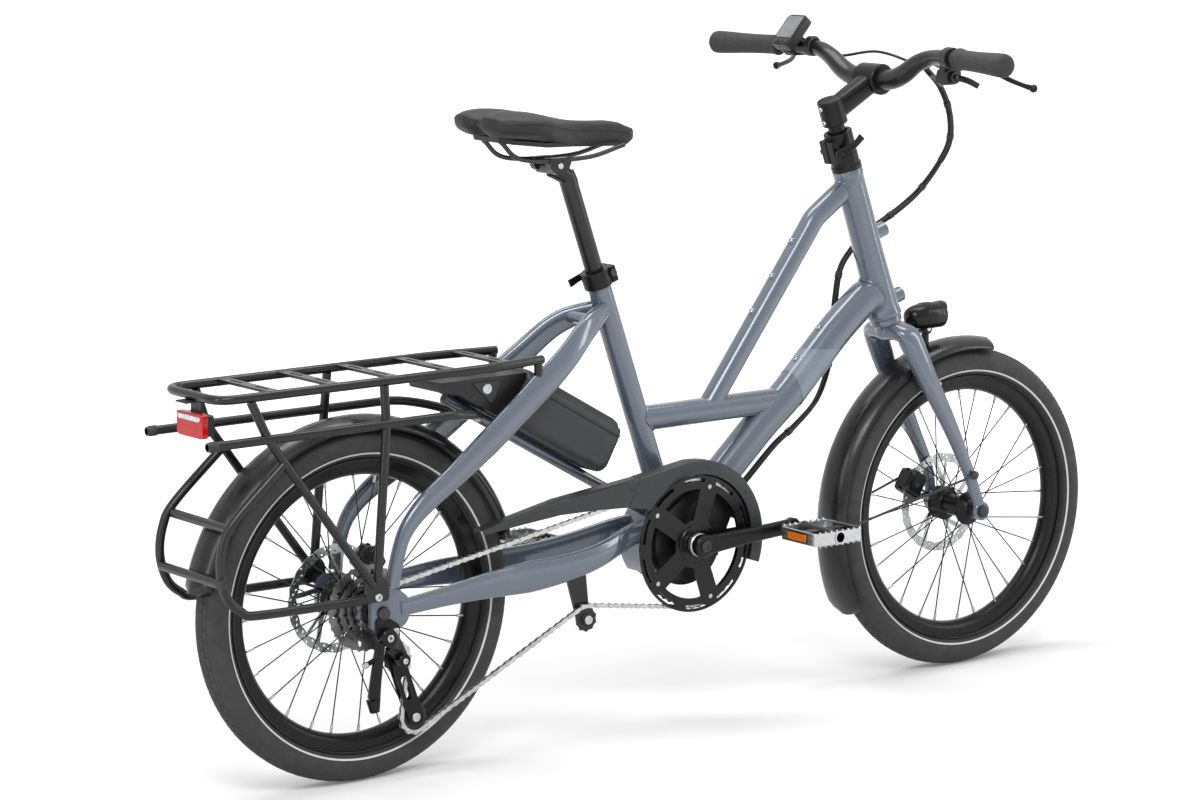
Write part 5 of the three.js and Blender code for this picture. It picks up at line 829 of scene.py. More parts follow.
def rotor_piece(wheel):
    """Brake disc with a waved edge, cooling slots and a five-armed carrier."""
    y, axle = wheel["disc"], wheel["axle"]
    centre = axle[::2]
    waved = lambda radius, swing: [polar(centre, radius + swing * cos(20 * a), a)
        for a in np.linspace(0, 2 * pi, 240, endpoint=False)]
    holes = [waved(66.2, -0.9)]
    for i in range(60):
        a = i / 60 * 2 * pi
        holes.append(leaning_oval(polar(centre, (69.6, 72.8, 76.0)[i % 3], a), 2.5, 1.35, a + 0.9, 10))
    track = Form().plate(waved(79.3, 0.7), y - 1, y + 1, holes)
    for i in range(5):
        for lean, width in ((0.45, 3.6), (0.12, 2.2)):
            a = i / 5 * 2 * pi
            path = [polar(centre, r, a + lean * s) for r, s in ((24, 0), (38, 0.45), (54, 0.85), (68, 1))]
            section = np.array([(-0.9, -width), (0.9, -width), (0.9, width), (-0.9, width)])
            track.tube(smooth([(x, y, z) for x, z in path], 12), section)
    track.turned([(16.4, y - 1), (27, y - 1), (27, y + 1), (16.4, y + 1)], axle, stations=48)
    made(wheel["name"] + "_disc", track, "steel", wheel["body"], [wheel["name"] + "_rotor"],
        sharp=30)
    bolts = [(vec(axle[0] + 22 * cos(a), y + 1.0, axle[2] + 22 * sin(a)), sideways(1))
        for a in np.arange(6) / 6 * 2 * pi]
    copied(wheel["name"] + "_disc_bolts", hex_bolt(3.6, 2.2), bolts, "dark", wheel["body"])


def hex_bolt(radius, height, socket=0.5):
    """Round bolt head with a six-sided socket, standing on its place along Z."""

    def shape(kernel):
        steps = np.arange(12) / 12 * 2 * pi
        ring = lambda r, z: [(r * cos(a), r * sin(a), z) for a in steps]
        inner = radius * socket
        hexed = lambda z: [(inner * cos(a) * (1 if i % 2 else 0.87), inner * sin(a) * (1 if i % 2 else 0.87),
            z) for i, a in enumerate(steps)]
        kernel.skin([ring(radius, -height * 0.4), ring(radius, height * 0.75), ring(radius * 0.86, height),
            hexed(height), hexed(height * 0.35)])

    return shape


def axle_piece(node, body, centre, head_at):
    form = Form()
    for side in (-1, 1):
        form.turned([(0, side * (head_at + 5)), (7, side * (head_at + 5)), (9.5, side * (head_at + 4)),
            (10.6, side * (head_at + 1)), (10.6, side * head_at), (0, side * head_at)], centre, stations=12,
            closed=False)
    form.disc(6, -head_at, head_at, centre, stations=24)
    made(node + "_skewer", form, "dark", body, [node], bevel=0.4, sharp=40)


# Chain drive

BELT = {
    "ring": (CRANK, 48, 1), "sprocket": (REAR, 13, 1), "guide": ((34, 0, 182), 11, -1),
    "tension": ((64, 0, 91.5), 11, 1), "idler": (IDLER, 10, -1),
}
CASSETTE = (11, 13, 16, 20, 25, 32)


def pitch_radius(teeth):
    return PITCH / (2 * sin(pi / teeth))


def chain_pins():
    """Places of the chain's pins round the belt, and each toothed wheel's pin angle."""
    wheels = list(BELT.values())
    runs = []
    for i, (centre, teeth, way) in enumerate(wheels):
        other, more, turn = wheels[(i + 1) % len(wheels)]
        dx, dz = other[0] - centre[0], other[2] - centre[2]
        shift = turn * pitch_radius(more) - way * pitch_radius(teeth)
        length = sqrt(dx * dx + dz * dz - shift * shift)
        runs.append((atan2(dz, dx) - atan2(shift, length), length))
    stretches = []
    for i, (centre, teeth, way) in enumerate(wheels):
        radius = pitch_radius(teeth)
        incoming, outgoing = runs[i - 1][0], runs[i][0]
        length = ((way * (outgoing - incoming)) % (2 * pi)) * radius
        start = incoming - way * pi / 2

        def place(d, centre=centre, radius=radius, start=start, way=way):
            a = start + way * d / radius
            return vec(centre[0] + radius * cos(a), centre[2] + radius * sin(a))

        corner = place(length)
        stretches.append((length, place))
        stretches.append((runs[i][1], lambda d, corner=corner, a=outgoing: corner + d * vec(cos(a), sin(a))))
    total = sum(length for length, _ in stretches)
    pins = 2 * round(total / PITCH / 2)
    places = []
    for i in range(pins):
        d, k = i * total / pins, 0
        while d > stretches[k][0]:
            d -= stretches[k][0]
            k += 1
        places.append(stretches[k][1](d))
    angles = {}
    before = 0
    for k, (name, (centre, _, _)) in enumerate(BELT.items()):
        middle = before + stretches[2 * k][0] / 2
        x, z = places[round(middle / (total / pins)) % pins]
        angles[name] = atan2(z - centre[2], x - centre[0])
        before += stretches[2 * k][0] + stretches[2 * k + 1][0]
    return places, angles


def toothed(teeth, gap_angle, centre=(0, 0), tip_drop=1.3, root=3.4):
    """Outline with rounded gaps and narrow tooth tips."""
    radius = pitch_radius(teeth)
    step = 2 * pi / teeth
    outline = []
    for i in range(teeth):
        middle = gap_angle + i * step
        for share, level in ((0.0, -root), (0.17, -root + 0.25), (0.29, -root + 1.0), (0.39, -tip_drop - 0.8),
                (0.46, -tip_drop), (0.54, -tip_drop), (0.61, -tip_drop - 0.8), (0.71, -root + 1.0),
                (0.83, -root + 0.25)):
            outline.append(polar(centre, radius + level, middle + share * step))
    return outline


def link_plate(kernel, y, thick):
    """Waisted side plate, one pitch long, along X."""
    half = PITCH / 2
    end = lambda x, a0: [(x + 4.0 * cos(a), 4.0 * sin(a)) for a in np.linspace(a0 - 1.15, a0 + 1.15, 5)]
    outline = end(half, 0) + [(0, 2.4)] + end(-half, pi) + [(0, -2.4)]
    kernel.plate([(x, z) for x, z in outline], y - thick / 2, y + thick / 2)


def chain_pieces():
    pins, _ = chain_pins()
    outer, inner, rollers = [], [], []
    for i, p in enumerate(pins):
        q = pins[(i + 1) % len(pins)]
        middle = (p + q) / 2
        turn = turn_about_y(-atan2(q[1] - p[1], q[0] - p[0]))
        spot = vec(middle[0], -CHAIN_LINE, middle[1])
        (outer if i % 2 else inner).append((spot, turn))
        rollers.append((vec(p[0], -CHAIN_LINE, p[1]), np.eye(3)))

    def outer_link(kernel):
        for side in (-1, 1):
            link_plate(kernel, side * 2.65, 0.8)
            for x in (-PITCH / 2, PITCH / 2):
                kernel.disc(1.7, side * 2.9, side * 3.1, (x, 0, 0), stations=8)

    def inner_link(kernel):
        for side in (-1, 1):
            link_plate(kernel, side * 1.8, 0.75)

    copied("chain_outer_links", outer_link, outer, "chain", "frame", ["chain"], sharp=30)
    copied("chain_inner_links", inner_link, inner, "chain", "frame", sharp=30)
    copied("chain_rollers", lambda k: k.disc(2.6, -1.35, 1.35, stations=10), rollers, "dark", "frame",
        sharp=50)


def cassette_piece():
    _, angles = chain_pins()
    form = Form()
    last = -CHAIN_LINE - 5.4
    for i, teeth in enumerate(CASSETTE):
        y = -CHAIN_LINE + (i - 1) * 5.4
        outline = toothed(teeth, angles["sprocket"], REAR[::2])
        holes = [circle(REAR[::2], 13.0 if teeth < 20 else 15.5, 32)]
        if teeth >= 20:
            reach = (pitch_radius(teeth) - 6 + 18) / 2
            depth = (pitch_radius(teeth) - 6 - 18) / 2 - 1.2
            count = 10 if teeth > 20 else 12
            for a in np.arange(count if depth > 1.5 else 0) / count * 2 * pi:
                spot = polar(REAR[::2], reach, a)
                holes.append(leaning_oval(spot, depth, min(depth * 0.7, 4.2), a + 0.35, 12))
        form.plate(outline, y - 0.9, y + 0.9, holes)
    form.turned([(10, -19.4), (15.6, -19.4), (15.6, last - 0.9), (10, last - 0.9)], REAR, stations=40)
    form.turned([(7.2, last - 3.9), (12, last - 3.9), (13, last - 3), (13, last - 0.9), (7.2, last - 0.9)],
        REAR, stations=24)
    made("cassette_stack", form, "cogs", "cassette_cluster", ["cassette"], sharp=30)


def pulley_piece(node, key, body):
    _, angles = chain_pins()
    centre, teeth, _ = BELT[key]
    flat = centre[::2]
    form = Form()
    holes = [circle(flat, 8.6, 24)]
    form.plate(toothed(teeth, angles[key], flat, 1.5, 3.6), -CHAIN_LINE - 1.0, -CHAIN_LINE + 1.0, holes)
    form.turned([(4.3, -CHAIN_LINE - 3.8), (8.4, -CHAIN_LINE - 3.8), (9, -CHAIN_LINE - 3.2),
        (9, -CHAIN_LINE + 3.2), (8.4, -CHAIN_LINE + 3.8), (4.3, -CHAIN_LINE + 3.8)], centre, stations=32)
    made(node + "_wheel", form, "black", body, [node], sharp=30)


def chainring_piece():
    """Toothed ring behind a slotted guard on five arms."""
    _, angles = chain_pins()
    flat = CRANK[::2]
    form = Form()
    form.plate(toothed(48, angles["ring"], flat), -CHAIN_LINE - 0.9, -CHAIN_LINE + 0.9,
        [circle(flat, 86, 72)], look=1)
    form.turned([(85, -58.9), (88, -58.9), (88, -52.9), (85, -52.9)], CRANK, stations=96)
    slots = []
    for i in range(10):
        middle = (i + 0.5) / 10 * 2 * pi
        slots.append(arc(flat, 99.4, middle - 0.2, middle + 0.2, 8) + arc(flat, 93.6, middle + 0.2,
            middle - 0.2, 8))
    windows = []
    for i in range(5):
        middle = (i + 0.5) / 5 * 2 * pi
        outline = arc(flat, 83.0, middle - 0.44, middle + 0.44, 14) + arc(flat, 37.0, middle + 0.22,
            middle - 0.22, 6)
        windows.append(rounded(outline, 11.0, 4, straightest=0.5))
    form.plate(circle(flat, 103.6, 128), -61.8, -59.1, slots + windows)
    form.turned([(11.6, -64), (28, -64), (29.5, -62.5), (29.5, -45), (28, -43.6), (11.6, -43.6)], CRANK,
        stations=64)
    made("chainring_guard", form, "ring dark", "crankset", ["chainring"], bevel=0.5, sharp=38)
    bolts = [((x, -61.8, z), sideways(-1)) for x, z in circle(flat, 88, 5)]
    copied("chainring_bolts", hex_bolt(3.4, 1.2), bolts, "silver", "crankset")


def crank_tip(side):
    tilt = radians(3)
    return np.array(CRANK) + vec(-side * 170 * cos(tilt), 0, -side * 170 * sin(tilt))


def crank_piece(side):
    name = SIDE_NAMES[side]
    tip = crank_tip(side)
    start = np.array(CRANK)
    up = np.cross(unit(tip - start), (0, 1, 0))
    rings = []
    for s in np.arange(15) / 14:
        section = oval(15.5 * (1 - s) + 11.5 * s - 1.5 * sin(pi * s), 6.6 * (1 - s) + 6.4 * s, 24, 0.62)
        middle = start + (tip - start) * s + vec(0, side * 81, 0)
        rings.append(middle + section[:, :1] * up + section[:, 1:] * vec(0, 1, 0))
    form = Form().skin(rings)
    form.disc(17, side * 74.2, side * 87.8, CRANK, stations=48, edge=2)
    form.disc(12.5, side * 74.2, side * 87.8, tip, stations=40, edge=2)
    form.disc(17.6, side * 64.6, side * 73.6, CRANK, stations=24, edge=1.4, look=2)
    form.turned([(0, side * 86), (8.6, side * 86), (8.6, side * 89.6), (7.8, side * 90), (5, side * 90),
        (4.4, side * 88.6), (0, side * 88.6)], CRANK, stations=24, closed=False, look=1)
    form.disc(6.4, side * 75, side * 88.6, tip, stations=24, edge=0.6, look=1)
    if side > 0:
        form.disc(11, -86, 64.6, CRANK, stations=32, look=1)
    made(name + "_crank_arm", form, "alloy dark silver", "crankset", [name + "_crank"],
        sharp=38)


def pedal_piece(side):
    name = SIDE_NAMES[side]
    body = "pedal_" + name
    tip = crank_tip(side)
    form = Form()
    middle = side * 151.5

    def flat(x, y, z):
        return vec(tip[0] + x, z, tip[2] + y)

    form.plate(rectangle(92, 89, 12, 0, middle, 6), -9.5, 9.5, [rectangle(84, 81, 8, 0, middle, 6)],
        place=flat)
    form.turned([(0, side * 107), (10, side * 107), (12.6, side * 110), (9.5, side * 120), (9.5, side * 182),
        (12.4, side * 190), (11, side * 196), (0, side * 196)], tip, stations=32, closed=False, look=1)
    form.disc(6.2, side * 90, side * 110, tip, stations=24, look=2)
    form.turned([(7.6, side * 195), (10.4, side * 195), (10.4, side * 197), (7.6, side * 197)], tip,
        stations=32, closed=True)
    form.block((84, 16, 12), (tip[0], middle, tip[2]), look=1)
    for end in (-1, 1):
        form.block((5.4, 47, 15), (tip[0] + end * 44.2, middle, tip[2]), look=1)
    made(name + "_pedal_cage", form, "silver black dark", body, [name + "_pedal"], bevel=0.8,
        sharp=38)
    lens = Form()
    for end in (-1, 1):
        lens.block((2.0, 43, 11), (tip[0] + end * 47.2, middle, tip[2]))
    made(name + "_pedal_reflectors", lens, "amber", body, bevel=0.5, sharp=38)
    teeth = []
    for x in np.linspace(-38, 38, 8):
        for y in (middle - 42.5, middle + 42.5):
            for up in (-1, 1):
                teeth.append((vec(tip[0] + x, y, tip[2] + up * 9.6), facing((0, 0, up), (1, 0, 0))))

    def tooth(kernel):
        kernel.skin([[(-2.6, -1.8, -1), (2.6, -1.8, -1), (2.6, 1.8, -1), (-2.6, 1.8, -1)],
            [(-1.1, -1.4, 2.2), (1.1, -1.4, 2.2), (1.1, 1.4, 2.2), (-1.1, 1.4, 2.2)]])

    copied(name + "_pedal_teeth", tooth, teeth, "silver", body, sharp=20)


def derailleur_piece():
    """Hanger, knuckles, slanting body, cage round both pulleys, and the box below the body."""
    guide, tension = BELT["guide"][0], BELT["tension"][0]
    form = Form()
    hanger = rounded([(-14, 250), (6, 250), (26, 236), (24, 210), (8, 206), (-14, 220)], 7, 5)
    form.plate(hanger, -76.4, -79.4)
    form.disc(13, -79, -90, (2, 0, 222), stations=40, edge=1.6)
    form.disc(10, -60, -78, guide, stations=40, edge=1.4)
    form.tube(smooth([(0, -84, 224), (10, -81, 216), (24, -70, 202), (34, -64, 188)], 16),
        lambda share: oval(7.4 - share, 12.5 - 1.5 * share, 28, 0.7), side=(0, 1, 0))
    form.tube(smooth([(4, -80, 206), (14, -75, 198), (30, -64, 184)], 12), oval(4, 5, 20, 0.7))
    for low, high in ((-57.9, -56.5), (-47.5, -46.1)):
        flat = guide[::2], tension[::2]
        outline = round_two(flat[0], 11.6, flat[1], 12.4, 24)
        line = vec(flat[1][0] - flat[0][0], flat[1][1] - flat[0][1])
        middle = [(flat[0][0] + line[0] * k, flat[0][1] + line[1] * k) for k in (0.36, 0.64)]
        form.plate(outline, low, high, [round_two(middle[0], 5.6, middle[1], 5.4, 12)])
    for place in (guide, tension):
        form.disc(3.4, -46, -58.6, place, stations=16, look=1)
        form.turned([(2.6, -59), (6, -59), (6.6, -58.4), (6.6, -57), (2.6, -57)], place, stations=28, look=1)
    form.tube([(-10, -83, 216), (-15, -84, 196), (-21, -84, 160), (-24, -84, 138)],
        lambda share: oval(5.2 + 1.6 * share, 6.6 + 2.4 * share, 24, 0.6))
    form.tube([(-25, -84, 137), (-23, -84, 118)], lambda share: oval(7 - 2 * share, 10.4 - 3.5 * share, 24,
        0.6))
    form.tube(smooth([(-6, -82, 200), (-22, -82, 192), (-39, -82, 186)], 10), oval(3.6, 3.6, 20))
    form.disc(4.4, -3.4, 3.4, (-36, -82, 187), (1, 0, 0.24), 12, look=1)
    made("derailleur_body", form, "alloy silver", "frame", ["derailleur"], bevel=0.8, sharp=36)
    bolts = [(vec(2, -90, 222), sideways(-1)), (vec(18, -79.4, 228), sideways(-1)),
        (vec(34, -78, 182), sideways(-1), (0.8, 0.8, 1))]
    copied("derailleur_bolts", hex_bolt(5.4, 2.0), bolts, "silver", "frame")


# Frame tubes

DOWN_SHARES = ((0, 0, 0), (0.083, 0, 0), (0.121, 0, 0.034), (0.269, 0, 0.18), (0.55, 0, 0.521),
    (0.692, 0, 0.654), (0.902, 0, 0.891), (1, 0, 1))
TOP_SHARES = ((0, 0, 0), (0.036, 0, 0.016), (0.084, 0, 0.043), (0.251, 0, 0.14), (0.305, 0, 0.206),
    (0.96, 0, 0.952), (1, 0, 1))
STAY_SHARES = ((0, 0, 0), (0.123, 0.42, 0.06), (0.262, 0.667, 0.19), (0.493, 0.79, 0.392),
    (0.708, 0.88, 0.569), (0.861, 0.955, 0.684), (0.943, 0.985, 0.782), (0.98, 1, 0.891), (1, 1, 1))
STAY_HEIGHTS = (0.83, 0.9, 1, 0.95, 0.95, 0.82, 0.72, 0.5, 0.48)
CHAINSTAY_SHARES = ((0, 0, 0), (0.073, 0.1, 0.11), (0.227, 0.442, 0.523), (0.379, 0.538, 0.75),
    (0.531, 0.577, 0.818), (0.695, 0.769, 0.818), (1, 1, 1))
CHAINSTAY_HEIGHTS = (0.66, 0.68, 0.8, 0.94, 0.78, 0.58, 0.48)
FORK_SHARES = ((0, 0, 0), (0.113, 0.22, 0.113), (0.248, 0.39, 0.244), (0.398, 0.44, 0.364),
    (0.624, 0.56, 0.562), (0.872, 0.61, 0.802), (1, 1, 1))
FORK_HEIGHTS = (1, 0.95, 0.8, 0.68, 0.56, 0.5, 0.49)
MOTOR_MAIN = (570, 279)
MOTOR_NOSE = (612, 325)
MOTOR_RADII = (68, 50)


def down_path():
    return between(on_steerer(612), (640, 0, 345), DOWN_SHARES)


def top_path():
    return between(on_steerer(787.9, -6.2), (640, 0, 471), TOP_SHARES)


def sided(path, side):
    return [np.array((p[0], side * p[1], p[2])) for p in path]


def stay_path(side):
    return sided(between((440, 10, 640), (16, 76, 292), STAY_SHARES), side)


def on_line(profile, upright, foot):
    """Radius and height pairs as radius and distance along a leaning axis."""
    return [(radius, (height - foot[2]) / upright[2]) for radius, height in profile]


def weld(form, place, along, half_width, half_height, axis_point, axis, radius, side=(0, 1, 0), bead=1.7):
    """Bead where a tube meets a round tube."""
    along, axis = unit(np.array(along, float)), unit(np.array(axis, float))
    across = unit(np.array(side, float) - along * np.dot(side, along))
    up = np.cross(along, across)
    ring = []
    for u, v in oval(half_width, half_height, 72, 0.8):
        start = np.array(place, float) + across * u + up * v - np.array(axis_point, float)
        flat, ray = start - axis * np.dot(start, axis), along - axis * np.dot(along, axis)
        a, b, c = ray @ ray, 2 * flat @ ray, flat @ flat - radius**2
        root = b * b - 4 * a * c
        if root <= 0:
            return form
        share = (-b - sqrt(root)) / (2 * a)
        ring.append(start + np.array(axis_point, float) + along * share)
    loop = np.array(ring)
    middle = loop.mean(axis=0)
    rings = []
    count = len(loop)
    for i, p in enumerate(loop):
        run = unit(loop[(i + 1) % count] - loop[i - 1])
        out = unit(p - middle)
        out = unit(out - run * np.dot(out, run))
        other = np.cross(run, out)
        size = bead * (1 + 0.09 * sin(i * 2 * pi / 3))
        rings.append([p + size * (out * cos(a) + other * sin(a)) for a in np.arange(8) / 8 * 2 * pi])
    return form.skin(rings, closed=True)


def boss_spots(corner, after, first, count, half_height):
    along = unit(after - corner)
    up = vec(along[2], 0, -along[0])
    if up[2] < 0:
        up = -up
    return [(corner + along * (first + i * 64) + up * half_height, facing(up)) for i in range(count)]


def front_frame():
    head = Form()
    shell = [(16.8, 578.3), (26.4, 578.3), (27.2, 579.4), (27.2, 585), (26.2, 587), (25.6, 596), (24.4, 640),
        (23.2, 690), (23, 790), (23.4, 801), (24, 803), (24, 812.6), (23.2, 813.8), (16.8, 813.8)]
    head.turned(on_line(shell, STEER_UP, STEER_FOOT), STEER_FOOT, STEER_UP, 72, closed=True)
    for height in (702, 597):
        profile = [(4.2, 16), (12.6, 16), (12.2, 26), (12, 30), (12, 40.2), (11.2, 41), (5.2, 41),
            (4.2, 40.2), (4.2, 33)]
        place = on_steerer(height)
        head.turned(profile, place, on_steerer(height, 1) - place, 40, closed=True)
        head.disc(4.3, 30, 32, place, on_steerer(height, 1) - place, 24, look=1)
    path = bent(down_path(), 46, 8)
    head.tube(path, oval(24, 26, 40, 0.8))
    reach = unit(path[0] - path[1])
    weld(head, path[0] - reach * 90, reach, 24, 26, STEER_FOOT, STEER_UP, 24.9, bead=2.2)
    made("head_and_down_tube_shell", head, "paint dark", "frame", ["head_and_down_tube"],
        sharp=40)
    along = unit(vec(92, 0, 88))
    up = vec(-along[2], 0, along[0])
    rings = []
    for reach, slant in ((0, 0.5), (34, 0.1), (66, -0.5), (84, -0.9)):
        ring = []
        for u, v in oval(24.35, 26.35, 40, 0.8):
            ring.append(vec(801, u, 481.6) + along * (reach + slant * v) + up * v)
        rings.append(ring)
    made("down_tube_band", Form().skin(rings, caps=False), "print", "frame", sharp=60)
    top = Form()
    path = bent(top_path(), 52, 8)
    top.tube(path, oval(15, 16.5, 36, 0.8))
    reach = unit(path[0] - path[1])
    weld(top, path[0] - reach * 90, reach, 15, 16.5, STEER_FOOT, STEER_UP, 23.2, bead=2.0)
    rear, front = vec(523.5, 0, 467), vec(784, 0, 467)
    rings = []
    for ahead, half_width, half_height in ((545, 15, 16), (0, 15.5, 16.5), (0, 18, 19), (560, 18, 19),
            (784, 18, 19)):
        ring = []
        for u, v in oval(half_width, half_height, 36, 0.8):
            seat_x = on_seat_line(467 + v)[0] + sqrt(max(17.4**2 - u * u, 0)) / SEAT_UP[2]
            ring.append((ahead or seat_x, u, 467 + v))
        rings.append(ring)
    top.skin(rings)
    weld(top, front, rear - front, 18, 19, SEAT_FOOT, SEAT_UP, 18.2, bead=2.0)
    made("top_tube_shell", top, "paint", "frame", ["top_tube"], sharp=40)
    seat = Form().turned(on_line([(14.8, 330), (18, 330), (18, 672), (18, 682.2), (17.2, 683), (14.8, 683)],
        SEAT_UP, SEAT_FOOT), SEAT_FOOT, SEAT_UP, 56, closed=True)
    made("seat_tube_shell", seat, "paint", "frame", ["seat_tube"], sharp=40)
    down, upper = down_path(), top_path()
    spots = boss_spots(down[3], down[4], 17, 2, 26) + boss_spots(upper[4], upper[5], 26, 3, 16.5)
    copied("boss_feet", lambda k: k.turned([(0, -3), (6.4, -3), (6.2, 0.6), (5.4, 1.3), (0, 1.3)],
        axis=(0, 0, 1), stations=20, closed=False), spots, "paint", "frame")
    raised = [(spot + turn[:, 2] * 1.2, turn) for spot, turn in spots]
    copied("boss_bolts", hex_bolt(4.0, 2.2), raised, "silver", "frame")


def rear_frame():
    stays = Form()
    for side in (-1, 1):
        path = stay_path(side)
        ends = [path[0] + vec(14, -side * 8, 4), *path]
        heights = (0.5, *STAY_HEIGHTS)
        line = smooth(ends, 64)

        def section(share, heights=heights):
            width = (19 + (16 - 19) * share) / 2
            return oval(width, 42 * graded(heights, share) / 2, 32, 0.8)

        stays.tube(line, section)
    stays.tube([vec(402, -34, 629), vec(402, 34, 629)], oval(9, 9, 28), side=(0, 0, 1))
    made("seat_stays_shell", stays, "paint", "frame", ["seat_stays"], sharp=45)
    chain = Form()
    for side in (-1, 1):
        path = sided(between((505, 22, 303), (30, 74, 259), CHAINSTAY_SHARES), side)
        chain.tube(smooth(path, 60), lambda share: oval(8.5 + (3.8 - 8.5) * share,
            50 * graded(CHAINSTAY_HEIGHTS, share) / 2, 32, 0.8))
        low, high = 232, 289.4
        outline = rounded([(-20, low), (34, low), (44, low + 12), (44, high - 16), (24, high), (-8, high),
            (-20, high - 12)], 9, 6)
        chain.plate(outline, side * 67.9, side * 75.9, [circle((0, 256), 7, 28)])
    chain.plate(cradle_outline(), -33, 33)
    chain.plate(round_two((357, 258), 17, IDLER[::2], 11), -41.2, -46.2, look=2)
    chain.disc(11.8, -40.6, -47.4, IDLER, stations=36, look=2, edge=0.8)
    chain.block((40, 16, 3), (357, -34, 268), look=2)
    chain.disc(3.6, -41, -60, IDLER, stations=20, look=1)
    chain.turned([(0, -56.8), (7, -56.8), (7, -59.4), (6.2, -60.4), (3.4, -60.4), (3.2, -58.8), (0, -58.8)],
        IDLER, stations=12, look=1, closed=False)
    made("chain_stays_shell", chain, "paint silver powder", "frame", ["chain_stays"],
        bevel=0.7, sharp=40)
    rail = Form().tube([on_rail(0), on_rail(200), on_rail(409.3)], oval(8.5, 8.5, 28))
    made("battery_rail_tube", rail, "paint", "frame", ["battery_rail"], bevel=0.8, sharp=45)


def on_rail(along, up=0.0, out=0.0):
    c, s = cos(RAIL_SLOPE), sin(RAIL_SLOPE)
    return vec(RAIL_START[0] + along * c - up * s, out, RAIL_START[1] + along * s + up * c)


def motor_outline(grow, steps=36):
    return round_two(MOTOR_MAIN, MOTOR_RADII[0] + grow, MOTOR_NOSE, MOTOR_RADII[1] + grow, steps)


def cradle_outline():
    """Band round the upper part of the motor, open below a slanting line."""
    rear, front = vec(476, 227), vec(702, 265)
    slope = (front[1] - rear[1]) / (front[0] - rear[0])
    above = lambda p: p[1] > rear[1] + (p[0] - rear[0]) * slope

    def run(grow):
        points = motor_outline(grow, 60)
        start = next(i for i in range(len(points)) if above(points[i]) and not above(points[i - 1]))
        turned_round = points[start:] + points[:start]
        return [p for p in turned_round if above(p)]

    return run(8) + run(0.4)[::-1]


def fork_piece():
    top, foot = on_steerer(543.5, 4.9, 40), vec(1138, 58, 262)
    blade = between(top, foot, FORK_SHARES)
    arch = [on_steerer(551, 3, 33), on_steerer(555, 1, 18), on_steerer(556, 0, 0)]
    half = arch[::-1] + blade
    line = smooth(sided(half[::-1], -1) + half[1:], 150)
    crown_share = 0.08

    def section(share):
        down = abs(2 * share - 1)
        if down < crown_share:
            return oval(20.5, 19 - 5 * down / crown_share, 32, 0.8)
        below = (down - crown_share) / (1 - crown_share)
        return oval(41 * graded(FORK_HEIGHTS, below) / 2,
            (12.5 + (5.5 - 12.5) * below) * (1 + 0.12 * (1 - below) ** 4), 32, 0.8)

    form = Form().tube(line, section, side=(1, 0, 0))
    profile = [(13.8, 560), (21.5, 556), (22.4, 566), (24, 567.6), (25, 568.4), (25, 576.6), (24.2, 577.6),
        (15.9, 577.8), (15.9, 868), (13.8, 868)]
    form.turned(on_line(profile, STEER_UP, STEER_FOOT), STEER_FOOT, STEER_UP, 64, closed=True)
    for side in (-1, 1):
        form.turned([(7.1, side * 55.6), (14, side * 55.6), (15, side * 56.6), (15, side * 62),
            (14, side * 63), (7.1, side * 63)], FRONT, stations=48, closed=True)
    made("fork_shell", form, "paint", "fork_assembly", ["fork"], sharp=40)
    bolts = [(on_steerer(458.85, 29.62, side * 52), sideways(side)) for side in (-1, 1)]
    copied("fork_bolts", hex_bolt(4.5, 2.6), bolts, "silver", "fork_assembly")


# Fenders

def fender_section(half=33.0, radius=274.0, drop=17.0, thick=2.2):
    outer, inner = [], []
    for t in np.linspace(-1, 1, 25):
        a = t * pi / 2
        out, down = half * sin(a), drop * (1 - cos(a) ** 1.25)
        outer.append((out, radius - down))
        inner.append((out * (1 - thick / half), radius - thick - down * 0.97))
    return outer + inner[::-1]


def fender_rings(axle, angles, halves, drops):
    rings = []
    for degrees, half, drop in zip(angles, halves, drops):
        a = radians(degrees)
        rings.append([(axle[0] + radius * cos(a), out, axle[2] + radius * sin(a))
            for out, radius in fender_section(half, drop=drop)])
    return rings


def fender_pieces():
    angles = np.linspace(14, 169, 90)
    ends = np.minimum((angles - 14) / 2.2, (169 - angles) / 2.2).clip(0, 1)
    halves = 33 * np.sqrt(0.25 + 0.75 * (1 - (1 - ends) ** 2))
    rear = Form().skin(fender_rings(REAR, angles, halves, np.full(90, 17.0)))
    made("rear_fender_shell", rear, "fender", "frame", ["rear_fender"], sharp=50)
    angles = np.linspace(77, 212, 90)
    flare = ((angles - 178) / 34).clip(0, 1)
    ends = np.minimum((angles - 77) / 2.2, (212 - angles) / 4.0).clip(0, 1)
    halves = (33 + 8 * flare**1.5) * np.sqrt(0.2 + 0.8 * (1 - (1 - ends) ** 2))
    front = Form().skin(fender_rings(FRONT, angles, halves, 17 - 9 * flare))
    for side in (-1, 1):
        x, z = FRONT[0] - 265.5, FRONT[2]
        end = vec(FRONT[0] - 16, side * 62, FRONT[2] + 60)
        front.tube(bent([(x, side * 35, z), (x + 40, side * 38, z + 8), end], 20, 6), oval(2, 2, 14), look=1)
        front.disc(7, -2.5, 2.5, end, stations=28, look=1, edge=0.6)
        front.disc(4.4, side * 30, side * 37.5, (x, 0, z), stations=20, look=2, edge=0.6)
    made("front_fender_shell", front, "fender dark silver", "fork_assembly",
        ["front_fender"], sharp=50)


# Rack

RACK = 6.6
HOOP = ((-160, 491), (-240, 422), (-260, 390), (-266, 350), (-255, 312), (-232, 291), (-205, 284), (-30, 281))


def deck_path():
    line = lambda side: [vec(x, side * y, DECK_UP) for x, y in ((292, 58), (190, 75), (-256, 75))]
    return bent([*line(1), *line(-1)[::-1]], 34, 10)


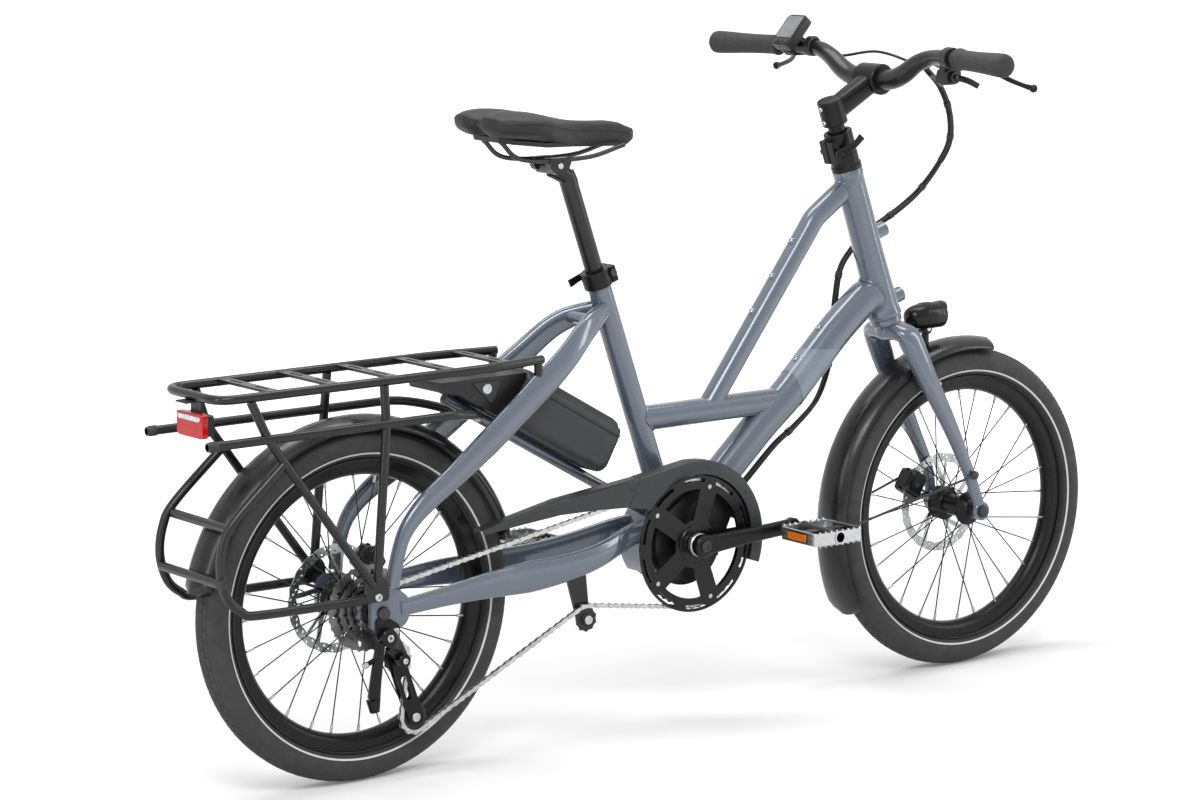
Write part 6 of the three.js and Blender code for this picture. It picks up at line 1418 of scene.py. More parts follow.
def rack_deck():
    form = Form().tube(deck_path(), oval(RACK, RACK, 20), side=(0, 0, 1))
    for x in SLATS:
        outline = rectangle(18, 2 * (75 - RACK / 2), 3, x, 0, 3)
        slots = [rectangle(5, 34, 2.4, x, side * 34, 4) for side in (-1, 1)]
        form.plate(outline, 586.6, 590.5, slots, place=lambda x, y, z: (x, z, y))
    for side in (-1, 1):
        form.tube([(285.4, side * 58, 560), (285.4, side * 58, 584)], oval(6.4, 6.4, 20), side=(1, 0, 0))
    made("rack_deck_loop", form, "powder", "frame", ["rack_deck"], bevel=0.5, sharp=45)


def rack_sides():
    cross_back = sqrt((FENDER_CROWN + 5.7) ** 2 - (336 - 256) ** 2)
    for side, name in SIDE_NAMES.items():
        form = Form()
        hung = lambda x, y, drop: vec(x, side * y, DECK_UP - drop)
        for spots in ([hung(10, 75, 6), hung(8, 82, 62), vec(-14, side * 84, 300)],
                [hung(-206, 75, 6), hung(-185, 83, 60), vec(-21, side * 84, 300)]):
            form.tube(bent(spots, 20, 6), oval(RACK, RACK, 20))
        end_out = 8.5 + GAP + 7.62
        rail = [hung(-281, 83, 59.5), hung(132, 83, 59.5), hung(178, 60, 69), hung(208, end_out, 81)]
        form.tube(bent(rail, 34, 8), oval(RACK, RACK, 20))
        form.tube(smooth([(x, side * 83, z) for x, z in HOOP], 60), oval(RACK, RACK, 20))
        if side < 0:
            form.tube([(-247, -83, 408), (-247, 74, 408)], oval(RACK, RACK, 20), side=(0, 0, 1))
            form.tube([(-cross_back, -99, 336), (-cross_back, 76, 336)], oval(RACK, RACK, 20), side=(0, 0, 1))
        foot = rounded([(-34, 276), (4, 276), (4, 300), (-4, 311), (-26, 311), (-34, 300)], 7, 6)
        form.plate(foot, side * 81.5, side * 86.5)
        form.disc(8, side * 76.4, side * 84, (-15, 0, 283), stations=28)
        made("rack_" + name + "_side_tubes", form, "powder", "frame",
            ["rack_" + name + "_side"], bevel=0.5, sharp=45)
    caps = [((-277.8, side * 83, 526.5), facing((-1, 0, 0))) for side in (-1, 1)]
    caps += [((-cross_back, -96, 336), facing((0, -1, 0), (0, 0, 1)))]
    copied("rack_end_caps", lambda k: k.turned([(0, 3.2), (4.6, 3.2), (6.6, 1.4), (7.6, -2), (7.6, -11),
        (7.2, -12), (0, -12)], axis=(0, 0, 1), stations=20, closed=False), caps, "grip", "frame")
    bolts = [((-15, side * 86.5, 283), sideways(side)) for side in (-1, 1)]
    copied("rack_foot_bolts", hex_bolt(6, 4), bolts, "silver", "frame")
    spots = [((x, side * 66, 590.5), facing((0, 0, 1), (1, 0, 0))) for x in SLATS for side in (-1, 1)]
    copied("slat_rivets", hex_bolt(3.2, 0.1, 0.4), spots, "dark", "frame")


def tail_light():
    place = lambda x, y, z: vec(y, x, z)
    form = Form().plate(rectangle(70, 34, 6, 0, 545, 6), -260, -251, place=place)
    form.plate(rectangle(66, 30, 5, 0, 545, 6), -251, -240, place=place, look=1)
    form.plate(rectangle(58, 7, 2.5, 0, 555, 4), -262, -259, place=place, look=2)
    form.block((2.4, 28, 34), (-248, 0, 563), look=1)
    form.block((36, 28, 2.4), (-255, 0, 578), look=1)
    made("tail_light_body", form, "red black lamp", "frame", ["tail_light"], bevel=1.0, sharp=40)


# Cables

LOOM = ((1046, -30, 962), (1076, -30, 932), (1098, -27, 890), (1103, -22, 846), (1090, -10, 808),
    (1067, 8, 768), (1040, 24, 740), (1004, 32, 718), (978, 33, 704))
BRANCHES = (
    ((978, -155.8, 982), (996, -120, 972), (1022, -74, 972), (1046, -34, 961), (1056, -30, 953)),
    ((979, 164.4, 984), (998, 120, 976), (1026, 60, 984), (1048, -6, 966), (1058, -29, 951)),
    ((979, -149.8, 960), (1004, -116, 944), (1034, -64, 950), (1056, -32, 950), (1062, -30, 946)),
)
FRAME_ROUTE = ((977.2, 33, 703.5), (946, 31.5, 680), (924, 30.6, 652), (914, 30.4, 606), (908, 30.4, 550),
    (899, 30.4, 500), (873, 28, 452), (823, 20, 418), (778, 12, 396), (724, 10, 352), (690, 8, 326))


def strands(form, path, count=4, spread=3.0, radius=2.1, twist=1.6, look=0):
    """Several thin jackets side by side along one route, slowly winding."""
    path = np.array(path, float)
    last = len(path) - 1
    for n in range(count):
        line = []
        for i, p in enumerate(path):
            along = unit(path[min(i + 1, last)] - path[max(i - 1, 0)])
            across = unit(vec(0, 1, 0) - along * along[1])
            up = np.cross(along, across)
            a = n / count * 2 * pi + twist * i / last
            line.append(p + spread * (cos(a) * across + sin(a) * up))
        form.tube(line, radius, look=look)
    return form


def cable_pieces():
    whole = smooth(LOOM, 90)
    split = 45
    upper = Form()
    strands(upper, whole[:split + 1], twist=0.8)
    for route in BRANCHES:
        upper.tube(smooth(route, 30), 2.3)
    lower = Form()
    strands(lower, whole[split:], twist=0.8)
    for i in (20, 34):
        wrap(upper, whole, i)
    for i in (58, 76):
        wrap(lower, whole, i)
    one, other = (placed("control_cables_" + part, mesh_of("control_cables_" + part, form, "jacket black"))
        for part, form in (("upper", upper), ("lower", lower)))
    metres = lambda place: Vector(in_metres(place))
    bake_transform(one, "bars", "fork_assembly", metres(whole[8]), metres(whole[split - 3]))
    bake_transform(other, "fork_assembly", "frame", metres(whole[split + 3]), metres(whole[-4]))
    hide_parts("control_cables")
    frame_line = smooth(FRAME_ROUTE, 110)
    low = strands(Form(), frame_line, twist=2.4)
    for i in (18, 48, 78):
        wrap(low, frame_line, i)
    made("frame_cables_bundle", low, "jacket black", "frame", ["frame_cables"])


def wrap(form, path, i):
    """Short clip round the bundle at one place of its route."""
    form.tube([path[i - 1], path[i], path[i + 1]], oval(5.9, 5.9, 20), look=1)


# Motor, chain case, battery and holder

def motor_piece():
    hole = circle(CRANK[::2], 12, 40)
    form = Form().plate(motor_outline(0, 48), -31, 31, [hole])
    for side in (-1, 1):
        form.plate(motor_outline(-7, 48), side * 31, side * 38.6, [hole])
        form.plate(motor_outline(-22, 40), side * 38, side * 40, [hole])
        form.turned([(12.4, side * 39), (24, side * 39), (24, side * 40.8), (23.2, side * 41.6),
            (12.4, side * 41.6)], CRANK, stations=48, closed=True)
    made("motor_housing", form, "black", "frame", ["motor"], bevel=1.6, sharp=30, segments=3)
    ribs, screws = [], []
    for side in (-1, 1):
        for i in range(14):
            a = i / 14 * 2 * pi
            out = vec(cos(a), 0, sin(a))
            ribs.append((vec(MOTOR_MAIN[0], side * 40.0, MOTOR_MAIN[1]) + out * 35,
                facing(out, (0, side, 0))))
        loop = motor_outline(-3.5, 9)
        for x, z in loop[::3]:
            screws.append((vec(x, side * 31, z), sideways(side)))
    copied("motor_ribs", lambda k: k.skin([[(x, y, z) for x, y in rectangle(2.6, 1.9, 0.7, steps=2)]
        for z in (-9, 9)]), ribs, "black", "frame")
    copied("motor_screws", hex_bolt(3.4, 2.6), screws, "dark", "frame")


def chain_case_piece():
    """Hollow cover, open below, swept along its upper edge."""
    around = lambda radius, degrees: polar(CRANK[::2], radius, radians(degrees))
    pairs = [((180, 350), (180, 343)), ((248, 363.6), (248, 349.4)), ((316, 377), (316, 355)),
        ((388, 384.6), (388, 353.8)), ((462, 392), (440, 350.4)), ((506, 398.6), (464, 345.8))]
    steps = 40
    for i in range(steps + 1):
        pairs.append((around(127, 97 - 117 * i / steps), around(106, 143 - 163 * i / steps)))

    def section(top, low, grow, wall=2.6, corner=4.0):
        top, low = vec(*top), vec(*low)
        up = unit(top - low)
        points = []

        def at(y, p):
            points.append((p[0], y, p[1]))

        outer, inner = -66.0 - grow, -40.6 + grow
        edge = top + up * grow
        at(outer, low)
        for a in np.linspace(0, pi / 2, 5):
            at(outer + corner * (1 - cos(a)), edge - up * corner * (1 - sin(a)))
        for a in np.linspace(pi / 2, 0, 5):
            at(inner - corner * (1 - cos(a)), edge - up * corner * (1 - sin(a)))
        at(inner, low)
        at(inner - wall, low)
        depth = min(wall + grow, np.linalg.norm(edge - low) * 0.5)
        at(inner - wall, edge - up * depth)
        at(outer + wall, edge - up * depth)
        at(outer + wall, low)
        return points

    form = Form().skin([section(*pair, 0, corner=min(4.0,
        np.linalg.norm(vec(*pair[0]) - vec(*pair[1])) * 0.45)) for pair in pairs[:5]])
    form.skin([section(*pair, 0) for pair in pairs[3:]])
    form.skin([section(*pair, 0.6) for pair in pairs[4:9]])
    made("chain_case_cover", form, "grey", "frame", ["chain_case"], bevel=0.4, sharp=32)
    spots = [(vec(x, -66, z), sideways(-1)) for x, z in (around(116, 78), around(116, 36), around(116, -8),
        (448, 377), (300, 364))]
    copied("chain_case_screws", hex_bolt(3.2, 0.6), spots, "dark", "frame")


def battery_section(grow, low, high, foot, top, shrink_low, shrink_high):
    half = 44 - grow
    low, high = low + grow * shrink_low, high - grow * shrink_high
    return rounded([(-half + foot, low), (half - foot, low), (half, low + foot), (half, high - top),
        (half - top, high), (top - half, high), (-half, high - top), (-half, low + foot)], 5, 4)


def battery_piece():
    shell = [(91, 5), (92.5, 2.4), (96, 0.6), (101, 0), (272, 0), (282, 1.6), (288, 4.6), (291, 9), (292, 13)]

    def ring(along, *section):
        return [on_rail(along, up, out) for out, up in battery_section(*section)]

    form = Form().skin([ring(along, grow, 8.8, 67.8, 9, 1.2, 1, 0) for along, grow in shell])
    form.skin([ring(along, grow, 69.2, 92.8, 1.2, 15, 0, 1) for along, grow in shell])
    form.skin([ring(along, grow + 1.8, 40, 84, 1, 6, 0, 0) for along, grow in shell])
    made("battery_shell", form, "grey", "frame", ["battery"], bevel=0.5, sharp=36)
    ribs = [(on_rail(150 + 8 * i, 92.6, 0), facing(on_rail(0, 1) - on_rail(0, 0), (0, 1, 0)))
        for i in range(12)]
    copied("battery_ribs", lambda k: k.skin([[(x, y, -0.8) for x, y in rectangle(2.8, 44, 1.2, steps=3)],
        [(x, y, 0.7) for x, y in rectangle(2.0, 43, 0.9, steps=3)]]), ribs, "grey", "frame")


def holder_piece():
    face, low = on_rail(90.7, 9.1), on_rail(0, 9.1)
    rise = (566 - face[2]) / cos(RAIL_SLOPE)
    upper = on_rail(90.7, 9.1 + rise)
    outline = rounded([(125, 566), (125, 552), (low[0], low[2]), (face[0], face[2]), (upper[0], upper[2])], 6,
        5)
    form = Form().plate(outline, -38, 38)
    form.plate(rounded([(182, 560), (233, 560), (216, 526)], 6, 5), -37.5, -40.4, look=1)
    form.turned([(0, -40), (8, -40), (8, -41.6), (6.8, -42.4), (3, -42.6), (2.6, -41.8), (0, -41.8)],
        (207.5, 0, 549.8), stations=28, look=2, closed=False)
    made("battery_dock", form, "black grey silver", "frame", ["battery_holder"], bevel=1.2,
        sharp=30, segments=3)


# Lamp and brakes

def headlight_piece():
    form = Form()
    centre = (1073, 0, 569)
    body = [(0, -37), (9, -36.6), (14, -33.5), (17.2, -27), (19.4, -18), (21, -6), (21, 28), (20.4, 30.6),
        (19.4, 31), (18.2, 30.6), (18, 27), (0, 25.5)]
    form.turned(body, centre, (1, 0, 0), 56, closed=False)
    hood = []
    for radius, ahead in ((20.2, 26), (21.6, 26), (21.6, 35), (20.6, 37), (20.2, 36)):
        hood.append([vec(1073 + ahead - 9 * abs(sin(a))**3, radius * sin(a), 569 + radius * cos(a))
            for a in np.linspace(-1.45, 1.45, 33)])
    form.skin([[row[i] for row in hood] for i in range(33)])
    form.turned([(0, 33), (6, 32.8), (12, 31.9), (16.4, 30.2), (17.6, 28.6), (17.6, 26), (0, 26)], centre,
        (1, 0, 0), 48, look=1, closed=False)
    for place in (-8, -2, 4):
        form.turned([(20.6, place), (21.7, place + 0.6), (21.7, place + 2.2), (20.6, place + 2.8)], centre,
            (1, 0, 0), 56, closed=True)
    foot = 256 + sqrt(FENDER_CROWN**2 - 67**2) + 0.6
    form.tube([(1073, 0, foot), (1073, 0, 552), (1073, 0, 566)], oval(6, 6, 20), side=(1, 0, 0))
    form.disc(9, -8, 8, (1073, 0, 549), stations=28, edge=1)
    form.disc(4, -10.4, 10.4, (1073, 0, 549), stations=12, look=2, edge=0.5)
    made("headlight_body", form, "ring lamp silver", "fork_assembly", ["headlight"],
        bevel=0.4, sharp=36)


def caliper_piece(name, axle, offset, degrees, body):
    a = radians(degrees)

    def place(u, y, v):
        return vec(axle[0] + u * cos(a) - v * sin(a), offset + y, axle[2] + u * sin(a) + v * cos(a))

    form = Form()
    half = rounded([(54, -15), (60, -20), (86, -20), (92, -14), (92, 14), (86, 20), (60, 20), (54, 15)], 5, 4)
    for side in (-1, 1):
        form.plate(half, side * 1.95, side * 11.6, place=place)
        form.plate(circle((69, 0), 12.2, 36), side * 11, side * 13, place=place)
        form.plate(circle((69, 0), 5, 6), side * 12, side * 13.2, place=place, look=1)
        for v in (-14, 14):
            form.plate(circle((86, v), 4.4, 24), side * 11, side * 13, place=place, look=1)
    form.plate(rectangle(9, 38, 3, 87.5, 0, 4), -2.2, 2.2, place=place)
    made(name + "_body", form, "alloy dark", body, [name], bevel=0.9, sharp=34)


# Clamps, stem, bar and controls

BAR = on_steerer(920.66, 91.71)
BAR_SHARES = ((0, 0, 0), (0, 0.122, 0.024), (0, 0.209, 0.268), (-0.026, 0.305, 0.732), (-0.051, 0.407, 0.976),
    (0.256, 0.581, 1.024), (1, 1, 1))


def grip_line(side, out):
    start, end = BAR + vec(-10, 200, 42), BAR + vec(-39, 344, 41)
    place = start + (end - start) * (out - start[1]) / (end[1] - start[1])
    return np.array((place[0], side * place[1], place[2]))


def shifter_place():
    return grip_line(-1, 164) + vec(12, 0, -30)


def bar_piece():
    half = between(BAR, BAR + vec(-39, 344, 41), BAR_SHARES)
    path = smooth(sided(half[::-1], -1) + half[1:], 150)
    last = len(path) - 1

    def section(share):
        out = abs(path[round(share * last)][1])
        radius = 11.1 + 4.8 * np.interp(out, (0, 42, 72, 105, 140, 200), (1, 0.98, 0.85, 0.5, 0.15, 0))
        return oval(radius, radius, 28)

    made("handlebar_tube", Form().tube(path, section, side=(0, 0, 1)), "powder", "bars",
        ["handlebar"], sharp=50)
    form = Form()
    insert = [(0, 700), (12.4, 700), (13.2, 701), (13.2, 884), (19, 884), (20, 885), (20, 921), (18.6, 922.4),
        (6, 923), (4, 921.5), (0, 921.5)]
    form.turned(on_line(insert, STEER_UP, STEER_FOOT), STEER_FOOT, STEER_UP, 48, closed=False)
    start = on_steerer(903)
    form.tube([start + (BAR - start) * s for s in (0, 0.2, 0.55, 0.85, 1)],
        lambda share: oval(15 + 5 * share, 17.5 - 1.2 * share, 32, 0.7))
    form.disc(24, -24, 24, BAR, stations=64, edge=2)
    made("stem_arm", form, "alloy", "bars", ["stem"], bevel=0.8, sharp=36)
    ahead = unit(BAR - start)
    up = unit(np.cross(ahead, (0, 1, 0)))
    up = up if up[2] > 0 else -up
    spots = [(BAR + ahead * 21.6 + up * (k * 11) + vec(0, s * 16, 0), facing(ahead)) for k in (-1, 1)
        for s in (-1, 1)]
    spots += [(on_steerer(h, -19.6), facing(on_steerer(0, -1) - on_steerer(0))) for h in (892, 913)]
    copied("stem_bolts", hex_bolt(3.6, 2.4), spots, "silver", "bars")


def grip_piece(side):
    name = SIDE_NAMES[side]
    start, end = grip_line(side, 212), grip_line(side, 344)
    length = float(np.linalg.norm(end - start))
    swell = ((0, 16.2), (0.012, 17), (0.04, 17), (0.06, 15.6), (0.25, 15.2), (0.5, 15.8), (0.75, 17.2),
        (0.92, 17.9), (0.98, 17.4), (1, 16.2))
    curve = smooth([(share * length, radius, 0) for share, radius in swell], 60)
    profile = [(0, 0)] + [(radius, at) for at, radius, _ in curve] + [(13.4, length + 3), (8, length + 4),
        (0, length + 4)]
    made(name + "_grip_sleeve", Form().turned(profile, start, end - start, 40, closed=False), "grip", "bars",
        [name + "_grip"], sharp=50)


def brake_piece(side):
    name = SIDE_NAMES[side]
    form = Form()
    start, end = grip_line(side, 180), grip_line(side, 196)
    length = float(np.linalg.norm(end - start))
    form.turned([(11.3, 0), (15.6, 0), (16.5, 1), (16.5, length - 1), (15.6, length), (11.3, length)], start,
        end - start, 40, closed=True)
    pivot = grip_line(side, 202) + vec(27, 0, -7)
    body = rectangle(31, 18, 5, pivot[0] - 8.5, side * 185, 4)
    flat = lambda x, y, z: vec(x, z, y)
    form.plate(body, pivot[2] - 8.6, pivot[2] + 8.6, place=flat)
    for end_ in (-1, 1):
        ear = rectangle(14, 21, 5, pivot[0], side * 199.5, 4)
        form.plate(ear, pivot[2] + end_ * 7.5 - 1.5, pivot[2] + end_ * 7.5 + 1.5, place=flat)
    form.disc(3.4, -9.6, 9.6, pivot, (0, 0, 1), 20, look=1, edge=0.6)
    tank = smooth([(pivot[0] - 5.8, side * 163, pivot[2] - 1), (pivot[0] - 5.8, side * 180, pivot[2]),
        (pivot[0] - 5.8, side * 194, pivot[2])], 10)
    form.tube(tank, lambda share: oval(6.4 + 1.6 * min(1, 6 * share), 6.4 + 1.6 * min(1, 6 * share), 24),
        side=(0, 0, 1))
    if side < 0:
        at = shifter_place()
        shell = rounded([(at[0] - 16, at[2] - 11), (at[0] + 9, at[2] - 11), (at[0] + 16, at[2] - 3),
            (at[0] + 15, at[2] + 11), (at[0] - 12, at[2] + 11)], 6, 5)
        form.plate(shell, at[1] - 12, at[1] + 12)
        form.plate(rectangle(17, 22, 4, at[0] - 4, at[2] + 15, 4), at[1] - 6, at[1] + 6)
        form.disc(3, at[1] - 21, at[1] - 10, (at[0], 0, at[2]), stations=20, look=1)
        form.plate(rectangle(22, 12, 3, at[0], at[1], 4), at[2] - 12.2, at[2] - 10.6, place=flat, look=2)
    made(name + "_brake_body", form, "black dark grey", "bars", [name + "_brake_mount"],
        bevel=1.0, sharp=34)
    tip = grip_line(side, 188) + vec(62, side * 116, -42)
    shares = ((0, 0, 0), (0.35, 0.2, 0.1), (0.72, 0.5, 0.6), (0.9, 0.8, 0.88), (1, 1, 1))
    path = smooth(between(pivot, tip, shares), 48)
    blade = Form().tube(path, lambda share: oval(4.6 - 1.2 * share + 1.6 * max(0, share - 0.85) / 0.15,
        2.7 + 0.3 * share, 20, 0.8), side=(0, 0, 1))
    ball = [(0, -6.3), (3.2, -5.5), (5.5, -3.2), (6.3, 0), (5.5, 3.2), (3.2, 5.5), (0, 6.3)]
    blade.turned(ball, tip, (0, 0, 1), 24, closed=False)
    blade.turned([(3.7, -4), (6.2, -4), (7, -3.2), (7, 3.2), (6.2, 4), (3.7, 4)], pivot, (0, 0, 1), 32,
        closed=True)
    made(name + "_brake_blade", blade, "alloy", "brake_lever_" + name, [name + "_brake_lever"],
        sharp=36)


def shift_lever_piece():
    at = shifter_place()
    form = Form().turned([(3.7, -12.4), (8, -12.4), (8.7, -13), (8.7, -16.8), (8, -17.4), (3.7, -17.4)], at,
        stations=32, closed=True)
    start, tip = at + vec(0, -14.8, 0), at + vec(26, -40, -14)
    middle = start + (tip - start) * 0.5 + vec(2, 0, 1.5)
    form.tube(smooth([start, middle, tip], 16), lambda share: oval(2.5, 4.4 + 0.5 * sin(pi * share), 20, 0.7))
    made("shift_lever_blade", form, "black", frame["nodes"]["shift_lever"]["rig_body"],
        ["shift_lever"], bevel=0.5, sharp=36)


def display_piece():
    centre = grip_line(1, 168) + vec(-22, 0, 22)
    turn = turn_about_y(-0.84)

    def place(x, y, z):
        return centre + turn @ vec(x, z, y)

    form = Form().plate(rectangle(60, 46, 9, steps=6), -7.4, 6.4, place=place)
    form.plate(rectangle(57, 43, 8, steps=6), 6, 7.6, place=place)
    form.plate(rectangle(42, 36, 3, 5, 0, 5), 7.2, 8.4, place=place, look=1)
    for y in (-11, 0, 11):
        form.plate(rectangle(7, 9, 2.6, -22, y, 4), 7.2, 8.6, place=place, look=2)
    start, end = grip_line(1, 142), grip_line(1, 154)
    form.turned([(11.3, 0), (15, 0), (16, 1), (16, 11), (15, 12), (11.3, 12)], start, end - start, 36,
        closed=True)
    form.tube([grip_line(1, 148), vec(centre[0] + 6, grip_line(1, 150)[1] + 4, centre[2] - 8)],
        oval(6, 2.8, 20, 0.6))
    made("display_unit", form, "black screen grey", "bars", ["display"], bevel=0.8, sharp=34,
        segments=3)


def clamp_piece(node, profile, line, foot, ears, skewer, half, side, body):
    """Split clamp ring with ears and its skewer; ears are two places ahead and two heights."""
    form = Form().turned(on_line(profile, line, foot), foot, line, 56, closed=True)
    near, far, low, high = ears
    for way in (-1, 1):
        inner, outer = way * 1.5, way * half
        ring = lambda height: [on_axis(foot, line, height, ahead, out)
            for ahead, out in ((near, inner), (far, inner), (far, outer), (near, outer))]
        form.skin([ring(low), ring(high)])
    place = on_axis(foot, line, *skewer, 0)
    form.disc(2.4, -half, half, place, stations=16, look=1)
    form.disc(6.2, -side * (half - 1), -side * (half + 4.6), place, stations=6, look=1, edge=0.6)
    made(node + "_ring", form, "alloy dark", body, [node], bevel=0.9, sharp=34)


def release_lever(node, centre, up, out, tip):
    place = np.array(centre) + vec(0, out, 0)
    form = Form().turned([(0, -5), (5.7, -5), (6.5, -4.2), (6.5, 4.2), (5.7, 5), (0, 5)], place, up, 28,
        closed=False)
    end = np.array(centre) + vec(*tip)
    middle = place + (end - place) * vec(0.5, 0.75, 0.45)
    form.tube(smooth([place, middle, end], 22), lambda share: oval(2.2, 6.4 - 1.0 * sin(pi * share), 24, 0.8))
    made(node + "_blade", form, "alloy", frame["nodes"][node]["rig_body"], [node], bevel=0.4,
        sharp=36)


def clamp_pieces():
    clamp_piece("seat_clamp", [(18.2, 674), (21.2, 674), (22, 674.8), (22, 697.2), (21.2, 698), (14, 698),
        (14, 683.4), (18.2, 683.4)], SEAT_UP, SEAT_FOOT, (16, 26, 674.5, 697.5), (689, 18.5), 17, 1, "frame")
    clamp_piece("post_clamp", [(16.3, 814.4), (24, 814.4), (24, 821), (23.2, 822), (22.5, 822.4), (22.5, 838),
        (21.9, 838.6), (21.9, 840), (22.5, 840.6), (22.5, 871), (21.6, 872), (16.3, 872)], STEER_UP,
        STEER_FOOT, (-28, -16, 830.5, 865.5), (848, -22), 15, -1, "fork_assembly")
    release_lever("seat_lever", on_seat_line(689, 18.5), SEAT_UP, 17 + 0.3 + 6.5, (-45, 29, -18))
    release_lever("post_lever", on_steerer(848, -22), STEER_UP, -15 - 0.3 - 6.5, (24, -46, 26))


# Seat

POST_TOP = on_seat_line(846)
SADDLE_ROWS = ((0, 0.3, 0.2, 0.3), (0.03, 0.7, 0.06, 0.7), (0.1, 0.92, 0, 0.92), (0.2, 1, 0, 0.98),
    (0.32, 0.9, 0.12, 0.98), (0.45, 0.62, 0.32, 0.95), (0.58, 0.38, 0.45, 0.92), (0.7, 0.27, 0.52, 0.88),
    (0.85, 0.22, 0.6, 0.86), (0.95, 0.17, 0.75, 0.74), (1, 0.05, 1, 0.3))


def seatpost_piece():
    form = Form().turned(on_line([(0, 505), (12.8, 505), (13.6, 506), (13.6, 838), (12.6, 846), (0, 846)],
        SEAT_UP, SEAT_FOOT), SEAT_FOOT, SEAT_UP, 48, closed=False)
    head = POST_TOP + vec(-27.8, 0, 13)
    form.tube(smooth([on_seat_line(820), on_seat_line(838), head + vec(4, 0, -6)], 12), oval(13.4, 13, 32))
    form.turned([(0, -26), (10.4, -26), (11.4, -25), (11.4, 25), (10.4, 26), (0, 26)], head + vec(0, 0, -2),
        stations=40, closed=False)
    for side in (-1, 1):
        form.plate(rounded([(head[0] - 20, head[2] + 5), (head[0] - 14, head[2] - 8),
            (head[0] + 14, head[2] - 8), (head[0] + 20, head[2] + 5), (head[0] + 17, head[2] + 12),
            (head[0] - 17, head[2] + 12)], 5, 4), side * 15, side * 26.6)
        rail = smooth([POST_TOP + vec(x, side * 22, z)
            for x, z in ((-129.8, 54.7), (-89.8, 26), (20.2, 22), (90.2, 36))], 40)
        form.tube(rail, oval(3.5, 3.5, 16), look=1)
    form.disc(4.6, -28.4, 28.4, head, stations=20, look=2, edge=0.8)
    made("seatpost_tube", form, "powder dark silver", "seat", ["seatpost"], bevel=0.5,
        sharp=38)


def saddle_piece():
    """Padded saddle with two rear lobes, a channel along the middle and a piped lower edge."""
    rear, length = POST_TOP[0] - 163.8, 284.0
    table = smooth([(w, h, 0) for w, h, _, _ in SADDLE_ROWS], 400)
    halves = lambda where: float(np.interp(where, table[:, 0], table[:, 1])) * 82
    column = lambda where, k: float(np.interp(where, [r[0] for r in SADDLE_ROWS],
        [r[k] for r in SADDLE_ROWS]))
    stations, sides = 72, 64
    rings = []
    for i in range(stations + 1):
        where = (1 - cos(i / stations * pi)) / 2
        half = max(halves(where), 2.0)
        top = POST_TOP[2] + 99 - 46 * sum(column(min(max(where + d, 0), 1), 2) for d in (-0.05, 0, 0.05)) / 3
        thick = 43 * sum(column(min(max(where + d, 0), 1), 3) for d in (-0.03, 0, 0.03)) / 3
        ring = []
        for k in range(sides):
            a = (k + 0.5) / sides * 2 * pi
            c, s = cos(a), sin(a)
            out = half * copysign(abs(c) ** 0.74, c)
            crown = s**0.66 if s > 0 else -((-s) ** 0.5)
            tuck = 1 + 0.18 * s if s < 0 else 1
            lift = top + thick / 2 * (crown - 1)
            x = rear + where * length
            if s > 0:
                fade = min(1, max(0, (0.82 - where) / 0.2)) * min(1, where / 0.02 + 0.3)
                lift -= 6.5 * exp(-(out / 10.5) ** 2) * fade * s
                lobe = max(0, 1 - where / 0.36)
                lift += 1.6 * lobe * (exp(-((abs(out) - 42) / 22) ** 2) - 0.4)
            x += 21 * exp(-(out / 15) ** 2) * max(0, 1 - where / 0.24) ** 2
            ring.append((x, out * tuck, min(lift, POST_TOP[2] + 99.9)))
        rings.append(ring)
    form = Form().skin(rings)
    piece = placed("saddle_cushion", mesh_of("saddle_cushion", form, "saddle", 80))
    finer = piece.modifiers.new("Finer", "SUBSURF")
    finer.levels = finer.render_levels = 1
    settle(piece, "seat", ["saddle"])
    trim = Form()
    for side in (-1, 1):
        k = 1 if side > 0 else sides // 2 - 2
        line = [np.array(ring[k]) + vec(0, side * 0.2, 0) for ring in rings[4:-3]]
        trim.tube(line, 0.9)
    trim.skin([[(POST_TOP[0] + x, s * w, POST_TOP[2] + z)
        for s, w in ((-1, w), (1, w))] + [(POST_TOP[0] + x, s * w, POST_TOP[2] + z - 7)
        for s, w in ((1, w - 4), (-1, w - 4))] for x, w, z in ((-140, 34, 62), (-120, 44, 58), (-60, 44, 50),
        (0, 24, 46), (60, 15, 42), (96, 11, 40))], look=1)
    made("saddle_shell", trim, "saddle black", "seat", bevel=0.5, sharp=40)


# Stage, light and camera

def rays_shown(nodes, link):
    """Share of light rays that see the white background: from the camera, mirrors and glass."""
    path = nodes.new("ShaderNodeLightPath")
    last = path.outputs["Is Camera Ray"]
    for kind in ("Is Glossy Ray", "Is Transmission Ray"):
        most = nodes.new("ShaderNodeMath")
        most.operation = "MAXIMUM"
        link(last, most.inputs[0])
        link(path.outputs[kind], most.inputs[1])
        last = most.outputs[0]
    return last


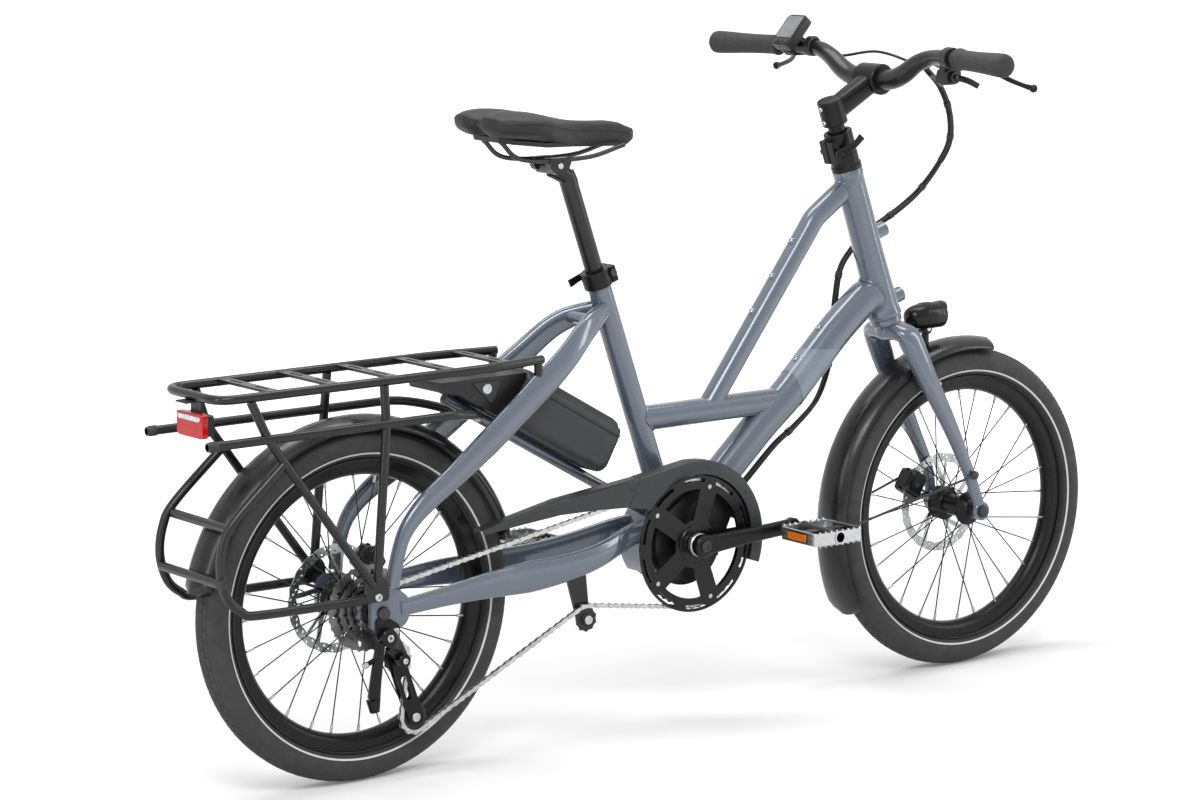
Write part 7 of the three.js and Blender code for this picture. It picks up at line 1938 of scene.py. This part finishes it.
def stage_floor():
    mix = Mixture("PaleFloor")
    nodes, link = mix.tree.nodes, mix.tree.links.new
    tone = mix.mixed(mix.ranged(mix.noise(3, 2), 0, 1), (0.79, 0.79, 0.79), (0.81, 0.81, 0.81))
    mix.finished(Base_Color=tone, Roughness=0.9, Specular_IOR_Level=0.1)
    seen = nodes.new("ShaderNodeBsdfDiffuse")
    seen.inputs["Color"].default_value = (0.8, 0.8, 0.8, 1)
    glow = nodes.new("ShaderNodeEmission")
    glow.inputs["Color"].default_value = (1, 1, 1, 1)
    x, y, _ = mix.add("ShaderNodeSeparateXYZ", {"Vector": mix.spot}).outputs
    away = mix.distance(x, y)
    mix.put(glow.inputs["Strength"], mix.ranged(away, 0.12, 1.0, 1.1, 2.4))
    both = nodes.new("ShaderNodeAddShader")
    pick = nodes.new("ShaderNodeMixShader")
    link(seen.outputs[0], both.inputs[0])
    link(glow.outputs[0], both.inputs[1])
    link(rays_shown(nodes, link), pick.inputs[0])
    link(mix.shader.outputs[0], pick.inputs[1])
    link(both.outputs[0], pick.inputs[2])
    link(pick.outputs[0], nodes["Material Output"].inputs["Surface"])
    mesh = bpy.data.meshes.new("floor")
    half, low = 60.0, -0.0004
    mesh.from_pydata([(-half, -half, low), (half, -half, low), (half, half, low), (-half, half, low)], [],
        [(0, 1, 2, 3)])
    mesh.materials.append(mix.material)
    floor = placed("floor", mesh)


def stage_world():
    world = bpy.data.worlds.new("Studio")
    bpy.context.scene.world = world
    world.use_nodes = True
    nodes, link = world.node_tree.nodes, world.node_tree.links.new
    back = nodes["Background"]
    level = nodes.new("ShaderNodeMapRange")
    level.inputs["To Min"].default_value = 0.42
    level.inputs["To Max"].default_value = 1.0
    link(rays_shown(nodes, link), level.inputs["Value"])
    link(level.outputs[0], back.inputs["Strength"])
    back.inputs["Color"].default_value = (1, 1, 1, 1)


def stage_lamp(name, place, target, size, power):
    data = bpy.data.lights.new(name, "AREA")
    data.shape = "RECTANGLE"
    data.size, data.size_y = size
    data.energy = power
    lamp = placed(name, data)
    direction = Vector(target) - Vector(place)
    lamp.location = place
    lamp.rotation_euler = direction.to_track_quat("-Z", "Y").to_euler()


def stage_camera():
    az, el, roll = (radians(v) for v in (53.925, 9.583, -0.652))
    ahead = vec(cos(el) * cos(az), cos(el) * sin(az), -sin(el))
    right = unit(np.cross(ahead, (0, 0, 1)))
    up = np.cross(right, ahead)
    turned_right = cos(roll) * right + sin(roll) * up
    turned_up = -sin(roll) * right + cos(roll) * up
    data = bpy.data.cameras.new("camera")
    data.sensor_fit = "HORIZONTAL"
    data.sensor_width = 36.0
    photo_width, focal_pixels = 1200, 3753.0
    data.lens = focal_pixels / photo_width * data.sensor_width
    camera = placed("camera", data)
    place = in_metres((-2790.1, -4429.5, 1428.7))
    turn = Matrix(np.stack([turned_right, turned_up, -ahead], axis=1).tolist()).to_4x4()
    camera.matrix_world = Matrix.Translation(Vector(place)) @ turn
    bpy.context.scene.camera = camera


# Operators, one for each piece or group of like pieces

class LONGTAIL_OT_stage(bpy.types.Operator):
    """Camera at the photograph's angle, pale floor and soft studio light"""
    bl_idname = "longtail.stage"
    bl_label = "Stage"

    def execute(self, context):
        context.scene.view_settings.view_transform = "Standard"
        stage_camera()
        stage_floor()
        stage_world()
        stage_lamp("key_softbox", (-1.8, -2.4, 3.0), (0, 0, 0.5), (2.2, 1.2), 84)
        stage_lamp("top_softbox", (0.3, 0.4, 3.2), (0, 0, 0.4), (3.4, 1.0), 74)
        stage_lamp("front_strip", (3.0, -2.0, 1.6), (0.3, 0, 0.5), (0.5, 2.4), 26)
        stage_lamp("rear_strip", (-3.2, -0.6, 1.4), (-0.3, 0, 0.5), (0.5, 2.2), 22)
        return {"FINISHED"}


class LONGTAIL_OT_finishes(bpy.types.Operator):
    """Paint, metal, rubber and plastic finishes"""
    bl_idname = "longtail.finishes"
    bl_label = "Finishes"

    def execute(self, context):
        mix_looks()
        return {"FINISHED"}


class LONGTAIL_OT_tyres(bpy.types.Operator):
    """Tyres with tread blocks and a reflecting line"""
    bl_idname = "longtail.tyres"
    bl_label = "Tyres"

    def execute(self, context):
        for wheel in WHEELS:
            tyre_piece(wheel)
        return {"FINISHED"}


class LONGTAIL_OT_wheels(bpy.types.Operator):
    """Rims, spokes, nipples, hubs, discs and axles"""
    bl_idname = "longtail.wheels"
    bl_label = "Wheels"

    def execute(self, context):
        for wheel in WHEELS:
            rim_piece(wheel)
            spoke_piece(wheel)
            hub_piece(wheel)
            rotor_piece(wheel)
        axle_piece("rear_axle", "frame", REAR, 76.3)
        axle_piece("front_axle", "fork_assembly", FRONT, 63.3)
        return {"FINISHED"}


class LONGTAIL_OT_chain(bpy.types.Operator):
    """Chain of inner and outer links with rollers"""
    bl_idname = "longtail.chain"
    bl_label = "Chain"

    def execute(self, context):
        chain_pieces()
        return {"FINISHED"}


class LONGTAIL_OT_drive(bpy.types.Operator):
    """Cassette, pulleys, chainring, cranks, pedals and derailleur"""
    bl_idname = "longtail.drive"
    bl_label = "Drive"

    def execute(self, context):
        cassette_piece()
        pulley_piece("guide_pulley", "guide", "upper_pulley")
        pulley_piece("tension_pulley", "tension", "lower_pulley")
        pulley_piece("idler_roller", "idler", "idler")
        chainring_piece()
        for side in (-1, 1):
            crank_piece(side)
            pedal_piece(side)
        derailleur_piece()
        return {"FINISHED"}


class LONGTAIL_OT_frame(bpy.types.Operator):
    """Frame tubes with their weld beads, dropouts and bosses"""
    bl_idname = "longtail.frame"
    bl_label = "Frame"

    def execute(self, context):
        front_frame()
        rear_frame()
        return {"FINISHED"}


class LONGTAIL_OT_fork(bpy.types.Operator):
    """Fork drawn as one bow over the tyre"""
    bl_idname = "longtail.fork"
    bl_label = "Fork"

    def execute(self, context):
        fork_piece()
        return {"FINISHED"}


class LONGTAIL_OT_fenders(bpy.types.Operator):
    """Curved fenders with the flared front flap"""
    bl_idname = "longtail.fenders"
    bl_label = "Fenders"

    def execute(self, context):
        fender_pieces()
        return {"FINISHED"}


class LONGTAIL_OT_rack(bpy.types.Operator):
    """Rack deck, sides, end caps and tail light"""
    bl_idname = "longtail.rack"
    bl_label = "Rack"

    def execute(self, context):
        rack_deck()
        rack_sides()
        tail_light()
        return {"FINISHED"}


class LONGTAIL_OT_cables(bpy.types.Operator):
    """Cable bundles that follow the bars and the fork"""
    bl_idname = "longtail.cables"
    bl_label = "Cables"

    def execute(self, context):
        cable_pieces()
        return {"FINISHED"}


class LONGTAIL_OT_housings(bpy.types.Operator):
    """Motor, chain case, battery and its holder"""
    bl_idname = "longtail.housings"
    bl_label = "Housings"

    def execute(self, context):
        motor_piece()
        chain_case_piece()
        battery_piece()
        holder_piece()
        return {"FINISHED"}


class LONGTAIL_OT_brakes(bpy.types.Operator):
    """Headlight and brake calipers"""
    bl_idname = "longtail.brakes"
    bl_label = "Headlight and brakes"

    def execute(self, context):
        headlight_piece()
        caliper_piece("rear_caliper", REAR, 50, 41, "frame")
        caliper_piece("front_caliper", FRONT, 40, 148, "fork_assembly")
        return {"FINISHED"}


class LONGTAIL_OT_bars(bpy.types.Operator):
    """Stem, handlebar, grips, levers, shifter, display and clamps"""
    bl_idname = "longtail.bars"
    bl_label = "Bars"

    def execute(self, context):
        bar_piece()
        for side in (-1, 1):
            grip_piece(side)
            brake_piece(side)
        shift_lever_piece()
        display_piece()
        clamp_pieces()
        return {"FINISHED"}


class LONGTAIL_OT_seat(bpy.types.Operator):
    """Seatpost and padded saddle"""
    bl_idname = "longtail.seat"
    bl_label = "Seat"

    def execute(self, context):
        seatpost_piece()
        saddle_piece()
        return {"FINISHED"}


class LONGTAIL_PT_panel(bpy.types.Panel):
    """Lists the steps that dress the bike"""
    bl_label = "Longtail cargo bike"
    bl_idname = "LONGTAIL_PT_panel"
    bl_space_type = "VIEW_3D"
    bl_region_type = "UI"
    bl_category = "Longtail"

    def draw(self, context):
        for group in (context.scene.longtail_sizes, context.scene.longtail_colours):
            for name in group.bl_rna.properties.keys():
                if name not in ("rna_type", "name"):
                    self.layout.prop(group, name)
        for step in STEPS:
            self.layout.operator(step.bl_idname)


STEPS = (
    LONGTAIL_OT_stage, LONGTAIL_OT_finishes, LONGTAIL_OT_tyres, LONGTAIL_OT_wheels, LONGTAIL_OT_chain,
    LONGTAIL_OT_drive, LONGTAIL_OT_frame, LONGTAIL_OT_fork, LONGTAIL_OT_fenders, LONGTAIL_OT_rack,
    LONGTAIL_OT_cables, LONGTAIL_OT_housings, LONGTAIL_OT_brakes, LONGTAIL_OT_bars, LONGTAIL_OT_seat,
)
CLASSES = (LongtailColours, LongtailSizes, *STEPS, LONGTAIL_PT_panel)


def register():
    for kind in CLASSES:
        bpy.utils.register_class(kind)
    bpy.types.Scene.longtail_sizes = bpy.props.PointerProperty(type=LongtailSizes)
    bpy.types.Scene.longtail_colours = bpy.props.PointerProperty(type=LongtailColours)


def unregister():
    del bpy.types.Scene.longtail_colours
    del bpy.types.Scene.longtail_sizes
    for kind in reversed(CLASSES):
        bpy.utils.unregister_class(kind)


def main():
    """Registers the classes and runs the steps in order."""
    register()
    for step in STEPS:
        group, name = step.bl_idname.split(".")
        getattr(getattr(bpy.ops, group), name)()


if __name__ == "__main__":
    main()
